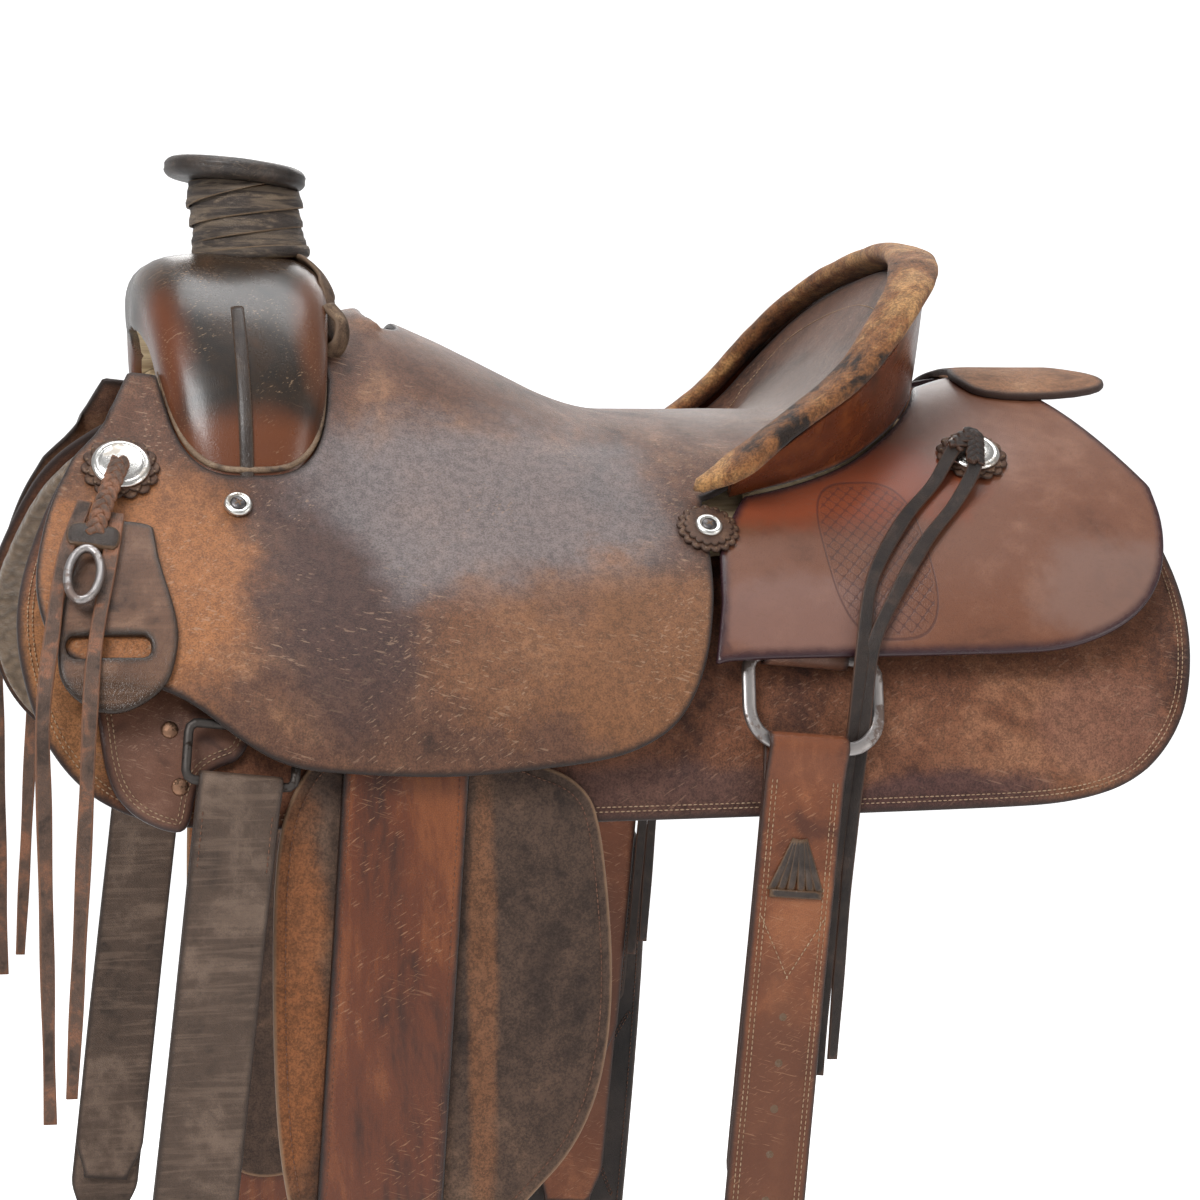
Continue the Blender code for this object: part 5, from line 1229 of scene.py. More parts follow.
# Geometry Nodes for what repeats
class Rows:
    """The trees that set stitches along a line and studs on points."""

    @staticmethod
    def start(name: str, sockets: dict[str, str]) -> tuple[bpy.types.NodeTree, Graph, dict]:
        """A new tree with a geometry going through it.

        Args:
            name: The tree's name.
            sockets: The socket type of each further input.

        Returns:
            The tree, its graph and the input sockets by name.
        """
        tree = bpy.data.node_groups.new(name, "GeometryNodeTree")
        tree.interface.new_socket("Geometry", in_out="INPUT", socket_type="NodeSocketGeometry")
        for label, kind in sockets.items():
            tree.interface.new_socket(label, in_out="INPUT", socket_type=f"NodeSocket{kind}")
        tree.interface.new_socket("Geometry", in_out="OUTPUT", socket_type="NodeSocketGeometry")
        graph = Graph(tree)
        entry = graph.node("NodeGroupInput")
        return tree, graph, {socket.name: socket for socket in entry.outputs if socket.name}

    @staticmethod
    def end(g: Graph, instances: object, material: object) -> None:
        """Realizes the instances, shades them smooth and gives them their material."""
        real = g.node("GeometryNodeRealizeInstances", {0: instances}).outputs[0]
        smooth = g.node("GeometryNodeSetShadeSmooth", {0: real}).outputs[0]
        done = g.node("GeometryNodeSetMaterial", {0: smooth, "Material": material}).outputs[0]
        g.node("NodeGroupOutput", {0: done})

    @staticmethod
    def stitches() -> bpy.types.NodeTree:
        """Stitches along a curve: named inputs for their spacing, size and unevenness."""
        if "Stitch row" in bpy.data.node_groups:
            return bpy.data.node_groups["Stitch row"]
        tree, g, i = Rows.start("Stitch row", {"Spacing": "Float", "Size": "Vector",
                                               "Uneven": "Float", "Seed": "Int",
                                               "Material": "Material"})
        points = g.node("GeometryNodeCurveToPoints", {0: i["Geometry"], "Length": i["Spacing"]},
                        mode="LENGTH")
        turn = g.node("FunctionNodeAlignRotationToVector", {"Vector": points.outputs["Tangent"]},
                      axis="X").outputs[0]
        ball = g.node("GeometryNodeMeshIcoSphere", {"Radius": 0.5, "Subdivisions": 1}).outputs[0]
        chance = g.node("FunctionNodeRandomValue", {"Seed": i["Seed"]}, data_type="FLOAT")
        chance.inputs[2].default_value, chance.inputs[3].default_value = -1.0, 1.0
        factor = g.plus(1.0, g.times(chance.outputs[1], i["Uneven"]))
        size = g.node("ShaderNodeVectorMath", {0: i["Size"], "Scale": factor}, operation="SCALE")
        placed = g.node("GeometryNodeInstanceOnPoints", {
            "Points": points.outputs["Points"], "Instance": ball, "Rotation": turn,
            "Scale": size.outputs[0]}).outputs[0]
        Rows.end(g, placed, i["Material"])
        return tree

    @staticmethod
    def studs() -> bpy.types.NodeTree:
        """Domed studs on points, turned by their "facing" and sized by their "size"."""
        if "Studs" in bpy.data.node_groups:
            return bpy.data.node_groups["Studs"]
        tree, g, i = Rows.start("Studs", {"Height": "Float", "Material": "Material"})
        facing = g.node("GeometryNodeInputNamedAttribute", {"Name": "facing"},
                        data_type="FLOAT_VECTOR").outputs[0]
        size = g.node("GeometryNodeInputNamedAttribute", {"Name": "size"},
                      data_type="FLOAT").outputs[0]
        turn = g.node("FunctionNodeAlignRotationToVector", {"Vector": facing}, axis="Z").outputs[0]
        dome = g.node("GeometryNodeMeshUVSphere", {"Segments": 12, "Rings": 6,
                                                   "Radius": 1.0}).outputs[0]
        flat = g.node("ShaderNodeCombineXYZ", {0: size, 1: size,
                      2: g.times(size, i["Height"])}).outputs[0]
        placed = g.node("GeometryNodeInstanceOnPoints", {
            "Points": i["Geometry"], "Instance": dome, "Rotation": turn,
            "Scale": flat}).outputs[0]
        Rows.end(g, placed, i["Material"])
        return tree

    @staticmethod
    def run(name: str, item: Item, tree: bpy.types.NodeTree, **values: object) -> Item:
        """Runs a tree on an object and keeps the result as a plain mesh.

        Args:
            name: The finished piece's name.
            item: The curve or the points, which is removed.
            tree: The Geometry Nodes tree.
            values: The tree's inputs by name.

        Returns:
            The finished mesh object.
        """
        modifier = item.modifiers.new("rows", "NODES")
        modifier.node_group = tree
        for socket in tree.interface.items_tree:
            if socket.in_out == "INPUT" and socket.name in values:
                modifier[socket.identifier] = values[socket.name]
        graph = bpy.context.evaluated_depsgraph_get()
        mesh = bpy.data.meshes.new_from_object(item.evaluated_get(graph), depsgraph=graph)
        mesh.name = name
        bpy.data.objects.remove(item)
        return new_object(name, mesh)


def stitch_rows(name: str, lines: Sequence[Array], thread: Paint, spacing: float = 0.0036,
                size: tuple[float, float, float] = (0.003, 0.0009, 0.0009),
                closed: bool = False) -> Item:
    """Stitches along lines.

    Args:
        name: The piece's name.
        lines: The lines, each an array of places.
        thread: The thread's finish.
        spacing: The distance from stitch to stitch.
        size: A stitch's length, width and height.
        closed: True if the lines are closed.

    Returns:
        One mesh of all the stitches.
    """
    curve = bpy.data.curves.new(name, "CURVE")
    curve.dimensions = "3D"
    for line in lines:
        strand = curve.splines.new("POLY")
        strand.points.add(len(line) - 1)
        strand.points.foreach_set("co", np.column_stack([line, np.ones(len(line))]).ravel())
        strand.use_cyclic_u = closed
    return Rows.run(name, new_object(name, curve), Rows.stitches(), Spacing=spacing, Size=size,
                    Uneven=0.12, Seed=7, Material=thread.material())


def studs(name: str, places: Array, facing: Array, sizes: Array | float, height: float,
          finish: Paint) -> Item:
    """Domed studs.

    Args:
        name: The piece's name.
        places: One place a row.
        facing: The outward direction of each.
        sizes: Their radii.
        height: The dome's height as a share of its radius.
        finish: Their finish.

    Returns:
        One mesh of all the studs.
    """
    places = np.asarray(places, float)
    mesh = bpy.data.meshes.new(name)
    mesh.from_pydata(places.tolist(), [], [])
    turned = mesh.attributes.new("facing", "FLOAT_VECTOR", "POINT")
    turned.data.foreach_set("vector", np.broadcast_to(facing, places.shape).astype(
        np.float32).ravel())
    radius = mesh.attributes.new("size", "FLOAT", "POINT")
    radius.data.foreach_set("value", np.broadcast_to(sizes, len(places)).astype(np.float32))
    return Rows.run(name, new_object(name, mesh), Rows.studs(), Height=height,
                    Material=finish.material())


def keep(item: Item, body: str, *nodes: str, finish: Paint | None = None, slot: str = "") -> Item:
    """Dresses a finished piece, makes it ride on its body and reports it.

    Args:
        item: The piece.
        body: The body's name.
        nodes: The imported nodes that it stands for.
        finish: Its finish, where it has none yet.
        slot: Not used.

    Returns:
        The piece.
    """
    if finish is not None:
        dress(item, finish)
    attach(item, body)
    if nodes:
        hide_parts(*nodes)
    LOG.info("%s: %d faces on %s", item.name, len(item.data.polygons), body)
    return item


def row_on(surface: Surface, line: Array, lift: float = THREAD_LIFT) -> Array:
    """A flat line laid on a surface and raised by a little."""
    return surface(line[:, 0], line[:, 1]) + normals_of(surface, line[:, 0], line[:, 1]) * lift


# Finishes
class Finish:
    """The saddle's finishes, each used by one or more pieces."""

    SEAT = Leather(
        "seat_rough_out", dark=(0.036, 0.017, 0.012), middle=(0.108, 0.047, 0.027),
        light=(0.225, 0.108, 0.056), roughness=0.43, nap=0.75, nap_scale=820.0, bump=0.34,
        patch_scale=9.0, scratch=(0.4, 0.25, 0.16), scratch_amount=0.45, scratch_scale=9.0,
        edge=(0.022, 0.012, 0.009), edge_width=0.0035, sheen=0.1,
        stains_and_highlights=(
            Stain((-0.228, -0.22, -0.02), (0.08, 0.12, 0.13), (0.046, 0.024, 0.022), 0.7,
                  1.4, 14.0),
            Stain((-0.37, -0.215, -0.03), (0.12, 0.1, 0.13), (0.33, 0.125, 0.04), 0.75,
                  1.2, 16.0),
            # Painted highlight: a pale bluish-grey patch on the seat's near side where the key
            # light shines; its lower roughness also makes it glossier.
            Stain((-0.11, -0.17, 0.02), (0.15, 0.12, 0.09), (0.2, 0.172, 0.17), 0.66,
                  1.1, 12.0, 0.3),
            Stain((-0.127, -0.24, -0.076), (0.05, 0.06, 0.07), (0.2, 0.08, 0.03), 0.42,
                  2.2, 30.0),
            Stain((-0.02, -0.24, -0.08), (0.085, 0.08, 0.09), (0.235, 0.098, 0.038), 0.62,
                  1.8, 24.0),
            Stain((-0.37, 0.215, -0.03), (0.11, 0.1, 0.12), (0.33, 0.135, 0.052), 0.8),
            # Painted highlight: a pale grey patch on the seat's off side; its lower roughness also
            # makes it glossier.
            Stain((-0.1, 0.17, 0.03), (0.15, 0.12, 0.085), (0.17, 0.13, 0.115), 0.5,
                  shine=0.38),
            Stain((0.12, 0.0, 0.085), (0.11, 0.14, 0.06), (0.11, 0.07, 0.054), 0.7,
                  shine=0.34)))
    BEAD = Leather(
        "seat_edge_bead", dark=(0.05, 0.03, 0.02), middle=(0.19, 0.12, 0.072),
        light=(0.32, 0.22, 0.14), roughness=0.5, patch_scale=60.0, edge_width=0.0)
    FORK = Leather(
        "fork_polished", dark=(0.014, 0.009, 0.006), middle=(0.034, 0.019, 0.011),
        light=(0.08, 0.037, 0.018), roughness=0.27, bump=0.13, grain_scale=620.0,
        patch_scale=11.0, contrast=2.6, coat=0.35, edge_width=0.0,
        scratch=(0.46, 0.3, 0.18), scratch_amount=0.35, scratch_scale=14.0,
        stains_and_highlights=both_sides(
            Stain((-0.34, -0.105, 0.1), (0.04, 0.08, 0.1), (0.17, 0.045, 0.014), 0.7, 0.4),
            Stain((-0.275, -0.155, 0.03), (0.1, 0.06, 0.055), (0.18, 0.05, 0.016), 0.7, 0.4)
        ) + (
            Stain((-0.212, -0.1, 0.12), (0.03, 0.08, 0.08), (0.15, 0.048, 0.018), 0.65, 0.4),
        ))
    WELT = Leather(
        "fork_welt", dark=(0.018, 0.011, 0.008), middle=(0.034, 0.021, 0.015),
        light=(0.066, 0.043, 0.031), roughness=0.36, bump=0.3, edge_width=0.0012,
        edge=(0.075, 0.046, 0.03), patch_scale=40.0, coat=0.2)
    HORN_CAP = Leather(
        "horn_cap_leather", dark=(0.018, 0.014, 0.012), middle=(0.038, 0.028, 0.023),
        light=(0.1, 0.068, 0.05), roughness=0.38, bump=0.3, patch_scale=34.0, coat=0.15,
        edge_width=0.0, scratch=(0.22, 0.16, 0.11), scratch_amount=0.5, scratch_scale=25.0)
    HORN_NECK = Leather(
        "horn_neck_leather", dark=(0.07, 0.02, 0.012), middle=(0.15, 0.045, 0.022),
        light=(0.22, 0.08, 0.04), roughness=0.45, edge_width=0.0)
    WRAP = Leather(
        "horn_wrap_hide", dark=(0.026, 0.019, 0.016), middle=(0.062, 0.046, 0.038),
        light=(0.26, 0.19, 0.13), roughness=0.52, bump=0.6, patch_scale=26.0, streaks=0.5,
        edge=(0.24, 0.16, 0.095), edge_width=0.0012, stretch=(1.0, 1.0, 5.0))
    TAIL = Leather(
        "wrap_tail", dark=(0.05, 0.03, 0.02), middle=(0.13, 0.078, 0.048),
        light=(0.3, 0.2, 0.12), roughness=0.7, nap=0.6, bump=0.5, patch_scale=60.0,
        edge=(0.15, 0.095, 0.06), edge_width=0.0012)
    ROLL = Leather(
        "roll_suede", dark=(0.02, 0.011, 0.007), middle=(0.205, 0.08, 0.026),
        light=(0.4, 0.205, 0.075), roughness=0.72, nap=1.0, nap_scale=560.0, bump=0.75,
        patch_scale=17.0, contrast=3.6, edge_width=0.0, sheen=0.15)
    CANTLE_BACK = Leather(
        "cantle_back_polished", dark=(0.03, 0.012, 0.006), middle=(0.125, 0.027, 0.007),
        light=(0.23, 0.06, 0.014), roughness=0.28, bump=0.15, patch_scale=12.0, contrast=2.6,
        coat=0.4, edge_width=0.003)
    JOCKEY = Leather(
        "rear_jockey_leather", dark=(0.082, 0.028, 0.014), middle=(0.178, 0.068, 0.036),
        light=(0.27, 0.125, 0.075), roughness=0.36, bump=0.18, patch_scale=10.0, contrast=1.8,
        edge=(0.035, 0.014, 0.018), edge_width=0.006, coat=0.22,
        scratch=(0.16, 0.08, 0.05), scratch_amount=0.45, scratch_scale=12.0,
        tooled=(0.142, 0.2015, 0.0365, 0.06),
        stains_and_highlights=both_sides(
            Stain((0.12, -0.155, 0.035), (0.13, 0.07, 0.055), (0.25, 0.052, 0.018), 0.85)
        ) + (
            # Painted highlights: two pale pinkish-grey sheen patches on the near rear jockey;
            # their lower roughness also makes them glossier.
            Stain((0.08, -0.24, -0.06), (0.09, 0.08, 0.035), (0.225, 0.13, 0.112), 0.5,
                  shine=0.34),
            Stain((0.305, -0.235, -0.045), (0.07, 0.08, 0.055), (0.235, 0.15, 0.125), 0.5,
                  shine=0.34)))
    COVER = Leather(
        "rear_cover_rough_out", dark=(0.13, 0.052, 0.021), middle=(0.255, 0.112, 0.048),
        light=(0.37, 0.19, 0.092), roughness=0.66, nap=0.8, bump=0.45, patch_scale=16.0,
        edge=(0.04, 0.018, 0.012), edge_width=0.0045, sheen=0.1)
    SKIRT = Leather(
        "skirt_rough_out", dark=(0.05, 0.018, 0.011), middle=(0.15, 0.055, 0.026),
        light=(0.255, 0.11, 0.056), roughness=0.64, nap=0.85, nap_scale=760.0, bump=0.45,
        patch_scale=8.0, contrast=2.8, edge=(0.028, 0.014, 0.011), edge_width=0.0048,
        sheen=0.1, scratch=(0.36, 0.2, 0.13), scratch_amount=0.35, scratch_scale=8.0,
        stains_and_highlights=both_sides(
            Stain((-0.39, -0.225, -0.09), (0.05, 0.09, 0.11), (0.33, 0.14, 0.05), 0.7)
        ) + (
            Stain((-0.02, -0.24, -0.175), (0.12, 0.05, 0.03), (0.075, 0.036, 0.03), 0.8),
            Stain((0.17, -0.24, -0.18), (0.1, 0.05, 0.022), (0.058, 0.026, 0.026), 0.8),
            Stain((0.29, -0.24, -0.135), (0.06, 0.07, 0.045), (0.205, 0.09, 0.058), 0.6),
            Stain((0.05, 0.24, -0.175), (0.19, 0.05, 0.03), (0.08, 0.038, 0.03), 0.8)))
    PLATE = Leather(
        "rigging_plate_leather", dark=(0.07, 0.028, 0.017), middle=(0.15, 0.064, 0.038),
        light=(0.235, 0.118, 0.078), roughness=0.44, bump=0.22, patch_scale=22.0,
        edge=(0.034, 0.015, 0.012), edge_width=0.004, coat=0.1,
        scratch=(0.4, 0.24, 0.16), scratch_amount=0.4, scratch_scale=16.0)
    CARRIER = Leather(
        "latigo_carrier_leather", dark=(0.045, 0.021, 0.012), middle=(0.122, 0.056, 0.03),
        light=(0.205, 0.106, 0.06), roughness=0.46, bump=0.35, patch_scale=26.0, streaks=0.25,
        edge=(0.03, 0.018, 0.012), edge_width=0.004, coat=0.12,
        stains_and_highlights=(
            Stain((-0.372, -0.265, -0.104), (0.045, 0.04, 0.02), (0.06, 0.03, 0.016), 0.85,
                  shine=0.22),
            Stain((-0.371, -0.262, -0.071), (0.033, 0.03, 0.01), (0.3, 0.11, 0.035), 0.5)))
    STRAP = Leather(
        "stirrup_leather_strap", dark=(0.045, 0.012, 0.005), middle=(0.125, 0.03, 0.009),
        light=(0.225, 0.066, 0.02), roughness=0.3, bump=0.2, patch_scale=13.0, contrast=2.6,
        edge=(0.016, 0.008, 0.006), edge_width=0.0045, coat=0.25,
        scratch=(0.34, 0.17, 0.09), scratch_amount=0.6, scratch_scale=12.0,
        stretch=(2.0, 1.0, 0.45))
    LATIGO = Leather(
        "latigo_weathered", dark=(0.034, 0.021, 0.015), middle=(0.088, 0.054, 0.037),
        light=(0.19, 0.126, 0.09), roughness=0.56, bump=0.5, patch_scale=18.0, streaks=0.42,
        edge=(0.04, 0.024, 0.017), edge_width=0.0032)
    BILLET = Leather(
        "rear_billet_leather", dark=(0.085, 0.024, 0.01), middle=(0.19, 0.056, 0.02),
        light=(0.31, 0.108, 0.042), roughness=0.45, bump=0.3, patch_scale=15.0, contrast=2.4,
        edge=(0.04, 0.018, 0.012), edge_width=0.003, coat=0.1,
        scratch=(0.42, 0.22, 0.12), scratch_amount=0.45, scratch_scale=15.0,
        stains_and_highlights=both_sides(
            Stain((0.06, -0.252, -0.4), (0.06, 0.03, 0.14), (0.11, 0.036, 0.016), 0.75)))
    FENDER = Leather(
        "fender_rough_out", dark=(0.026, 0.015, 0.011), middle=(0.07, 0.04, 0.027),
        light=(0.14, 0.078, 0.048), roughness=0.62, nap=0.85, nap_scale=700.0, bump=0.5,
        patch_scale=10.0, contrast=2.6, edge=(0.26, 0.15, 0.085), edge_width=0.0022,
        sheen=0.08,
        stains_and_highlights=both_sides(
            Stain((-0.262, -0.243, -0.3), (0.03, 0.04, 0.17), (0.25, 0.085, 0.026), 0.75),
            Stain((-0.138, -0.243, -0.3), (0.012, 0.04, 0.19), (0.21, 0.085, 0.036), 0.6)))
    STRING = Leather(
        "string_leather_worn", dark=(0.045, 0.026, 0.018), middle=(0.11, 0.062, 0.042),
        light=(0.26, 0.11, 0.058), roughness=0.52, bump=0.45, patch_scale=45.0, contrast=2.6,
        edge=(0.19, 0.08, 0.04), edge_width=0.0012)
    REAR_STRING = Leather(
        "rear_string_leather", dark=(0.012, 0.008, 0.007), middle=(0.027, 0.017, 0.013),
        light=(0.062, 0.036, 0.026), roughness=0.46, bump=0.4, patch_scale=40.0,
        edge=(0.075, 0.036, 0.022), edge_width=0.001)
    KEEPER = Leather(
        "dark_keeper", dark=(0.022, 0.015, 0.012), middle=(0.048, 0.033, 0.026),
        light=(0.095, 0.064, 0.048), roughness=0.42, bump=0.4, patch_scale=60.0,
        edge_width=0.0011, edge=(0.14, 0.08, 0.045))
    ROSETTE = Leather(
        "rosette_leather", dark=(0.038, 0.017, 0.01), middle=(0.092, 0.043, 0.024),
        light=(0.19, 0.102, 0.058), roughness=0.5, bump=0.4, patch_scale=70.0,
        edge=(0.05, 0.024, 0.014), edge_width=0.0014)
    CINCH = Leather(
        "flank_cinch_leather", dark=(0.012, 0.009, 0.008), middle=(0.028, 0.019, 0.016),
        light=(0.06, 0.04, 0.031), roughness=0.5, bump=0.35, patch_scale=14.0,
        edge=(0.06, 0.036, 0.026), edge_width=0.003)
    STIRRUP = Leather(
        "stirrup_covering", dark=(0.06, 0.026, 0.014), middle=(0.135, 0.058, 0.03),
        light=(0.23, 0.12, 0.07), roughness=0.45, bump=0.3, patch_scale=26.0,
        edge_width=0.0, scratch=(0.4, 0.26, 0.16), scratch_amount=0.6, scratch_scale=20.0)
    GROUND = Leather(
        "ground_seat_leather", dark=(0.12, 0.06, 0.035), middle=(0.2, 0.11, 0.065),
        light=(0.3, 0.18, 0.11), roughness=0.6, edge_width=0.0)
    THREAD = Leather(
        "waxed_thread", dark=(0.22, 0.13, 0.075), middle=(0.42, 0.28, 0.17),
        light=(0.58, 0.42, 0.28), roughness=0.6, grain_scale=2600.0, patch_scale=120.0,
        edge_width=0.0)
    DARK_THREAD = Leather(
        "brown_thread", dark=(0.08, 0.035, 0.022), middle=(0.17, 0.075, 0.045),
        light=(0.26, 0.13, 0.08), roughness=0.6, grain_scale=2600.0, patch_scale=120.0,
        edge_width=0.0)
    WOOL = Fleece("woolskin", tip=(0.22, 0.15, 0.095), root=(0.09, 0.058, 0.034))
    RAWHIDE = Wood("rawhide_tree", dark=(0.34, 0.24, 0.14), light=(0.58, 0.45, 0.28))
    SILVER = Metal("concho_silver", (0.83, 0.8, 0.76), (0.45, 0.4, 0.35), roughness=0.24,
                   share=0.35, scale=50.0)
    FERRULE = Metal("ferrule_white_metal", (0.78, 0.76, 0.72), (0.3, 0.26, 0.22),
                    roughness=0.28, share=0.35, scale=110.0)
    SCREW = Metal("screw_dark_steel", (0.12, 0.11, 0.11), (0.05, 0.035, 0.03), roughness=0.4,
                  share=0.5, scale=160.0)
    STEEL = Metal("dee_steel", (0.4, 0.37, 0.36), (0.21, 0.16, 0.14), roughness=0.42,
                  share=0.45, scale=45.0, bump=0.25)
    IRON = Metal("ring_worn_iron", (0.085, 0.074, 0.068), (0.04, 0.028, 0.022), roughness=0.55,
                 share=0.5, scale=60.0, bump=0.3)
    COPPER = Metal("copper_rivet", (0.34, 0.19, 0.12), (0.12, 0.07, 0.045), roughness=0.44,
                   share=0.45, scale=150.0, bump=0.3)
    BRASS = Metal("cinch_buckle_brass", (0.52, 0.42, 0.24), (0.2, 0.15, 0.1), roughness=0.4,
                  share=0.5, scale=60.0)


# How far the seat leather climbs the fork's foot at its cut edge
ROUND_FORK = 0.0042


# The fork and the horn
@dataclass
class ForkAndHorn:
    """The fork's leather cover with its welts, and the horn with its wound wrap."""

    top_z: float = 0.179
    front_x: float = -0.33
    stock: float = 0.122
    half_width: float = 0.156
    top_thickness: float = 0.07
    growth: float = 0.0046
    sides: int = 56
    squareness: float = 3.4
    profile: tuple = (
        (0.0, 1.0, 0.0), (0.23, 0.985, 0.0), (0.44, 0.915, 0.004),
        (0.64, 0.775, 0.01), (0.8, 0.59, 0.017), (0.91, 0.39, 0.026),
        (0.97, 0.2, 0.038), (0.995, 0.03, 0.05), (0.99, -0.15, 0.058))
    base_x: float = -0.251
    lean: float = math.radians(5.0)
    waist_radius: float = 0.029
    base_radius: float = 0.033
    neck_height: float = 0.066
    cap_radius: float = 0.0495
    cap_thickness: float = 0.0145
    cap_tilt: float = math.radians(6.0)
    cap_x: float = -0.2605
    cap_z: float = 0.2465
    wrap_thickness: float = 0.0026
    wrap_centre: float = 0.006
    wrap_lean: float = 0.22
    wrap_width: float = 0.0185
    wrap_turns: float = 3.6
    wrap_pitch: float = 0.013
    wrap_foot: float = 0.0066
    wrap_base_z: float = 0.004
    turn_steps: int = 72

    def rings(self, growth: float | None = None) -> Array:
        """The cover's rings along the arch, from the near foot to the off foot."""
        growth = self.growth if growth is None else growth
        half = list(self.profile)
        whole = [(-w, h, d) for w, h, d in reversed(half[1:])] + half
        line = spline(whole, 0.026)
        angle = 2.0 * math.pi * (np.arange(self.sides) + 0.5) / self.sides
        c, s = np.cos(angle), np.sin(angle)
        square = self.squareness
        bulge = (np.abs(c) ** square + np.abs(s) ** square) ** (-1.0 / square)
        rings = []
        for w, h, draw in line:
            inward = np.array([0.0, -math.copysign(min(1.0, abs(w) * 1.1), w),
                               -max(0.12, 1.0 - abs(w) * 0.95)])
            inward /= np.linalg.norm(inward)
            thickness = self.top_thickness - 0.016 * abs(w)
            centre = np.array([0.0, w * self.half_width, h * self.top_z])
            centre = centre + 0.5 * thickness * inward
            low = self.front_x + 0.55 * draw
            high = self.front_x + self.stock - 0.62 * draw
            centre[0] = 0.5 * (low + high)
            reach, rise = 0.5 * (high - low) + growth, 0.5 * thickness + growth
            rings.append(centre + np.outer(reach * c * bulge, (1.0, 0.0, 0.0))
                         - np.outer(rise * s * bulge, inward))
        return np.array(rings)

    @staticmethod
    def over(points: Array, layer: Layer) -> tuple[Array, Array]:
        """How far points stand over a layer, and their arcs from the crest."""
        x, y, z = points[..., 0], points[..., 1], points[..., 2] - BARREL.centre_z
        angle = np.arctan2(np.abs(y), z)
        for _ in range(12):
            angle = np.arctan2(np.abs(y), z - BARREL.rise(x, angle))
        reach = np.hypot(y, z - BARREL.rise(x, angle))
        return reach - BARREL.radius - layer(angle), np.copysign(angle * BARREL.radius, y)

    def seat_cut(self) -> Array:
        """The line on the off side where the cover goes under the seat leather.

        Returns:
            The flat (x, arc) points from behind the fork, round its foot, to its front.
        """
        rings = self.rings(self.growth + 0.001)
        rings = rings[len(rings) // 2:]
        found = []
        for index in range(self.sides // 2):
            lane = rings[:, index]
            gap, arc = self.over(lane, Layers.jockey)
            above = np.nonzero(gap > ROUND_FORK)[0]
            if not len(above) or above[-1] + 1 >= len(lane):
                continue
            last = above[-1]
            share = (gap[last] - ROUND_FORK) / (gap[last] - gap[last + 1])
            found.append((lane[last, 0] + (lane[last + 1, 0] - lane[last, 0]) * share,
                          arc[last] + (arc[last + 1] - arc[last]) * share))
        return np.array(found)

    def cover(self) -> Item:
        """The fork's leather, pressed onto the bars where it meets them."""
        rings = self.rings()
        gap, arc = self.over(rings, Layers.bar)
        low = gap < 0.0008
        angle = np.abs(arc) / BARREL.radius
        lifted = BARREL.radius + Layers.bar(angle) + 0.0008
        y = np.copysign(lifted * np.sin(angle), rings[..., 1])
        z = BARREL.centre_z + lifted * np.cos(angle) + BARREL.rise(rings[..., 0], angle)
        rings[..., 1] = np.where(low, y, rings[..., 1])
        rings[..., 2] = np.where(low, z, rings[..., 2])
        dents = noise(rings.reshape(-1, 3), 0.035, 3).reshape(rings.shape[:2])
        middle = rings.mean(axis=1, keepdims=True)
        rings += unit(rings - middle) * (0.0006 * dents)[..., None] * (~low)[..., None]
        return loft("fork_cover_leather", rings)

    def welts(self) -> Item:
        """The raised strips over the seams on both faces of the swells."""
        rings = self.rings()
        made = []
        for side in Side:
            half = rings[len(rings) // 2:] if side is Side.OFF else rings[len(rings) // 2::-1]
            share = np.linspace(0.0, 1.0, len(half))
            part = half[(share > 0.4) & (share < 0.93)]
            index = self.sides // 4
            path = resample(0.5 * (part[:, index] + part[:, index - 1]), BAR_STEP, closed=False)
            middle = resample(part.mean(axis=1), BAR_STEP, closed=False)
            count = min(len(path), len(middle))
            path, middle = path[:count], middle[:count]
            path[:, 0] = path[:, 0] - 0.004
            made.append(sweep("welt", path, oval(0.0046, 0.002, 14, 2.6), path - middle,
                              edge_half=0.0046))
        return join("fork_welts", made)

    def horn_frame(self) -> Matrix:
        """The frame at the horn's foot with its Z up the neck."""
        return Matrix.Translation((self.base_x, 0.0, self.top_z)) @ Matrix.Rotation(
            -self.lean, 4, "Y")

    def cap_frame(self) -> Matrix:
        """The frame at the middle of the cap's top."""
        return Matrix.Translation((self.cap_x, 0.0, self.cap_z)) @ Matrix.Rotation(
            self.cap_tilt, 4, "Y")

    def neck_radius(self, height: Array) -> Array:
        """The neck's radius, widest at its foot and under the cap."""
        share = height / self.neck_height
        return self.waist_radius + (self.base_radius - self.waist_radius) * (2 * share - 1) ** 2

    def cap(self) -> Item:
        """The leather-covered cap with its rolled rim, seam groove and worn top."""
        rim, radius = 0.5 * self.cap_thickness, self.cap_radius
        profile = [(0.0, 0.0006), (0.01, 0.0006), (0.02, 0.0003), (0.03, -0.0002),
                   (0.036, -0.0008), (radius - rim - 0.0015, -0.0006)]
        for turn in range(0, 181, 12):
            angle = math.radians(turn)
            out = radius - rim + rim * math.sin(angle)
            if 80 <= turn <= 100:
                out -= 0.0006
            profile.append((out, -rim + rim * math.cos(angle)))
        profile += [(0.03, -self.cap_thickness), (0.0, -self.cap_thickness)]
        return lathe("horn_cap_leather", profile, self.turn_steps, self.cap_frame(),
                     lambda angle, height: 1.0 + 0.006 * np.sin(3 * angle + 1)
                     + 0.004 * np.sin(7 * angle))

    def neck(self) -> Item:
        """The thin leather under the wrap, seen between it and the cap."""
        heights = np.linspace(0.062, -0.004, 18)
        profile = [(0.0, 0.05)]
        profile += [(float(self.neck_radius(h)) + 0.0009, float(h)) for h in heights]
        profile += [(0.0, -0.004)]
        item = lathe("horn_neck_leather", profile, 48, self.horn_frame())
        self.press(item, 0.0002)
        return item

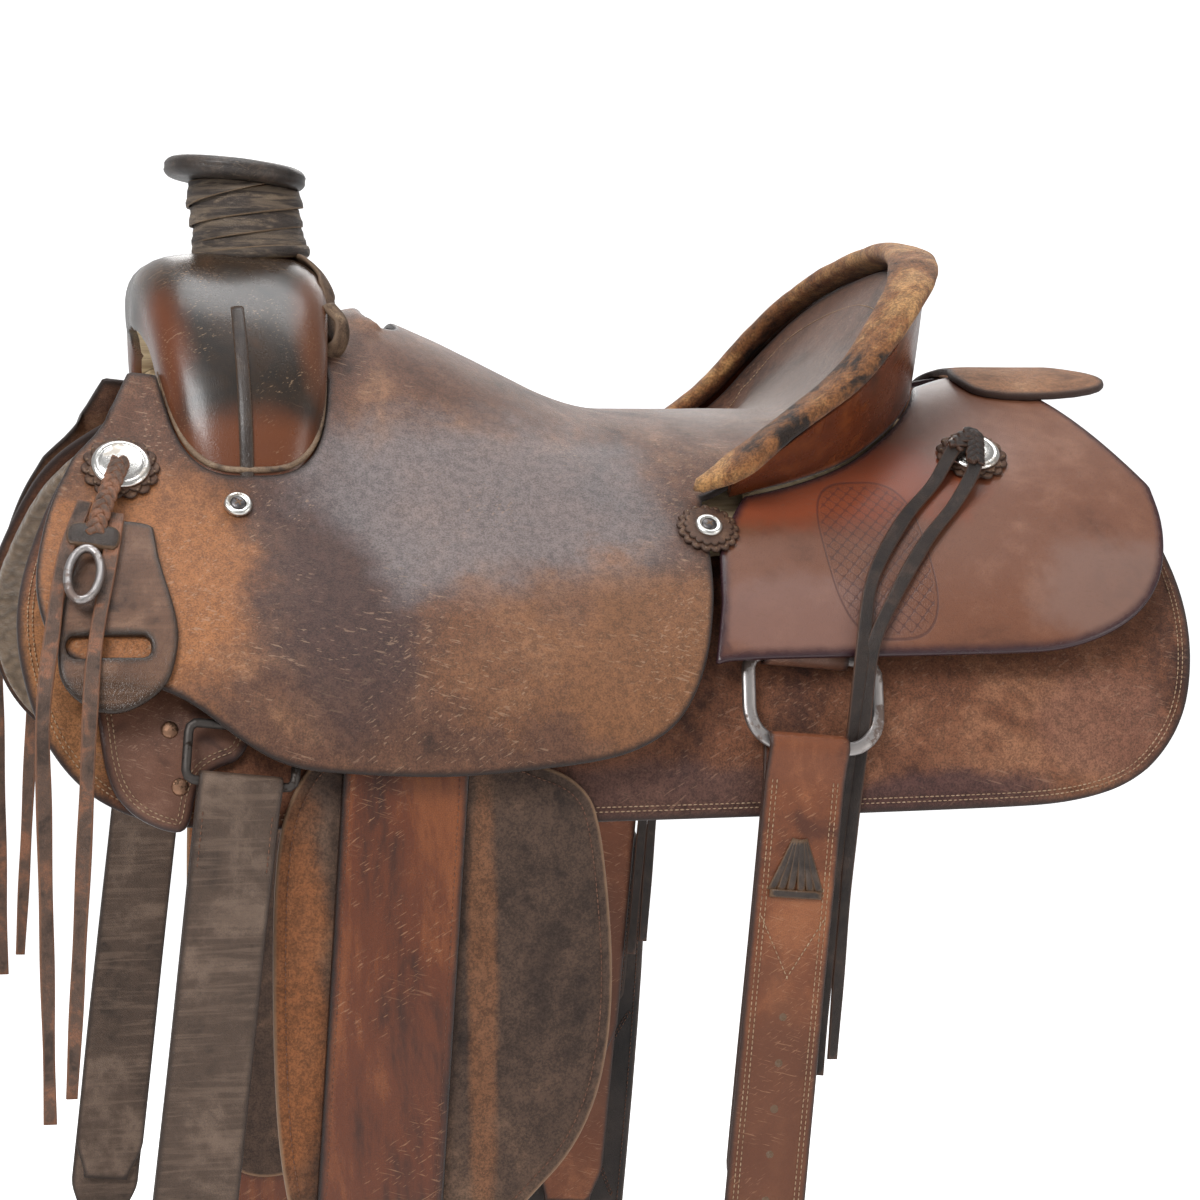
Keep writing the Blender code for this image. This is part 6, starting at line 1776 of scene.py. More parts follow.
    def press(self, item: Item, gap: float) -> None:
        """Presses what reaches over the cap's lower face back under it."""
        place = self.cap_frame()
        origin, normal = place @ Vector((0.0, 0.0, -self.cap_thickness)), place.col[2].to_3d()
        for vert in item.data.vertices:
            over = (vert.co - origin).dot(normal) + gap
            if over > 0.0:
                vert.co -= normal * over

    def wrap(self) -> Item:
        """The hide strip wound round the neck, with creases pressed in by ropes."""
        count = int(self.wrap_turns * self.turn_steps)
        place = self.horn_frame()
        section = strap_section(self.wrap_width, self.wrap_thickness, 7)
        rings = []
        for index in range(count + 1):
            share = index / count
            angle = 2.0 * math.pi * index / self.turn_steps + 1.2
            height = self.wrap_foot + self.wrap_pitch * index / self.turn_steps
            taper = min(1.0, 0.35 + 8.0 * min(share, 1.0 - share))
            radius = float(self.neck_radius(height)) + 0.0013 + self.wrap_centre
            radius += 0.0009 * math.sin(3.1 * angle) * math.sin(0.7 * angle + 1.0)
            up, out = section[:, 0], section[:, 1] * (0.75 + 0.25 * taper)
            crease = 0.0007 * np.sin(up / self.wrap_width * 17.0 + 0.9 * math.sin(angle * 2.3))
            reach = radius + out - self.wrap_lean * up + np.where(out > 0.0, 0.5 * crease, 0.0)
            ring = np.stack([reach * math.cos(angle), reach * math.sin(angle),
                             height + up * taper], axis=1)
            rings.append(moved(ring, place))
        edge = np.broadcast_to(0.5 * self.wrap_width - np.abs(section[:, 0]),
                               (count + 1, len(section)))
        item = loft("horn_wrap_hide", np.array(rings), edge=edge.copy())
        self.press(item, 0.0004)
        return item

    def base_ring(self) -> Item:
        """The wrap's flared first turn, pressed down on the fork."""
        angle = np.linspace(0.0, 2.0 * math.pi, self.turn_steps, endpoint=False)
        reach = self.base_radius + 0.0058 + 0.0005 * np.sin(3.0 * angle)
        path = moved(round_z(reach, angle, self.wrap_base_z), self.horn_frame())
        centre = moved(np.array([[0.0, 0.0, self.wrap_base_z]]), self.horn_frame())
        return sweep("horn_wrap_base", path, oval(0.0046, 0.0036, 14, 2.4), path - centre,
                     closed=True, edge_half=0.0046)

    def tail(self) -> Item:
        """The wrap's rough end, drawn down behind the fork, with its tucked knot."""
        rings = self.rings(self.growth + 0.0016)
        half = rings[len(rings) // 2::-1]
        share = np.linspace(0.0, 1.0, len(half))
        path = []
        for where, turn in ((0.02, 0.17), (0.1, 0.14), (0.18, 0.1), (0.27, 0.06),
                            (0.36, 0.02), (0.43, 0.01)):
            ring = half[int(np.argmin(np.abs(share - where)))]
            path.append(ring[int(turn * self.sides)])
        path = spline(path, 0.003)
        middle = np.array([-0.27, -0.02, 0.12])
        width = 1.0 + 0.18 * noise(np.linspace(0, 1, len(path))[:, None], 0.05, 5)
        strip = sweep("tail", path, oval(0.0085, 0.002, 16, 3.0), path - middle,
                      scale=np.stack([width, 0.8 + 0.2 * width], axis=1), edge_half=0.0085)
        knot = path[-2] + np.array([0.004, -0.003, 0.006])
        bump = sweep("tail_knot", spline([knot + (-0.004, 0.004, 0.016), knot + (0.004, -0.002,
                     0.004), knot + (0.002, -0.006, -0.01), knot + (-0.006, -0.004, -0.018)],
                     0.002), oval(0.0075, 0.0026, 14, 2.4), knot - middle, edge_half=0.0075)
        return join("horn_wrap_tail", [strip, bump])

    def build(self) -> None:
        """Makes all the pieces and dresses them."""
        keep(self.cover(), "saddle", "fork_cover", finish=Finish.FORK)
        keep(self.welts(), "saddle", finish=Finish.WELT, slot="fork_cover")
        keep(self.cap(), "saddle", "horn_cap", finish=Finish.HORN_CAP)
        keep(self.neck(), "saddle", finish=Finish.HORN_NECK, slot="horn_wrap")
        keep(self.wrap(), "saddle", "horn_wrap", finish=Finish.WRAP)
        keep(self.base_ring(), "saddle", finish=Finish.WRAP, slot="horn_wrap")
        keep(self.tail(), "saddle", finish=Finish.TAIL, slot="horn_wrap")


# The seat and the cantle
@dataclass
class SeatAndCantle:
    """The one-piece seat leather, the roll on the rim and the leather on the cantle's back."""

    fork: ForkAndHorn
    thickness: float = 0.0045
    reach: float = 0.105
    hub_x: float = 0.105
    roll_width: float = 0.0345
    roll_thickness: float = 0.015
    roll_overhang: float = 0.0045
    hole: tuple[float, float, float] = (-0.1655, 0.024, 0.07)
    rim_points: tuple = (
        (0.028, 0.16, 0.016), (0.056, 0.1665, 0.033), (0.1, 0.1665, 0.065),
        (0.133, 0.164, 0.091), (0.158, 0.156, 0.1195), (0.182, 0.133, 0.1485),
        (0.198, 0.095, 0.167), (0.209, 0.05, 0.178), (0.214, 0.0, 0.183))
    seam_points: tuple = (
        (0.03, 0.16), (0.061, 0.153), (0.098, 0.144), (0.132, 0.13), (0.158, 0.113),
        (0.186, 0.088), (0.206, 0.06), (0.219, 0.03), (0.223, 0.0))
    side_outline: tuple = (
        (0.0275, -0.01), (0.025, -0.03), (0.022, -0.049), (0.01, -0.09),
        (-0.01, -0.124), (-0.036, -0.14), (-0.064, -0.148), (-0.116, -0.153),
        (-0.167, -0.156), (-0.237, -0.151), (-0.265, -0.146), (-0.292, -0.13),
        (-0.325, -0.102), (-0.36, -0.09), (-0.392, -0.08), (-0.406, -0.068),
        (-0.413, -0.044), (-0.412, -0.02), (-0.402, 0.01), (-0.385, 0.03))
    front_corner: tuple = ((-0.362, 31.0), (-0.345, 23.0))
    rim: Array = field(init=False)

    def __post_init__(self) -> None:
        """Smooths the rim from the near ear over the top to the off ear."""
        near = [(x, -y, z) for x, y, z in self.rim_points[:-1]]
        self.rim = spline(near + list(self.rim_points[::-1]), CURVE_STEP)

    def surface(self, x: Array, arc: Array) -> Array:
        """The seat's upper face, raised to the rim in the cantle's dish."""
        points = BARREL.place(x, arc, Layers.jockey)
        flat = points.reshape(-1, 3)
        start, end = self.rim[:-1], self.rim[1:]
        run = (end - start)[:, :2]
        length = (run ** 2).sum(axis=1)
        for low in range(0, len(flat), 3000):
            block = flat[low:low + 3000]
            away = block[:, None, :2] - start[None, :, :2]
            share = np.clip((away * run).sum(axis=2) / length, 0.0, 1.0)
            near = start[None, :, :2] + share[..., None] * run
            gap = np.linalg.norm(block[:, None, :2] - near, axis=2)
            best = gap.argmin(axis=1)
            rows = np.arange(len(block))
            distance, part = gap[rows, best], share[rows, best]
            height = start[best, 2] + (end - start)[best, 2] * part
            spot = near[rows, best]
            outward = ((block[:, 0] - spot[:, 0]) * (spot[:, 0] - self.hub_x)
                       + (block[:, 1] - spot[:, 1]) * spot[:, 1])
            reach = np.where(outward <= 0.0, self.reach, 0.004)
            nearness = np.maximum(0.0, 1.0 - distance / reach) ** 1.7
            lift = np.where((block[:, 0] > self.rim[0, 0] - self.reach)
                            & (height > block[:, 2]), (height - block[:, 2]) * nearness, 0.0)
            block[:, 2] += lift
        return flat.reshape(points.shape)

    def cut_line(self) -> Array:
        """The seat's edge round the fork on the off side, from the crest to the front."""
        found = self.fork.seat_cut()
        crest = [(found[0, 0] + 0.0005, 0.0)]
        front = math.radians(20.0) * BARREL.radius
        last = max(i for i in range(len(found)) if found[i, 1] > front)
        return resample(round_off(np.vstack([crest, found[:last + 1]]), 1, closed=False),
                        0.004, closed=False)

    def outline(self) -> Array:
        """The seat's whole flat pattern."""
        side = [(x, BARREL.arc_at(z, Layers.jockey)) for x, z in self.side_outline]
        side = side[:1] + round_off(np.array(side[1:]), 3, closed=False).tolist()
        front = [(x, math.radians(a) * BARREL.radius) for x, a in self.front_corner]
        lower = round_off(np.array(list(reversed(front)) + side[::-1]), 2, closed=False)
        rim = []
        for x, y, _ in self.rim[len(self.rim) // 2:][::-1]:
            x, y = x - 0.003, y * (1.0 - 0.003 / 0.1665)
            if x > 0.03:
                rim.append((x, BARREL.arc_at(abs(y), Layers.jockey, width=True)))
        off = np.vstack([self.cut_line(), lower, rim[::-1] if rim[0][1] < rim[-1][1] else rim])
        off = off[off[:, 1] > 0.0004]
        crest_front = [(self.cut_line()[0, 0], 0.0)]
        crest_rear = [(self.rim_points[-1][0] - 0.003, 0.0)]
        near = off[::-1] * (1.0, -1.0)
        return np.vstack([crest_front, off, crest_rear, near])

    def hand_hole(self) -> Array:
        """The hand hole's flat outline."""
        x, length, width = self.hole
        return rounded_rectangle(length, width, 0.42 * length, 6) + (x, 0.0)

    def seat(self) -> Item:
        """The seat leather, with the soft dips that riding has left."""
        def sag(x: Array, arc: Array, gap: Array) -> Array:
            """Small waves of the leather."""
            flat = np.stack([x, arc], axis=1)
            wave = 0.001 * noise(flat, 0.075, 2) + 0.0003 * noise(flat, 0.018, 4)
            climb = ROUND_FORK * (1.0 - smoothstep(gap / 0.022)) * (x < -0.17) * (
                np.abs(arc) < 0.215) * (x > -0.36)
            return wave * np.clip(gap / 0.02, 0.0, 1.0) + climb
        return Panel("seat_leather_hide", self.outline(), self.surface, self.thickness,
                     [self.hand_hole()], grid=0.0065, lift=sag).build()

    def beads(self) -> Item:
        """The raised light edge round the fork and round the hand hole."""
        made = []
        for side in Side:
            line = inset_open(self.cut_line(), 0.0022) * (1.0, side.value)
            path = row_on(self.surface, line, 0.0006 + ROUND_FORK)
            made.append(sweep("bead", path, oval(0.0021, 0.0019, 10),
                              normals_of(self.surface, line[:, 0], line[:, 1])))
        return join("seat_edge_bead", made)

    def dish_stitches(self) -> Item:
        """The thin stitched line inside the roll."""
        rim = self.rim[6:-6]
        toward = unit(np.stack([self.hub_x - rim[:, 0], -rim[:, 1]], axis=1)) * 0.021
        x, y = rim[:, 0] + toward[:, 0], rim[:, 1] + toward[:, 1]
        arc = np.array([math.copysign(BARREL.arc_at(abs(v), Layers.jockey, width=True), v)
                        for v in y])
        line = resample(np.stack([x, arc], axis=1), LINE_STEP, closed=False)
        return stitch_rows("dish_stitches", [row_on(self.surface, line, 0.0004)], Finish.THREAD)

    def roll(self) -> Item:
        """The roll, which leans out over the cantle's back and tapers at the ears."""
        step = 0.005
        rim = resample(self.rim, step, closed=False)
        count = len(rim)
        along = unit(np.gradient(rim, axis=0))
        outward = np.stack([rim[:, 0] - self.hub_x, rim[:, 1], 0.0 * rim[:, 0]], axis=1)
        outward = unit(outward - along * (outward * along).sum(axis=1, keepdims=True))
        upward = unit(np.cross(along, outward))
        upward *= np.where(upward[:, 2:] < 0.0, -1.0, 1.0)
        section = oval(1.0, 1.0, 30, 2.6)
        rings = []
        for index in range(count):
            from_end = min(index, count - 1 - index)
            end = from_end * step / 0.04
            lean = math.radians(8.0 + 26.0 * (1.0 - float(smoothstep(0.5 * end))))
            c, s = math.cos(lean), math.sin(lean)
            out = outward[index] * c - upward[index] * s
            up = outward[index] * s + upward[index] * c
            taper = 0.3 + 0.7 * float(smoothstep(end))
            close = min(1.0, 0.25 + 2.2 * from_end * step / 0.012)
            gap = 0.0006 + 0.0034 * (1.0 - float(smoothstep(end)))
            wide = 0.5 * self.roll_width * taper
            high = 0.5 * self.roll_thickness * (0.45 + 0.55 * taper)
            centre = rim[index] + out * self.roll_overhang * taper + up * (high + gap)
            rings.append(centre + np.outer(section[:, 0] * wide * close, out)
                         + np.outer(section[:, 1] * high * close, up))
        rings = np.array(rings)
        middle = rings.mean(axis=1, keepdims=True)
        lumps = noise(rings.reshape(-1, 3), 0.022, 6) + 0.5 * noise(rings.reshape(-1, 3), 0.009, 8)
        rings += unit(rings - middle) * (0.0007 * lumps).reshape(rings.shape[:2])[..., None]
        return loft("cheyenne_roll_suede", rings)

    def back(self) -> Item:
        """The polished leather on the cantle's back."""
        off = spline(self.seam_points, CURVE_STEP)
        places = np.vstack([off[:-1] * (1.0, -1.0), off[::-1]])
        places = resample(places, CURVE_STEP, closed=False)
        arc = np.array([BARREL.arc_at(abs(y), Layers.jockey, width=True) for y in places[:, 1]])
        feet = BARREL.place(places[:, 0], np.copysign(arc, places[:, 1]), Layers.jockey)
        feet = resample(feet + (0.0, 0.0, 0.0009), CURVE_STEP, closed=False)
        share = np.linspace(0.0, 1.0, 90)
        line = [np.stack([np.interp(share, np.linspace(0, 1, len(p)), p[:, k])
                          for k in range(3)], axis=1) for p in (self.rim, feet)]
        top, foot = line[0][3:-3], line[1][3:-3]
        inward = unit(np.stack([self.hub_x - top[:, 0], -top[:, 1], 0.0 * top[:, 0]], axis=1))
        top = top + (0.0, 0.0, 0.0025) - inward * 0.009
        grid = np.array([top + (foot - top) * part - inward * 0.008 * part * (1.0 - part)
                         for part in np.linspace(0.0, 1.0, 12)])
        return shell("cantle_back_leather", grid, np.array([self.hub_x, 0.0, 0.1]), 0.0015, 0.0035)

    def build(self) -> None:
        """Makes all the pieces and dresses them."""
        keep(self.seat(), "saddle", "seat_leather", finish=Finish.SEAT)
        keep(self.beads(), "saddle", finish=Finish.BEAD, slot="seat_leather")
        keep(self.dish_stitches(), "saddle", slot="seat_leather")
        keep(self.roll(), "saddle", "cheyenne_roll", finish=Finish.ROLL)
        keep(self.back(), "saddle", "cantle_back", finish=Finish.CANTLE_BACK)


def inset_open(line: Array, distance: float) -> Array:
    """An open flat line moved to its left by a distance."""
    along = unit(np.gradient(line, axis=0))
    return line + np.stack([-along[:, 1], along[:, 0]], axis=1) * distance


def shell(name: str, grid: Array, hub: Array, gap: float, thickness: float) -> Item:
    """A closed sheet over a grid of points.

    Args:
        name: The piece's name.
        grid: Rows of points.
        hub: A point on the sheet's inner side.
        gap: How far its inner face stands off the grid.
        thickness: The sheet's thickness.

    Returns:
        The object with its faces outward.
    """
    rows, columns = grid.shape[:2]
    down, across = np.gradient(grid, axis=0), np.gradient(grid, axis=1)
    normal = unit(np.cross(down, across))
    if ((grid - hub) * normal).sum() < 0.0:
        normal = -normal
    flip = (np.cross(down, across) * normal).sum() < 0.0
    count = rows * columns
    outer, inner = grid + normal * (gap + thickness), grid + normal * gap
    points = np.vstack([outer.reshape(-1, 3), inner.reshape(-1, 3)])
    faces = []
    for r in range(rows - 1):
        for c in range(columns - 1):
            a = r * columns + c
            quad = (a, a + columns, a + columns + 1, a + 1)
            faces.append(quad[::-1] if flip else quad)
            under = tuple(v + count for v in quad)
            faces.append(under if flip else under[::-1])
    border = ([(0, c) for c in range(columns)] + [(r, columns - 1) for r in range(1, rows)]
              + [(rows - 1, c) for c in range(columns - 2, -1, -1)]
              + [(r, 0) for r in range(rows - 2, 0, -1)])
    loop = [r * columns + c for r, c in border]
    for a, b in zip(loop, loop[1:] + loop[:1]):
        wall = (a, b, b + count, a + count)
        faces.append(wall if flip else wall[::-1])
    row = np.indices((rows, columns))[0]
    gaps = np.minimum(row, rows - 1 - row).ravel() * 0.006
    return make_mesh(name, points, faces, edge=np.concatenate([gaps, gaps]))


def waves(amount: float, size: float, seed: int, fade: float = 0.0,
          base: float = 0.0) -> Callable[[Array, Array, Array], Array]:
    """How far a sheet's slight warps lift it.

    Args:
        amount: Their height in metres.
        size: Their width in metres.
        seed: Picks another pattern.
        fade: The distance from the edge within which they fade out.
        base: What is added everywhere.

    Returns:
        The lift for the places and their distances from the edge.
    """
    def lift(x: Array, arc: Array, gap: Array) -> Array:
        """The lift at flat points."""
        wave = amount * noise(np.stack([x, arc], axis=1), size, seed)
        return base + (wave * smoothstep(gap / fade) if fade else wave)
    return lift


# The skirts, the rear jockeys and the cover over their joint
@dataclass
class SkirtsAndJockeys:
    """The large side leathers behind and below the seat."""

    skirt_thickness: float = 0.005
    wool_thickness: float = 0.012
    jockey_thickness: float = 0.0042
    cover_thickness: float = 0.005
    stitch_depths: tuple[float, float] = (0.0066, 0.0096)
    lining_inset: float = 0.004
    lining_hub: tuple[float, float] = (-0.03, 60.0)
    hub_x: float = 0.105
    jockey_edge_offset: float = 0.0062
    part: float = 0.012
    skirt_outline: tuple = (
        (-0.35, 0.03), (-0.385, 0.018), (-0.405, -0.002), (-0.42, -0.03),
        (-0.426, -0.069), (-0.416, -0.118), (-0.396, -0.153), (-0.362, -0.178),
        (-0.31, -0.189), (-0.06, -0.19), (0.214, -0.189), (0.271, -0.186),
        (0.313, -0.173), (0.345, -0.138), (0.36, -0.094), (0.367, -0.05),
        (0.364, -0.01), (0.345, 0.018))
    skirt_top: tuple = ((0.335, 24.0), (0.3, 17.0), (0.1, 16.0), (-0.25, 16.0), (-0.315, 20.0))
    jockey_outline: tuple = (
        (0.027, -0.05), (0.016, -0.0885), (0.031, -0.085), (0.214, -0.085),
        (0.264, -0.083), (0.311, -0.066), (0.34, -0.04), (0.356, -0.005),
        (0.356, 0.02))
    jockey_top: tuple = ((0.3, 0.06), (0.262, 0.012))
    jockey_corner: tuple[float, float] = (0.0345, -0.012)
    cover_outline: tuple = (
        (0.262, 0.0), (0.25, 0.044), (0.262, 0.084), (0.348, 0.078), (0.37, 0.052),
        (0.338, 0.015))

    def skirt_line(self, side: Side) -> Array:
        """The skirt's rough outline on its layer."""
        low = BARREL.pattern(self.skirt_outline, Layers.skirt, side)
        return np.vstack([low, BARREL.pattern(self.skirt_top, Layers.skirt, side, True)])

    def skirt(self, side: Side) -> None:
        """The skirt with its two rows of stitches and its woolskin."""
        line = round_off(self.skirt_line(side), 3)

        def wave(x: Array, arc: Array, gap: Array) -> Array:
            """The skirt's free edge has warped a little with age."""
            flat = np.stack([x, arc], axis=1)
            low = smoothstep((np.abs(arc) - 0.36) / 0.05)
            return 0.0006 * noise(flat, 0.08, 11) * (0.4 + low) + 0.0008 * low

        surface = on_layer(Layers.skirt)
        keep(Panel(f"{side.label}_skirt_hide", line, surface, self.skirt_thickness,
                   grid=0.0075, lift=wave).build(), "saddle", f"{side.label}_skirt",
             finish=Finish.SKIRT)
        rows = [row_on(surface, inset(resample(line, LINE_STEP), depth), 0.001)
                for depth in self.stitch_depths]
        keep(stitch_rows(f"{side.label}_skirt_stitches", rows, Finish.THREAD, closed=True),
             "saddle", slot=f"{side.label}_skirt")
        x, degrees = self.lining_hub
        middle = np.array([x, side.value * math.radians(degrees) * BARREL.radius])
        rough = self.skirt_line(side)
        trimmed = rough + unit(middle - rough) * self.lining_inset

        def curls(flat_x: Array, arc: Array, gap: Array) -> Array:
            """The wool's uneven thickness, all of it away from the skirt."""
            flat = np.stack([flat_x, arc], axis=1)
            return -0.0012 + 0.001 * noise(flat, 0.012, 5) + 0.0009 * noise(flat, 0.005, 9)

        keep(Panel(f"{side.label}_woolskin", round_off(trimmed, 3), on_layer(Layers.lining),
                   self.wool_thickness, grid=0.0065, step=0.0045, lift=curls).build(), "saddle",
             f"{side.label}_skirt_lining", finish=Finish.WOOL)

    def jockey(self, side: Side, seams: Sequence[Sequence[float]]) -> None:
        """A rear jockey, cut round the cantle's back."""
        low = BARREL.pattern(self.jockey_outline, Layers.jockey, side)
        low = np.vstack([low[:1], round_off(low[1:], 3, closed=False)])
        top = [(x, side.value * BARREL.arc_at(y, Layers.jockey, width=True))
               for x, y in self.jockey_top]
        edge = []
        for x, y in seams[-2:0:-1]:
            away = unit(np.array([x - self.hub_x, y])) * self.jockey_edge_offset
            out = max(self.part, y + away[1])
            edge.append((x + away[0], side.value * BARREL.arc_at(out, Layers.jockey, True)))
        edge = round_off(np.array(edge), 2, closed=False)
        corner = BARREL.pattern([self.jockey_corner], Layers.jockey, side)
        outline = np.vstack([low, top, edge, corner])

        keep(Panel(f"{side.label}_rear_jockey_hide", outline, on_layer(Layers.jockey),
                   self.jockey_thickness, grid=0.0075, step=0.0035,
                   lift=waves(0.0006, 0.09, 21, 0.02)).build(),
             "saddle", f"{side.label}_rear_jockey", finish=Finish.JOCKEY)

    def cover(self) -> None:
        """The swallow-tailed piece over the joint of the rear jockeys."""
        points = [(x, BARREL.arc_at(y, Layers.cover, width=True) if y else 0.0)
                  for x, y in self.cover_outline]
        outline = np.array(points + [(x, -arc) for x, arc in reversed(points[1:])])

        def curl(x: Array, arc: Array, gap: Array) -> Array:
            """The tails have curled up a little."""
            return 0.0004 * smoothstep((x - 0.31) / 0.06)

        keep(Panel("rear_joint_cover_hide", round_off(outline, 2), on_layer(Layers.cover),
                   self.cover_thickness, step=0.003, grid=0.005, lift=curl).build(), "saddle",
             "rear_joint_cover", finish=Finish.COVER)

    def build(self, seams: Sequence[Sequence[float]]) -> None:
        """Makes all the pieces of both sides."""
        for side in Side:
            self.skirt(side)
            self.jockey(side, seams)
        self.cover()


@dataclass
class StrapFold:
    """A doubled strap whose fold goes round a bar and whose plies hang side by side."""

    name: str
    frame: Matrix
    bar_radius: float
    ply: float
    width: float
    lengths: tuple[float, float]
    side: Side
    flip: bool = False
    taper: float = 0.0
    wave: float = 0.0006
    clearance: float = CLEARANCE

    def place(self, across: Array, out: Array, up: Array) -> Array:
        """Points of the strap's own frame put in the saddle's frame."""
        points = np.stack([across, up, np.asarray(out) * -self.side.value], axis=-1)
        return moved(points.reshape(-1, 3), self.frame).reshape(points.shape)

    def line(self) -> Array:
        """The strap's middle line as (out, up) from the inner ply's end to the outer's."""
        inner = self.bar_radius + self.clearance
        reach, rest = inner + 0.5 * self.ply, 0.5 * (self.clearance + self.ply)
        neck = 2.6 * (inner + self.ply)
        turn = np.linspace(math.pi, 0.0, 15)
        arc = np.stack([reach * np.cos(turn), reach * np.sin(turn)], axis=1)
        inner_ply = np.array([(-rest, -self.lengths[1]), (-rest, -neck)])
        outer_ply = np.array([(rest, -neck), (rest, -self.lengths[0])])
        return resample(np.vstack([inner_ply, arc, outer_ply]), 0.005, closed=False)

    def build(self) -> Item:
        """Makes the strap with its rounded edges."""
        line = self.line()
        run = run_along(line)
        waves = self.wave * np.sin(run * 31.0 + 0.8) * smoothstep(-line[:, 1] / 0.12)
        line[:, 0] += np.where(line[:, 0] > 0.0, np.abs(waves), -np.abs(waves) * 0.3)
        if self.flip:
            line[:, 1] = -line[:, 1]
        path = self.place(0.0 * run, line[:, 0], line[:, 1])
        tangent = unit(np.gradient(line, axis=0))
        normal = self.place(0.0 * run, -tangent[:, 1], tangent[:, 0])
        normal = normal - self.place(np.zeros(1), np.zeros(1), np.zeros(1))
        ends = np.minimum(run, run[-1] - run)
        wide = 1.0 - self.taper * smoothstep(1.0 - ends / 0.03)
        wide = wide + 0.008 * np.sin(run * 23.0)
        scale = np.stack([wide, np.ones(len(run))], axis=1)
        return sweep(self.name, path, strap_section(self.width, self.ply, 10), normal,
                     scale=scale, edge_half=0.5 * self.width)

    def face(self, across: Sequence[float], up: Sequence[float], lift: float = 0.0) -> Array:
        """Points on the outer ply's outer face."""
        across, up = np.asarray(across, float), np.asarray(up, float)
        out = self.clearance * 0.5 + self.ply + lift
        run_up = np.abs(up) + self.lengths[1] + 0.02
        wave = self.wave * np.abs(np.sin(run_up * 31.0 + 0.8)) * smoothstep(-up / 0.12)
        return self.place(across, out + wave, up)

    def outward(self) -> Array:
        """The direction away from the saddle."""
        ends = self.place(np.zeros(2), np.array([0.0, 1.0]), np.zeros(2))
        return ends[1] - ends[0]

    def rows(self, inset_from_edge: float, start: float, end: float) -> list[Array]:
        """Stitching lines down both edges of the outer ply."""
        up = np.arange(-start, -end, -0.004)
        half = 0.5 * self.width - inset_from_edge
        return [self.face(0.0 * up + sign * half, up, STRAP_THREAD_LIFT) for sign in (-1.0, 1.0)]


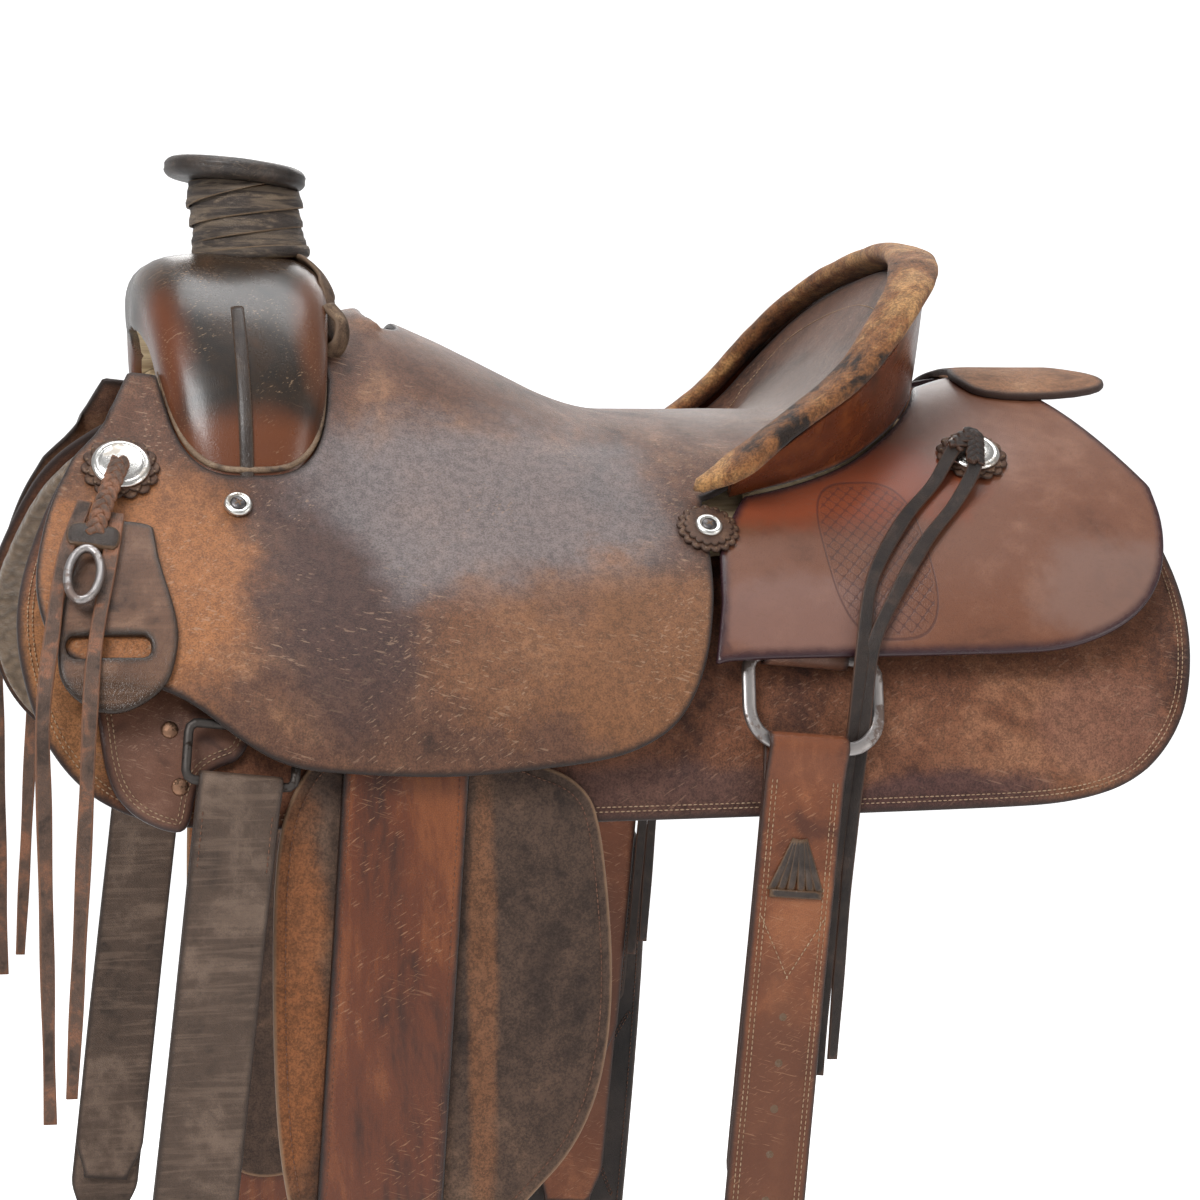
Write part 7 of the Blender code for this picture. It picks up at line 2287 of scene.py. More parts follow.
# The front rigging
@dataclass
class FrontRigging:
    """Rigging plates, rings, latigo, off billet and latigo carriers."""

    plate_outline: tuple = (
        (-0.3, -0.06), (-0.385, -0.07), (-0.378, -0.11), (-0.374, -0.154),
        (-0.359, -0.176), (-0.338, -0.187), (-0.323, -0.188), (-0.319, -0.161),
        (-0.31, -0.149), (-0.285, -0.142), (-0.28, -0.1), (-0.284, -0.07))
    carrier_outline: tuple = (
        (-0.338, 0.002), (-0.337, -0.004), (-0.336, -0.02), (-0.327, -0.057),
        (-0.329, -0.076), (-0.338, -0.099), (-0.372, -0.115), (-0.401, -0.097),
        (-0.403, -0.07), (-0.396, -0.04), (-0.382, -0.008), (-0.376, 0.004))
    slot_place: tuple[float, float] = (-0.371, -0.071)
    slot_size: tuple[float, float] = (0.052, 0.013)
    rivets: tuple = ((-0.334, -0.124), (-0.3285, -0.159), (-0.352, -0.09))
    ring_radius: float = 0.003
    ring_width: float = 0.068
    ring_height: float = 0.036
    ring_corner: float = 0.0055
    ring_plane: float = 0.2592
    low_bar: tuple[float, float] = (-0.293, -0.1565)
    lean: float = math.radians(6.5)
    tilt: float = math.radians(17.0)
    strap_width: float = 0.052
    strap_ply: float = 0.0032
    strap_length: float = 0.4
    plate_thickness: float = 0.005
    plate_stitches: tuple[float, float] = (0.0055, 0.0082)
    rivet_radius: float = 0.0056
    carrier_thickness: float = 0.0045

    def plate(self, side: Side) -> None:
        """A rigging plate with its stitches and copper rivets."""
        surface = on_layer(Layers.plate)
        line = round_off(BARREL.pattern(self.plate_outline, Layers.plate, side), 3)
        keep(Panel(f"{side.label}_rigging_plate_hide", line, surface, self.plate_thickness,
                   grid=0.005, step=0.003).build(), "saddle", f"{side.label}_rigging_plate",
             finish=Finish.PLATE)
        rows = [row_on(surface, inset(resample(line, LINE_STEP), depth), 2.0 * THREAD_LIFT)
                for depth in self.plate_stitches]
        keep(stitch_rows(f"{side.label}_plate_stitches", rows, Finish.THREAD, closed=True),
             "saddle", slot=f"{side.label}_rigging_plate")
        flat = BARREL.pattern(self.rivets, Layers.plate, side)
        facing = normals_of(surface, flat[:, 0], flat[:, 1])
        places = surface(flat[:, 0], flat[:, 1])
        keep(studs(f"{side.label}_plate_rivets", places, facing, self.rivet_radius, 0.36,
                   Finish.COPPER), "saddle", slot=f"{side.label}_rigging_plate")

    def ring(self, side: Side) -> None:
        """A round-bar rigging ring."""
        place = upright_frame((self.low_bar[0], self.ring_plane, self.low_bar[1]), side,
                              self.tilt, self.lean)
        flat = rounded_rectangle(self.ring_width, self.ring_height, self.ring_corner, 5)
        path = flat_ring(resample(flat + (0.0, 0.5 * self.ring_height), BAR_STEP), place)
        keep(sweep(f"{side.label}_ring_bar", path, oval(self.ring_radius, self.ring_radius, 12),
                   outward_of(place), closed=True), "saddle",
             f"{side.label}_rigging_ring", finish=Finish.IRON)

    def strap(self, side: Side) -> None:
        """The latigo on the near side or the billet on the off side."""
        node = "latigo" if side is Side.NEAR else "off_billet"
        body = f"{node}_front_strap"
        place = upright_frame((self.low_bar[0], self.ring_plane, self.low_bar[1]), side, 0.0,
                              self.lean)
        fold = StrapFold(f"{node}_strap", place, self.ring_radius, self.strap_ply,
                         self.strap_width, (self.strap_length, 0.92 * self.strap_length), side,
                         taper=0.35, wave=0.0012)
        keep(fold.build(), body, node, finish=Finish.LATIGO)
        keep(stitch_rows(f"{node}_edge_stitches", fold.rows(0.0045, 0.02, 0.055),
                         Finish.DARK_THREAD), body, slot=node)
        if side is Side.OFF:
            up = -np.arange(0.17, 0.36, 0.025)
            keep(studs("off_billet_holes", fold.face(0.0 * up, up, 0.0001), fold.outward(),
                       0.0026, 0.12, Finish.KEEPER), body, slot=node)

    def carrier(self, side: Side) -> None:
        """A latigo carrier, bent out a little at its slot."""
        surface = on_layer(Layers.carrier)
        line = round_off(BARREL.pattern(self.carrier_outline, Layers.carrier, side), 3)
        x, height = self.slot_place
        slot = rounded_rectangle(*self.slot_size, 0.0055, 5)
        slot = slot + (x, BARREL.arc_at(height, Layers.carrier))

        def bow(flat_x: Array, arc: Array, gap: Array) -> Array:
            """The lip below the slot has been pulled outward by the latigo's end."""
            below = (np.abs(arc) - slot[:, 1].mean()) / 0.012
            near = smoothstep(1.0 - np.abs(flat_x - x) / 0.034)
            return 0.0016 * np.exp(-(below - 1.0) ** 2) * near + 0.0002 * noise(
                np.stack([flat_x, arc], axis=1), 0.02, 31)

        keep(Panel(f"{side.label}_latigo_carrier_hide", line, surface, self.carrier_thickness,
                   [slot * (1.0, side.value)], grid=0.0045, step=0.0028, lift=bow).build(),
             "saddle", f"{side.label}_latigo_carrier", finish=Finish.CARRIER)

    def build(self) -> None:
        """Makes all the pieces of both sides."""
        for side in Side:
            self.plate(side)
            self.ring(side)
            self.strap(side)
            self.carrier(side)


# The swinging leathers
@dataclass
class LeathersAndStirrups:
    """Loops over the bars, stirrup leathers, fenders and stirrups."""

    pivot_x: float = -0.183
    pivot_z: float = -0.072
    lean: float = 0.062
    width: float = 0.081
    thickness: float = 0.005
    loop_thickness: float = 0.0044
    fender_thickness: float = 0.0035
    bolt_z: float = -0.6
    bolt_radius: float = 0.0048
    plane_y: float = 0.2483
    swing: float = math.radians(15.0)
    wall: float = 0.016
    foot_thickness: float = 0.0035
    leather_stitches: float = 0.0055
    fender_stitches: float = 0.0075
    tread_stitches: float = 0.0065
    stirrup_line: tuple = (
        (0.0525, 0.014, 0.032), (0.0565, -0.02, 0.036), (0.061, -0.055, 0.043),
        (0.0625, -0.085, 0.05), (0.0636, -0.112, 0.06), (0.0615, -0.132, 0.07),
        (0.054, -0.144, 0.076), (0.043, -0.15, 0.078), (0.02, -0.1512, 0.078),
        (0.0, -0.1514, 0.078))
    fender_outline: tuple = (
        (-0.205, -0.118), (-0.23, -0.134), (-0.256, -0.156), (-0.27, -0.2),
        (-0.272, -0.31), (-0.268, -0.4), (-0.254, -0.46), (-0.248, -0.51),
        (-0.216, -0.528), (-0.17, -0.518), (-0.156, -0.48), (-0.118, -0.44),
        (-0.068, -0.39), (-0.05, -0.31), (-0.058, -0.2), (-0.07, -0.162),
        (-0.115, -0.146), (-0.15, -0.124))

    def loop(self, side: Side) -> None:
        """The part of the leather that passes over the bar."""
        half = 0.5 * self.width
        flat = BARREL.pattern([(self.pivot_x - half, self.pivot_z + CLEARANCE),
                               (self.pivot_x + half, self.pivot_z + CLEARANCE),
                               (self.pivot_x + half, 0.0), (self.pivot_x - half, 0.0)],
                              Layers.loop, side)
        keep(Panel(f"{side.label}_leather_loop_hide", flat, on_layer(Layers.loop),
                   self.loop_thickness, grid=0.009).build(), "saddle",
             f"{side.label}_leather_loop", finish=Finish.STRAP)

    def leather(self, side: Side) -> None:
        """The stirrup leather with the foot that goes round the bolt."""
        body, half = f"{side.label}_leather", 0.5 * self.width
        shift = self.lean * (self.pivot_z - self.bolt_z)
        shoulder = self.pivot_z - half * math.tan(self.swing) - 0.0008
        low = self.bolt_z + 0.0062
        flat = BARREL.pattern([(self.pivot_x + half, shoulder),
                               (self.pivot_x, self.pivot_z - CLEARANCE),
                               (self.pivot_x - half, shoulder),
                               (self.pivot_x - half - shift, low),
                               (self.pivot_x + half - shift, low)], Layers.leather, side)
        surface = on_layer(Layers.leather)
        strap = Panel(f"{side.label}_strap", flat, surface, self.thickness, grid=0.0085,
                      lift=waves(0.0005, 0.06, 41, 0.015)).build()
        turn = np.linspace(0.0, 2.0 * math.pi, 28, endpoint=False)
        reach = self.bolt_radius + CLEARANCE + 0.5 * self.foot_thickness
        path = np.stack([np.full(28, self.pivot_x - shift),
                         side.value * self.plane_y + reach * np.cos(turn),
                         self.bolt_z + reach * np.sin(turn)], axis=1)
        centre = np.array([self.pivot_x - shift, side.value * self.plane_y, self.bolt_z])
        foot = sweep(f"{side.label}_foot", path, strap_section(self.width, self.foot_thickness, 8),
                     path - centre, closed=True)
        item = join(f"{side.label}_stirrup_leather_strap", [strap, foot])
        keep(item, body, f"{side.label}_stirrup_leather", finish=Finish.STRAP)
        z = np.arange(self.pivot_z - 0.03, self.bolt_z + 0.02, -0.004)
        middle = self.pivot_x - self.lean * (self.pivot_z - z)
        arc = side.value * np.array([BARREL.arc_at(float(v), Layers.leather) for v in z])
        across = half - self.leather_stitches
        rows = [row_on(surface, np.stack([middle + sign * across, arc], axis=1))
                for sign in (-1.0, 1.0)]
        keep(stitch_rows(f"{side.label}_leather_stitches", rows, Finish.DARK_THREAD,
                         spacing=0.0042, size=(0.003, 0.0007, 0.0005)), body,
             slot=f"{side.label}_stirrup_leather")

    def fender(self, side: Side) -> None:
        """The fender under the leather."""
        flat = round_off(BARREL.pattern(self.fender_outline, Layers.fender, side), 3)
        surface = on_layer(Layers.fender)
        inward_waves = waves(0.0004, 0.1, 51, base=-0.0004)
        keep(Panel(f"{side.label}_fender_hide", flat, surface, self.fender_thickness,
                   grid=0.0085, lift=inward_waves).build(), f"{side.label}_leather",
             f"{side.label}_fender", finish=Finish.FENDER)
        line = row_on(surface, inset(resample(flat, LINE_STEP), self.fender_stitches))
        keep(stitch_rows(f"{side.label}_fender_stitches", [line], Finish.DARK_THREAD,
                         closed=True), f"{side.label}_leather", slot=f"{side.label}_fender")

    def stirrup(self, side: Side) -> None:
        """The leather-covered wooden stirrup, with a stitched tread."""
        shift = self.lean * (self.pivot_z - self.bolt_z)
        half = list(self.stirrup_line)
        line = spline([(-a, u, w) for a, u, w in half] + half[-2::-1], CURVE_STEP)
        run = unit(np.gradient(line[:, :2], axis=0))
        outward = np.stack([-run[:, 1], run[:, 0]], axis=1)
        section = oval(1.0, 1.0, 28, 5.0)
        rings = []
        for index, (across, up, wide) in enumerate(line):
            ends = min(index, len(line) - 1 - index)
            close = min(1.0, 0.62 + 0.19 * ends)
            out = section[:, 1] * 0.5 * self.wall * close
            rings.append(np.stack([
                self.pivot_x - shift + across + outward[index, 0] * out,
                side.value * self.plane_y + section[:, 0] * 0.5 * wide * close,
                self.bolt_z + up + outward[index, 1] * out], axis=1))
        body = f"{side.label}_stirrup_body"
        keep(loft(f"{side.label}_stirrup_frame", np.array(rings)), body,
             f"{side.label}_stirrup", finish=Finish.STIRRUP)
        part, turned = line[4:-4], outward[4:-4]
        out = 0.5 * self.wall + 0.0001
        rows = [np.stack([
            self.pivot_x - shift + part[:, 0] + turned[:, 0] * out,
            side.value * self.plane_y + sign * (0.5 * part[:, 2] - self.tread_stitches),
            self.bolt_z + part[:, 1] + turned[:, 1] * out], axis=1) for sign in (-1.0, 1.0)]
        keep(stitch_rows(f"{side.label}_stirrup_stitches", rows, Finish.THREAD, spacing=0.005,
                         size=(0.004, 0.0011, 0.0011)), body, slot=f"{side.label}_stirrup")

    def build(self) -> None:
        """Makes all the pieces of both sides."""
        for side in Side:
            self.loop(side)
            self.leather(side)
            self.fender(side)
            self.stirrup(side)


# The rear rigging
@dataclass
class RearRigging:
    """Dees, the leathers that hold them, the rear billets and the flank cinch."""

    width: float = 0.097
    height: float = 0.062
    bar: float = 0.009
    thickness: float = 0.005
    top: tuple[float, float, float] = (0.0865, 0.22692, -0.087)
    lean: float = math.radians(5.5)
    tilt: float = math.radians(22.8)
    leather_tilt: float = math.radians(32.0)
    leather_shift: float = -0.005
    billet_shift: float = -0.0055
    billet_width: float = 0.054
    billet_ply: float = 0.0034
    billet_length: float = 0.42
    cinch_width: float = 0.1
    cinch_thickness: float = 0.009
    cinch_length: float = 0.62
    dee_corners: tuple[float, float] = (0.0115, 0.024)
    holes: tuple = (-0.176, -0.206, -0.236, -0.266, -0.296, -0.326, -0.356)
    billet_stitches: tuple[float, float] = (0.0048, 0.0078)
    patch_place: tuple[float, float] = (0.0, 0.135)
    buckle: tuple[float, float, float] = (0.072, 0.05, 0.006)
    buckle_drop: float = 0.07

    def dee_frame(self, side: Side) -> Matrix:
        """The frame on the dee's top bar."""
        return upright_frame(self.top, side, self.tilt, self.lean)

    def dee(self, side: Side) -> None:
        """The flat steel dee with its rounded edges."""
        place = self.dee_frame(side)
        corners = [rounded_rectangle(self.width - self.bar, self.height, radius, 7)
                   for radius in self.dee_corners]
        flat = np.vstack([corners[0][corners[0][:, 1] > 0.0], corners[1][corners[1][:, 1] < 0.0]])
        flat = flat[np.argsort(np.arctan2(flat[:, 1], flat[:, 0]))]
        flat = resample(flat, BAR_STEP) - (0.0, 0.5 * self.height)
        path = flat_ring(flat, place)
        keep(sweep(f"{side.label}_dee_steel", path,
                   oval(0.5 * self.bar, 0.5 * self.thickness, 18, 3.4),
                   outward_of(place), closed=True), f"{side.label}_dee",
             f"{side.label}_rear_dee", finish=Finish.STEEL)

    def straps(self, side: Side) -> None:
        """The leather that holds the dee, and the billet with its keeper and holes."""
        place = self.dee_frame(side)
        radius = 0.5 * math.hypot(self.bar, self.thickness)
        middle = place @ Vector((self.leather_shift, 0.0, 0.0))
        hold = upright_frame((middle.x, abs(middle.y), middle.z), side, self.leather_tilt,
                             self.lean)
        fold = StrapFold(f"{side.label}_dee_leather_strap", hold, radius, 0.0022, 0.057,
                         (0.05, 0.05), side, flip=True, wave=0.0)
        keep(fold.build(), "saddle", f"{side.label}_dee_leather", finish=Finish.PLATE)
        low = place @ Vector((self.billet_shift, -self.height, 0.0))
        hang = upright_frame((low.x, abs(low.y), low.z), side, 0.0, self.lean)
        lengths = (self.billet_length, 0.72 * self.billet_length)
        billet = StrapFold(f"{side.label}_billet_strap", hang, radius, self.billet_ply,
                           self.billet_width, lengths, side, taper=0.3, wave=0.0004)
        body, node = f"{side.label}_rear_strap", f"{side.label}_rear_billet"
        keep(billet.build(), body, node, finish=Finish.BILLET)
        rows = [row for depth in self.billet_stitches for row in billet.rows(depth, 0.016, 0.4)]
        up = np.linspace(-0.112, -0.15, 12)
        rows += [billet.face(sign * (up + 0.15) * 0.55, up, STRAP_THREAD_LIFT)
                 for sign in (-1.0, 1.0)]
        keep(stitch_rows(f"{side.label}_billet_stitches", rows, Finish.THREAD), body, slot=node)
        holes = np.array(self.holes)
        keep(studs(f"{side.label}_billet_holes", billet.face(0.0 * holes, holes, -0.0001),
                   billet.outward(), 0.003, 0.1, Finish.KEEPER), body, slot=node)
        if side is Side.NEAR:
            keep(self.lacing(billet), body, slot=node, finish=Finish.KEEPER)

    @staticmethod
    def lacing(billet: StrapFold) -> Item:
        """The small triangular lacing that holds the billet's plies together."""
        lines = [((0.0025 * way, -0.06), (0.0165 * way, -0.094))
                 for way in (-1.0, 1.0, -0.62, 0.62, -0.22, 0.22)]
        lines.append(((-0.0175, -0.0955), (0.0175, -0.0955)))
        made = []
        for number, (start, end) in enumerate(lines):
            share = np.linspace(0.0, 1.0, 9)
            across = start[0] + (end[0] - start[0]) * share
            up = start[1] + (end[1] - start[1]) * share
            lift = 0.0007 * np.sin(math.pi * share) + 0.0002 + 0.0002 * number
            path = billet.face(across, up) + billet.outward() * lift[:, None]
            made.append(sweep("lacing", path, oval(0.0027, 0.0011, 10), billet.outward(),
                              edge_half=0.0027))
        return join("near_billet_lacing", made)

    def flank_cinch(self) -> None:
        """The wide cinch and its buckle on the off billet."""
        low = self.dee_frame(Side.OFF) @ Vector((self.billet_shift, -self.height, 0.0))
        wide, high, thick = self.buckle
        place = upright_frame((low.x - self.buckle_drop * math.tan(self.lean),
                               low.y + self.billet_ply + 0.5 * thick + 0.00045,
                               low.z - self.buckle_drop), Side.OFF, 0.0, self.lean)
        flat = resample(rounded_rectangle(wide - thick, high - thick, 0.008, 6), 0.0035)
        path = flat_ring(flat, place)
        keep(sweep("cinch_buckle_frame", path, oval(0.5 * thick, 0.5 * thick, 16, 2.6),
                   outward_of(place), closed=True), "cinch", "cinch_buckle",
             finish=Finish.BRASS)
        half, neck = 0.5 * self.cinch_width, 0.5 * wide - thick - 0.004
        top = -0.5 * high + thick + 0.0005
        outline = np.array([
            (-neck, top), (-neck, top - 0.02), (-half, top - 0.062), (-half, -self.cinch_length),
            (half, -self.cinch_length), (half, top - 0.062), (neck, top - 0.02), (neck, top)])
        outward, near = outward_of(place), 0.5 * thick + CLEARANCE

        def face_at(depth: float) -> Surface:
            """The surface function of a plane behind the buckle's middle."""
            return lambda x, y: moved(np.stack([x, y, np.full(np.shape(x), -depth)], axis=-1),
                                      place)

        line, outer_face = round_off(outline, 3), face_at(near)
        keep(Panel("flank_cinch_hide", line, outer_face, self.cinch_thickness,
                   grid=0.008).build(), "cinch", "flank_cinch", finish=Finish.CINCH)
        rows = []
        patch = rounded_rectangle(0.062, 0.1, 0.01, 6) - self.patch_place
        waist = np.linspace(-1.0, 1.0, 40)
        for face, sign in ((outer_face, 1.0), (face_at(near + self.cinch_thickness), -1.0)):
            facing = outward * sign * STRAP_THREAD_LIFT
            rows.append(face(*inset(resample(line, 0.004), 0.006).T) + facing)
            rows.append(face(*resample(patch, 0.004).T) + facing)
            for edge in (-1.0, 1.0):
                x = edge * (0.012 + 0.026 * np.abs(waist) ** 1.5)
                loop = np.stack([x, -0.27 + 0.075 * waist], axis=1)
                rows.append(face(*np.vstack([loop, loop[::-1] + (0.002 * edge, 0.0)]).T) + facing)
        keep(stitch_rows("flank_cinch_stitches", rows, Finish.DARK_THREAD, closed=True,
                         size=(0.003, 0.0011, 0.0008)), "cinch", slot="flank_cinch")
        border = round_off(rounded_rectangle(0.068, 0.108, 0.012, 5) - self.patch_place, 1)
        keep(Panel("flank_cinch_patch", border, lambda x, y: outer_face(x, y) + outward * 0.0002,
                   0.0016, grid=0.008).build(), "cinch", slot="flank_cinch",
             finish=Finish.CINCH)

    def build(self) -> None:
        """Makes all the pieces of both sides."""
        for side in Side:
            self.dee(side)
            self.straps(side)
        self.flank_cinch()


# Ornaments and strings
@dataclass(frozen=True)
class Rosette:
    """A two-layer scalloped rosette with a dot on each lobe."""

    radius: float
    lobes: int
    low_thickness: float
    top_share: float
    between: float
    dot_circle: float
    dot_height: float
    dot_radius: float
    top_thickness: float = 0.002

    def layer(self, place: Matrix, share: float, thickness: float, turn: float) -> Item:
        """A scalloped disc with a domed, rounded edge.

        Args:
            place: The frame at the middle of its lower face.
            share: Its radius over the lobes, as a share of the rosette's.
            thickness: The disc's thickness.
            turn: The angle by which the lobes are turned.

        Returns:
            The object.
        """
        radius = share * self.radius
        angle = np.linspace(0.0, 2.0 * math.pi, self.lobes * 8, endpoint=False)
        lobe = 1.0 - 0.13 * (1.0 - np.abs(np.cos(0.5 * self.lobes * (angle + turn))) ** 0.7)
        levels = [(0.0, 0.3), (0.0, 0.96), (0.35 * thickness, 1.0), (0.72 * thickness, 0.985),
                  (0.95 * thickness, 0.95), (thickness, 0.9), (thickness, 0.6),
                  (thickness, 0.25)]
        rings = []
        for height, part in levels:
            wave = 1.0 + (lobe - 1.0) * smoothstep((part - 0.3) / 0.6)
            rings.append(round_z(radius * part * wave, angle, height))
        edge = np.array([[radius * (1.0 - part)] * len(angle) for _, part in levels])
        return loft("layer", moved(np.array(rings), place), edge=edge)

    def build(self, name: str, base: Matrix) -> None:
        """Makes the layers and the dots; "between" turns the upper ones by a share of a lobe."""
        turn = 2.0 * math.pi * self.between / self.lobes
        low = self.layer(base, 1.0, self.low_thickness, 0.0)
        top = self.layer(raised_by(base, 0.002), self.top_share, self.top_thickness, turn)
        keep(join(f"{name}_rosette_leather", [low, top]), "saddle", f"{name}_rosette",
             finish=Finish.ROSETTE)
        turns = 2.0 * math.pi * (np.arange(self.lobes) + self.between) / self.lobes
        dots = moved(round_z(self.dot_circle, turns, self.dot_height), base)
        keep(studs(f"{name}_rosette_dots", dots, outward_of(base), self.dot_radius, 0.4,
                   Finish.KEEPER), "saddle", slot=f"{name}_rosette")


@dataclass
class Ornaments:
    """Rosettes, conchos, screws and the strings that hang from the conchos."""

    concho_radius: float = 0.019
    concho_height: float = 0.0034
    rosette_thickness: float = 0.004
    concho_rosette: Rosette = Rosette(0.0255, 14, 0.0022, 0.88, 0.5, 0.0218, 0.0039, 0.0011)
    seat_rosette: Rosette = Rosette(0.0215, 17, 0.0024, 0.8, 0.0, 0.0188, 0.0024, 0.001)
    ferrule_radius: float = 0.0092
    lift: float = 0.0009
    string_width: float = 0.0095
    string_thickness: float = 0.0026
    string_radius: float = 0.003
    string_lift: float = 0.0012
    carrier_lift: float = 0.0054
    concho_lift: float = 0.00945
    front_place: tuple[float, float] = (-0.355, 38.4)
    rear_place: tuple[float, float] = (0.232, 33.6)
    seat_place: tuple[float, float] = (0.028, -0.005)
    screw_place: tuple[float, float] = (-0.282, 0.0085)
    front_hang: float = 0.2693
    rear_hang: float = 0.2433
    front_route: tuple = (
        (-0.411, -0.36, None), (-0.412, -0.26, None), (-0.413, -0.17, None),
        (-0.413, -0.115, carrier_lift), (-0.406, -0.07, carrier_lift),
        (-0.396, -0.026, carrier_lift), (-0.38, 0.006, carrier_lift),
        (-0.364, 0.026, concho_lift), (-0.355, 0.031, concho_lift),
        (-0.354, 0.018, concho_lift), (-0.36, 0.0, carrier_lift),
        (-0.37, -0.035, carrier_lift), (-0.38, -0.075, carrier_lift),
        (-0.385, -0.115, carrier_lift), (-0.388, -0.17, None),
        (-0.393, -0.26, None), (-0.398, -0.345, None))
    rear_route: tuple = (
        (0.086, -0.36, None), (0.0935, -0.28, None), (0.101, -0.2, None),
        (0.108, -0.145, None), (0.1138, -0.085, 0.0), (0.131, -0.04, 0.0),
        (0.164, -0.003, 0.0), (0.195, 0.02, 0.0), (0.214, 0.033, concho_lift),
        (0.232, 0.04, concho_lift), (0.225, 0.024, concho_lift), (0.206, 0.008, 0.0),
        (0.176, -0.016, 0.0), (0.144, -0.05, 0.0), (0.1202, -0.085, 0.0),
        (0.1155, -0.145, None), (0.1085, -0.2, None), (0.1015, -0.28, None),
        (0.096, -0.35, None))

    @staticmethod
    def frame_on(x: float, arc: float, lift: float) -> Matrix:
        """A frame on the jockey layer with its Z outward."""
        surface = on_layer(Layers.jockey)
        flat_x, flat_arc = np.array([x]), np.array([arc])
        normal = normals_of(surface, flat_x, flat_arc)[0]
        return frame_at(surface(flat_x, flat_arc)[0] + normal * lift, (1.0, 0.0, 0.0), normal)

    def stack(self, where: str, x: float, degrees: float, side: Side) -> None:
        """A two-layer rosette with dots on its lobes and a domed concho."""
        arc = side.value * math.radians(degrees) * BARREL.radius
        base = self.frame_on(x, arc, self.lift)
        name = f"{side.label}_{where}"
        self.concho_rosette.build(name, base)
        metal = raised_by(base, self.rosette_thickness + CLEARANCE)
        r, h = self.concho_radius, self.concho_height
        profile = [(0.0, 1.25 * h), (0.25 * r, 1.24 * h), (0.45 * r, 1.19 * h),
                   (0.62 * r, 1.08 * h), (0.74 * r, 0.96 * h), (0.76 * r, 0.86 * h),
                   (0.79 * r, 0.86 * h), (0.81 * r, 0.93 * h), (0.9 * r, 0.8 * h),
                   (0.97 * r, 0.58 * h), (r, 0.35 * h), (0.985 * r, 0.1 * h),
                   (0.95 * r, 0.0), (0.0, 0.0)]
        keep(lathe(f"{name}_concho_dome", profile, 56, metal), "saddle", f"{name}_concho",
             finish=Finish.SILVER)

    def screw(self, name: str, place: Matrix, slot: str) -> None:
        """A dished ferrule with a cross-head screw in it.

        Args:
            name: The start of the pieces' names.
            place: The frame at the ferrule's foot.
            slot: The slot passed on to keep, which does not use it.
        """
        r = self.ferrule_radius
        rim = [(0.0, 0.0016), (0.58 * r, 0.0016), (0.66 * r, 0.0022), (0.84 * r, 0.0023),
               (0.96 * r, 0.0014), (r, 0.0003), (r, -0.0008), (0.0, -0.0008)]
        keep(lathe(f"{name}_ferrule_ring", rim, 40, place), "saddle", slot=slot,
             finish=Finish.FERRULE)
        head = [(0.0, 0.003), (0.2 * r, 0.003), (0.42 * r, 0.0026), (0.56 * r, 0.0019),
                (0.58 * r, 0.0012), (0.0, 0.0012)]
        keep(lathe(f"{name}_screw_head", head, 32, place), "saddle", slot=slot,
             finish=Finish.SCREW)
        arms = []
        for turn in (0.5, 0.5 + 0.5 * math.pi):
            half = 0.34 * r
            share = np.linspace(-half, half, 7)
            path = np.stack([share * math.cos(turn), share * math.sin(turn),
                             0.0029 - 0.0006 * (share / half) ** 2], axis=1)
            arms.append(sweep("arm", moved(path, place), oval(0.00065, 0.0004, 8, 4.0),
                              outward_of(place)))
        keep(join(f"{name}_screw_cross", arms), "saddle", slot=slot, finish=Finish.KEEPER)

    def seat_corner(self, side: Side) -> None:
        """The rosette at the seat's rear corner, with its screw."""
        x, height = self.seat_place
        arc = side.value * BARREL.arc_at(height, Layers.jockey)
        base = self.frame_on(x, arc, self.lift)
        name = f"{side.label}_seat"
        self.seat_rosette.build(name, base)
        self.screw(name, raised_by(base, 0.0042), f"{name}_rosette")

    def front_screw(self, side: Side) -> None:
        """The screw through the seat leather beside the fork."""
        x, height = self.screw_place
        arc = side.value * BARREL.arc_at(height, Layers.jockey)
        self.screw(f"{side.label}_front", self.frame_on(x, arc, 0.002), "seat_leather")

    def points(self, route: Sequence[tuple], side: Side, hang: float) -> tuple[Array, Array]:
        """A string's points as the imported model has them, and their outward directions."""
        places, outward = [], []
        for x, height, lift in route:
            if lift is None:
                places.append((x, side.value * hang, height))
                outward.append((0.0, side.value, 0.0))
                continue
            arc = BARREL.arc_at(height, Layers.jockey)
            angle = arc / BARREL.radius
            away = np.array([0.0, side.value * math.sin(angle), math.cos(angle)])
            spot = BARREL.place(x, side.value * arc, Layers.jockey)
            places.append(spot + away * (lift + self.string_lift + self.string_radius))
            outward.append(away)
        return np.array(places, float), np.array(outward, float)

    def string(self, name: str, points: Array, outward: Array, start: int, end: int,
               turn: float) -> tuple[Item, Array, float]:
        """One flat string from the concho down.

        Args:
            name: The piece's name.
            points: The whole route.
            outward: The outward direction at each point.
            start: The number of the point where the string starts.
            end: The number of its last point.
            turn: How far its hanging end is twisted, in radians.

        Returns:
            The object, its path and its length.
        """
        order = range(start, end + 1) if end > start else range(start, end - 1, -1)
        picked = np.hstack([points[list(order)], outward[list(order)]])
        line = spline(picked, CURVE_STEP)
        path, facing = line[:, :3], unit(line[:, 3:])
        run = run_along(path)
        _, across, up = frames_along(path, facing)
        share = smoothstep((run - 0.1) / (run[-1] - 0.1))
        angle = turn * np.sin(3.0 * share + 0.4) * share
        normal = up * np.cos(angle)[:, None] + across * np.sin(angle)[:, None]
        wide = 1.0 + 0.06 * np.sin(run * 63.0 + turn) - 0.18 * smoothstep((run - 0.25) / 0.15)
        scale = np.stack([wide, np.ones(len(run))], axis=1)
        item = sweep(name, path, strap_section(self.string_width, self.string_thickness, 6),
                     normal, scale=scale, edge_half=0.5 * self.string_width)
        return item, path, float(run[-1])

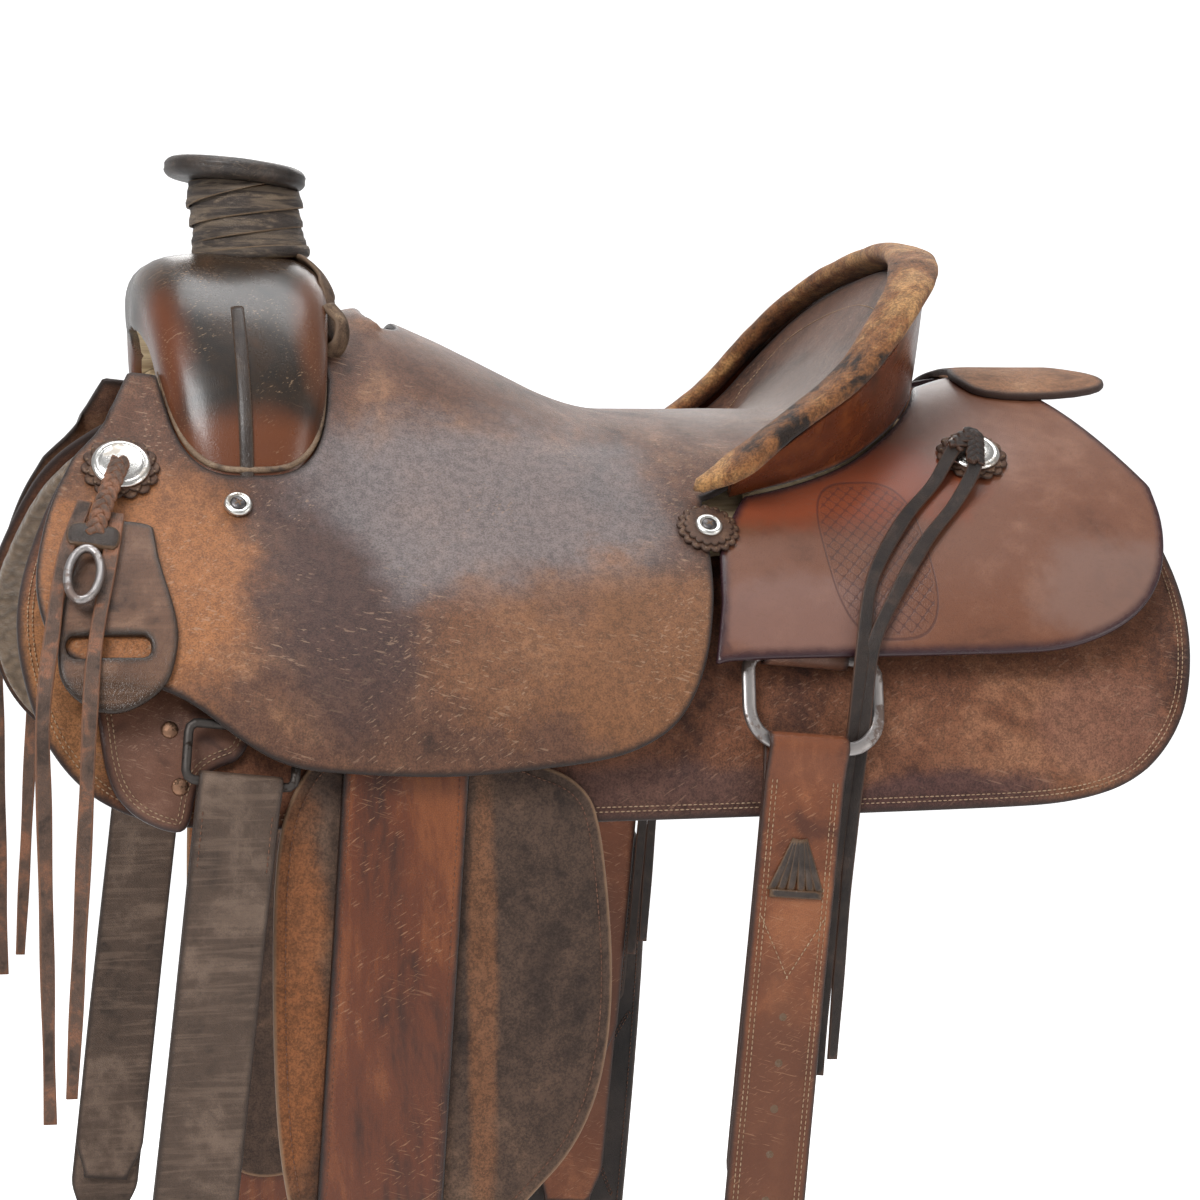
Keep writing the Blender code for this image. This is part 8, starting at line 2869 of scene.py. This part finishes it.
    def knot(self, name: str, path: Array, outward: Array, high: float) -> Item:
        """A braid of three lace strands along a short path.

        Args:
            name: The piece's name.
            path: The braid's middle line.
            outward: The outward direction.
            high: How far its middle lies out of the path.

        Returns:
            The object.
        """
        line = resample(path, 0.0012, closed=False)
        _, across, up = frames_along(line, outward)
        share = np.linspace(0.0, 1.0, len(line))
        made = []
        for strand in range(3):
            phase = 2.0 * math.pi * (3.0 * share + strand / 3.0)
            swing = 0.0042 * np.sin(phase)
            rise = high + 0.0012 * np.sin(2.0 * phase + 0.6)
            curve = line + across * swing[:, None] + up * rise[:, None]
            made.append(sweep("strand", curve, oval(0.0026, 0.0014, 12, 2.4), up,
                              edge_half=0.0026))
        return join(name, made)

    def front_extras(self, side: Side, points: Array, outward: Array) -> list:
        """The braid over the concho, the dark keeper and the steel ring link.

        Args:
            side: The side of the saddle.
            points: The string's route.
            outward: Its outward directions.

        Returns:
            The pieces.
        """
        name = f"{side.label}_front"
        middle = 0.25 * (points[5] + points[6] + points[10] + points[11]) + outward[10] * 0.0012
        arc = side.value * math.radians(self.front_place[1]) * BARREL.radius
        top = np.array(self.frame_on(self.front_place[0], arc, self.lift + 0.0085).translation)
        braid = self.knot(f"{name}_string_braid",
                          spline([top, 0.45 * top + 0.55 * middle + 0.003 * outward[9], middle],
                                 0.002), outward[9], 0.0022)
        made = [keep(braid, "saddle", slot=f"{name}_strings", finish=Finish.STRING)]
        along = unit(points[11] - points[10])
        path = middle + np.outer(np.linspace(-0.0085, 0.0085, 9), along)
        bulge = 1.0 - 0.18 * np.abs(np.linspace(-1.0, 1.0, 9)) ** 3
        band = sweep(f"{name}_string_keeper", path, oval(0.0165, 0.0034, 20, 4.0), outward[10],
                     scale=np.stack([bulge, bulge], axis=1), edge_half=0.0165)
        made.append(keep(band, "saddle", slot=f"{name}_strings", finish=Finish.KEEPER))
        if side is Side.NEAR:
            centre = 0.5 * (points[5] + points[11]) + outward[11] * 0.0056 + 0.0075 * along
            across = unit(np.cross(outward[11], along))
            turn = np.linspace(0.0, 2.0 * math.pi, 48, endpoint=False)
            ring = (centre + np.outer(0.0098 * np.cos(turn), across)
                    + np.outer(0.0208 * np.sin(turn), along))
            link = sweep("near_ring_link", ring, oval(0.0028, 0.0028, 12), outward[11],
                         closed=True)
            made.append(keep(link, "saddle", slot="near_front_strings", finish=Finish.STEEL))
        return made

    def strings(self, side: Side) -> None:
        """The strings of one side, each tail of them a hanging cord."""
        for where, route, hang, peak in (("front", self.front_route, self.front_hang, 8),
                                         ("rear", self.rear_route, self.rear_hang, 9)):
            points, outward = self.points(route, side, hang)
            node = f"{side.label}_{where}_strings"
            extras = self.front_extras(side, points, outward) if where == "front" else [
                keep(self.knot(f"{side.label}_rear_string_braid",
                               spline(points[peak - 1:peak + 2], 0.002), outward[peak], 0.0026),
                     "saddle", slot=node, finish=Finish.REAR_STRING)]
            finish = Finish.STRING if where == "front" else Finish.REAR_STRING
            under = 2 if where == "front" else 0
            for number, (start, end) in enumerate(((peak - under, 0),
                                                   (peak + under, len(route) - 1))):
                item, path, length = self.string(f"{node}_{'ab'[number]}", points, outward,
                                                 start, end, (0.5, -0.7)[number])
                keep(item, "saddle", node, finish=finish)

    def build(self) -> None:
        """Makes all the pieces of both sides."""
        for side in Side:
            self.stack("front", *self.front_place, side)
            self.stack("rear", *self.rear_place, side)
            self.seat_corner(side)
            self.front_screw(side)
            self.strings(side)


# What is hidden, and the studio
def dress_hidden() -> None:
    """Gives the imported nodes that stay, most of them inside, their materials."""
    finishes = {"tree_bar": Finish.RAWHIDE, "tree_fork": Finish.RAWHIDE,
                "tree_cantle": Finish.RAWHIDE, "horn_core": Finish.RAWHIDE,
                "ground_seat": Finish.GROUND, "stirrup_bolt": Finish.STEEL}
    for name, node in frame["nodes"].items():
        for ending, finish in finishes.items():
            if name.endswith(ending):
                for slot in node.material_slots:
                    slot.material = finish.material()
                LOG.info("%s: %s", name, finish.name)


@dataclass
class Studio:
    """A white sweep, soft lights and the camera at the photograph's angle."""

    azimuth: float = math.radians(-14.0)
    elevation: float = math.radians(3.0)
    distance: float = 2.2
    target: tuple[float, float, float] = (0.0, 0.0, -0.06)
    lens: float = 91.7
    floor_gap: float = 0.003
    floor_front: float = -9.0
    bend_start: float = 5.0
    bend_radius: float = 1.5
    wall_top: float = 8.0
    half_width: float = 12.0
    white: float = 1.02
    glow: float = 0.32

    def camera(self) -> None:
        """The camera."""
        data = bpy.data.cameras.new("camera")
        data.lens, data.sensor_width, data.sensor_fit = self.lens, 36.0, "HORIZONTAL"
        item = new_object("camera", data)
        back = Vector((math.sin(self.azimuth) * math.cos(self.elevation),
                       -math.cos(self.azimuth) * math.cos(self.elevation),
                       math.sin(self.elevation)))
        item.location = Vector(self.target) + back * self.distance
        item.rotation_euler = (-back).to_track_quat("-Z", "Y").to_euler()
        bpy.context.scene.camera = item

    @staticmethod
    def light(name: str, place: Sequence[float], size: tuple[float, float], power: float,
              colour: Colour, aim: Sequence[float] = (0.0, 0.0, -0.05)) -> None:
        """A rectangular soft light.

        Args:
            name: The light's name.
            place: Where it stands.
            size: Its width and height.
            power: Its power in watts.
            colour: Its colour.
            aim: The point that it looks at.
        """
        data = bpy.data.lights.new(name, "AREA")
        data.shape, data.size, data.size_y = "RECTANGLE", *size
        data.energy, data.color = power, colour
        item = new_object(name, data)
        item.location = place
        item.rotation_euler = (Vector(aim) - Vector(place)).to_track_quat("-Z", "Y").to_euler()

    def build(self, lowest: float) -> None:
        """Makes the sweep, the lights, the world and the camera.

        Args:
            lowest: The height of the saddle's lowest point.
        """
        floor_z, start, radius = lowest - self.floor_gap, self.bend_start, self.bend_radius
        bend = [(self.floor_front, 0.0), (start, 0.0)]
        bend += [(start + radius * math.sin(t), radius - radius * math.cos(t))
                 for t in np.linspace(0.1, 0.5 * math.pi, 10)]
        bend += [(start + radius, self.wall_top)]
        rows = [[(x, y, floor_z + z) for y, z in bend]
                for x in (-self.half_width, self.half_width)]
        count = len(bend)
        faces = [(i, count + i, count + i + 1, i + 1) for i in range(count - 1)]
        floor = make_mesh("studio_sweep", np.array(rows[0] + rows[1]), faces)
        dress(floor, Paper("studio_paper"))
        floor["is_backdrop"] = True
        world = bpy.data.worlds.new("studio")
        world.use_nodes = True
        g, background = Graph(world.node_tree), world.node_tree.nodes["Background"]
        g.feed(background.inputs["Color"], (0.98, 0.99, 1.0))
        g.feed(background.inputs["Strength"], g.camera_sees(self.white, self.glow))
        bpy.context.scene.world = world
        self.light("key", (-1.7, -2.0, 1.9), (1.5, 1.1), 76.0, (0.97, 0.99, 1.0))
        self.light("fill", (2.2, -2.1, 0.7), (1.2, 1.6), 18.0, (1.0, 0.97, 0.93))
        self.light("top", (0.1, 0.2, 2.3), (1.8, 1.2), 32.0, (0.95, 0.98, 1.0))
        self.light("rim", (0.6, 2.4, 1.5), (1.8, 1.0), 16.0, (1.0, 0.98, 0.96))
        self.camera()
        bpy.context.scene.view_settings.view_transform = "Standard"


def main() -> None:
    """Builds the saddle's looks in order."""
    logging.basicConfig(level=logging.INFO, format="%(name)s %(message)s")
    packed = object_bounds()
    Studio().build(float(packed[0][2]))
    Ornaments().build()
    fork = ForkAndHorn()
    fork.build()
    seat = SeatAndCantle(fork)
    seat.build()
    SkirtsAndJockeys().build(seat.seam_points)
    FrontRigging().build()
    LeathersAndStirrups().build()
    RearRigging().build()
    dress_hidden()


if __name__ == "__main__":
    main()
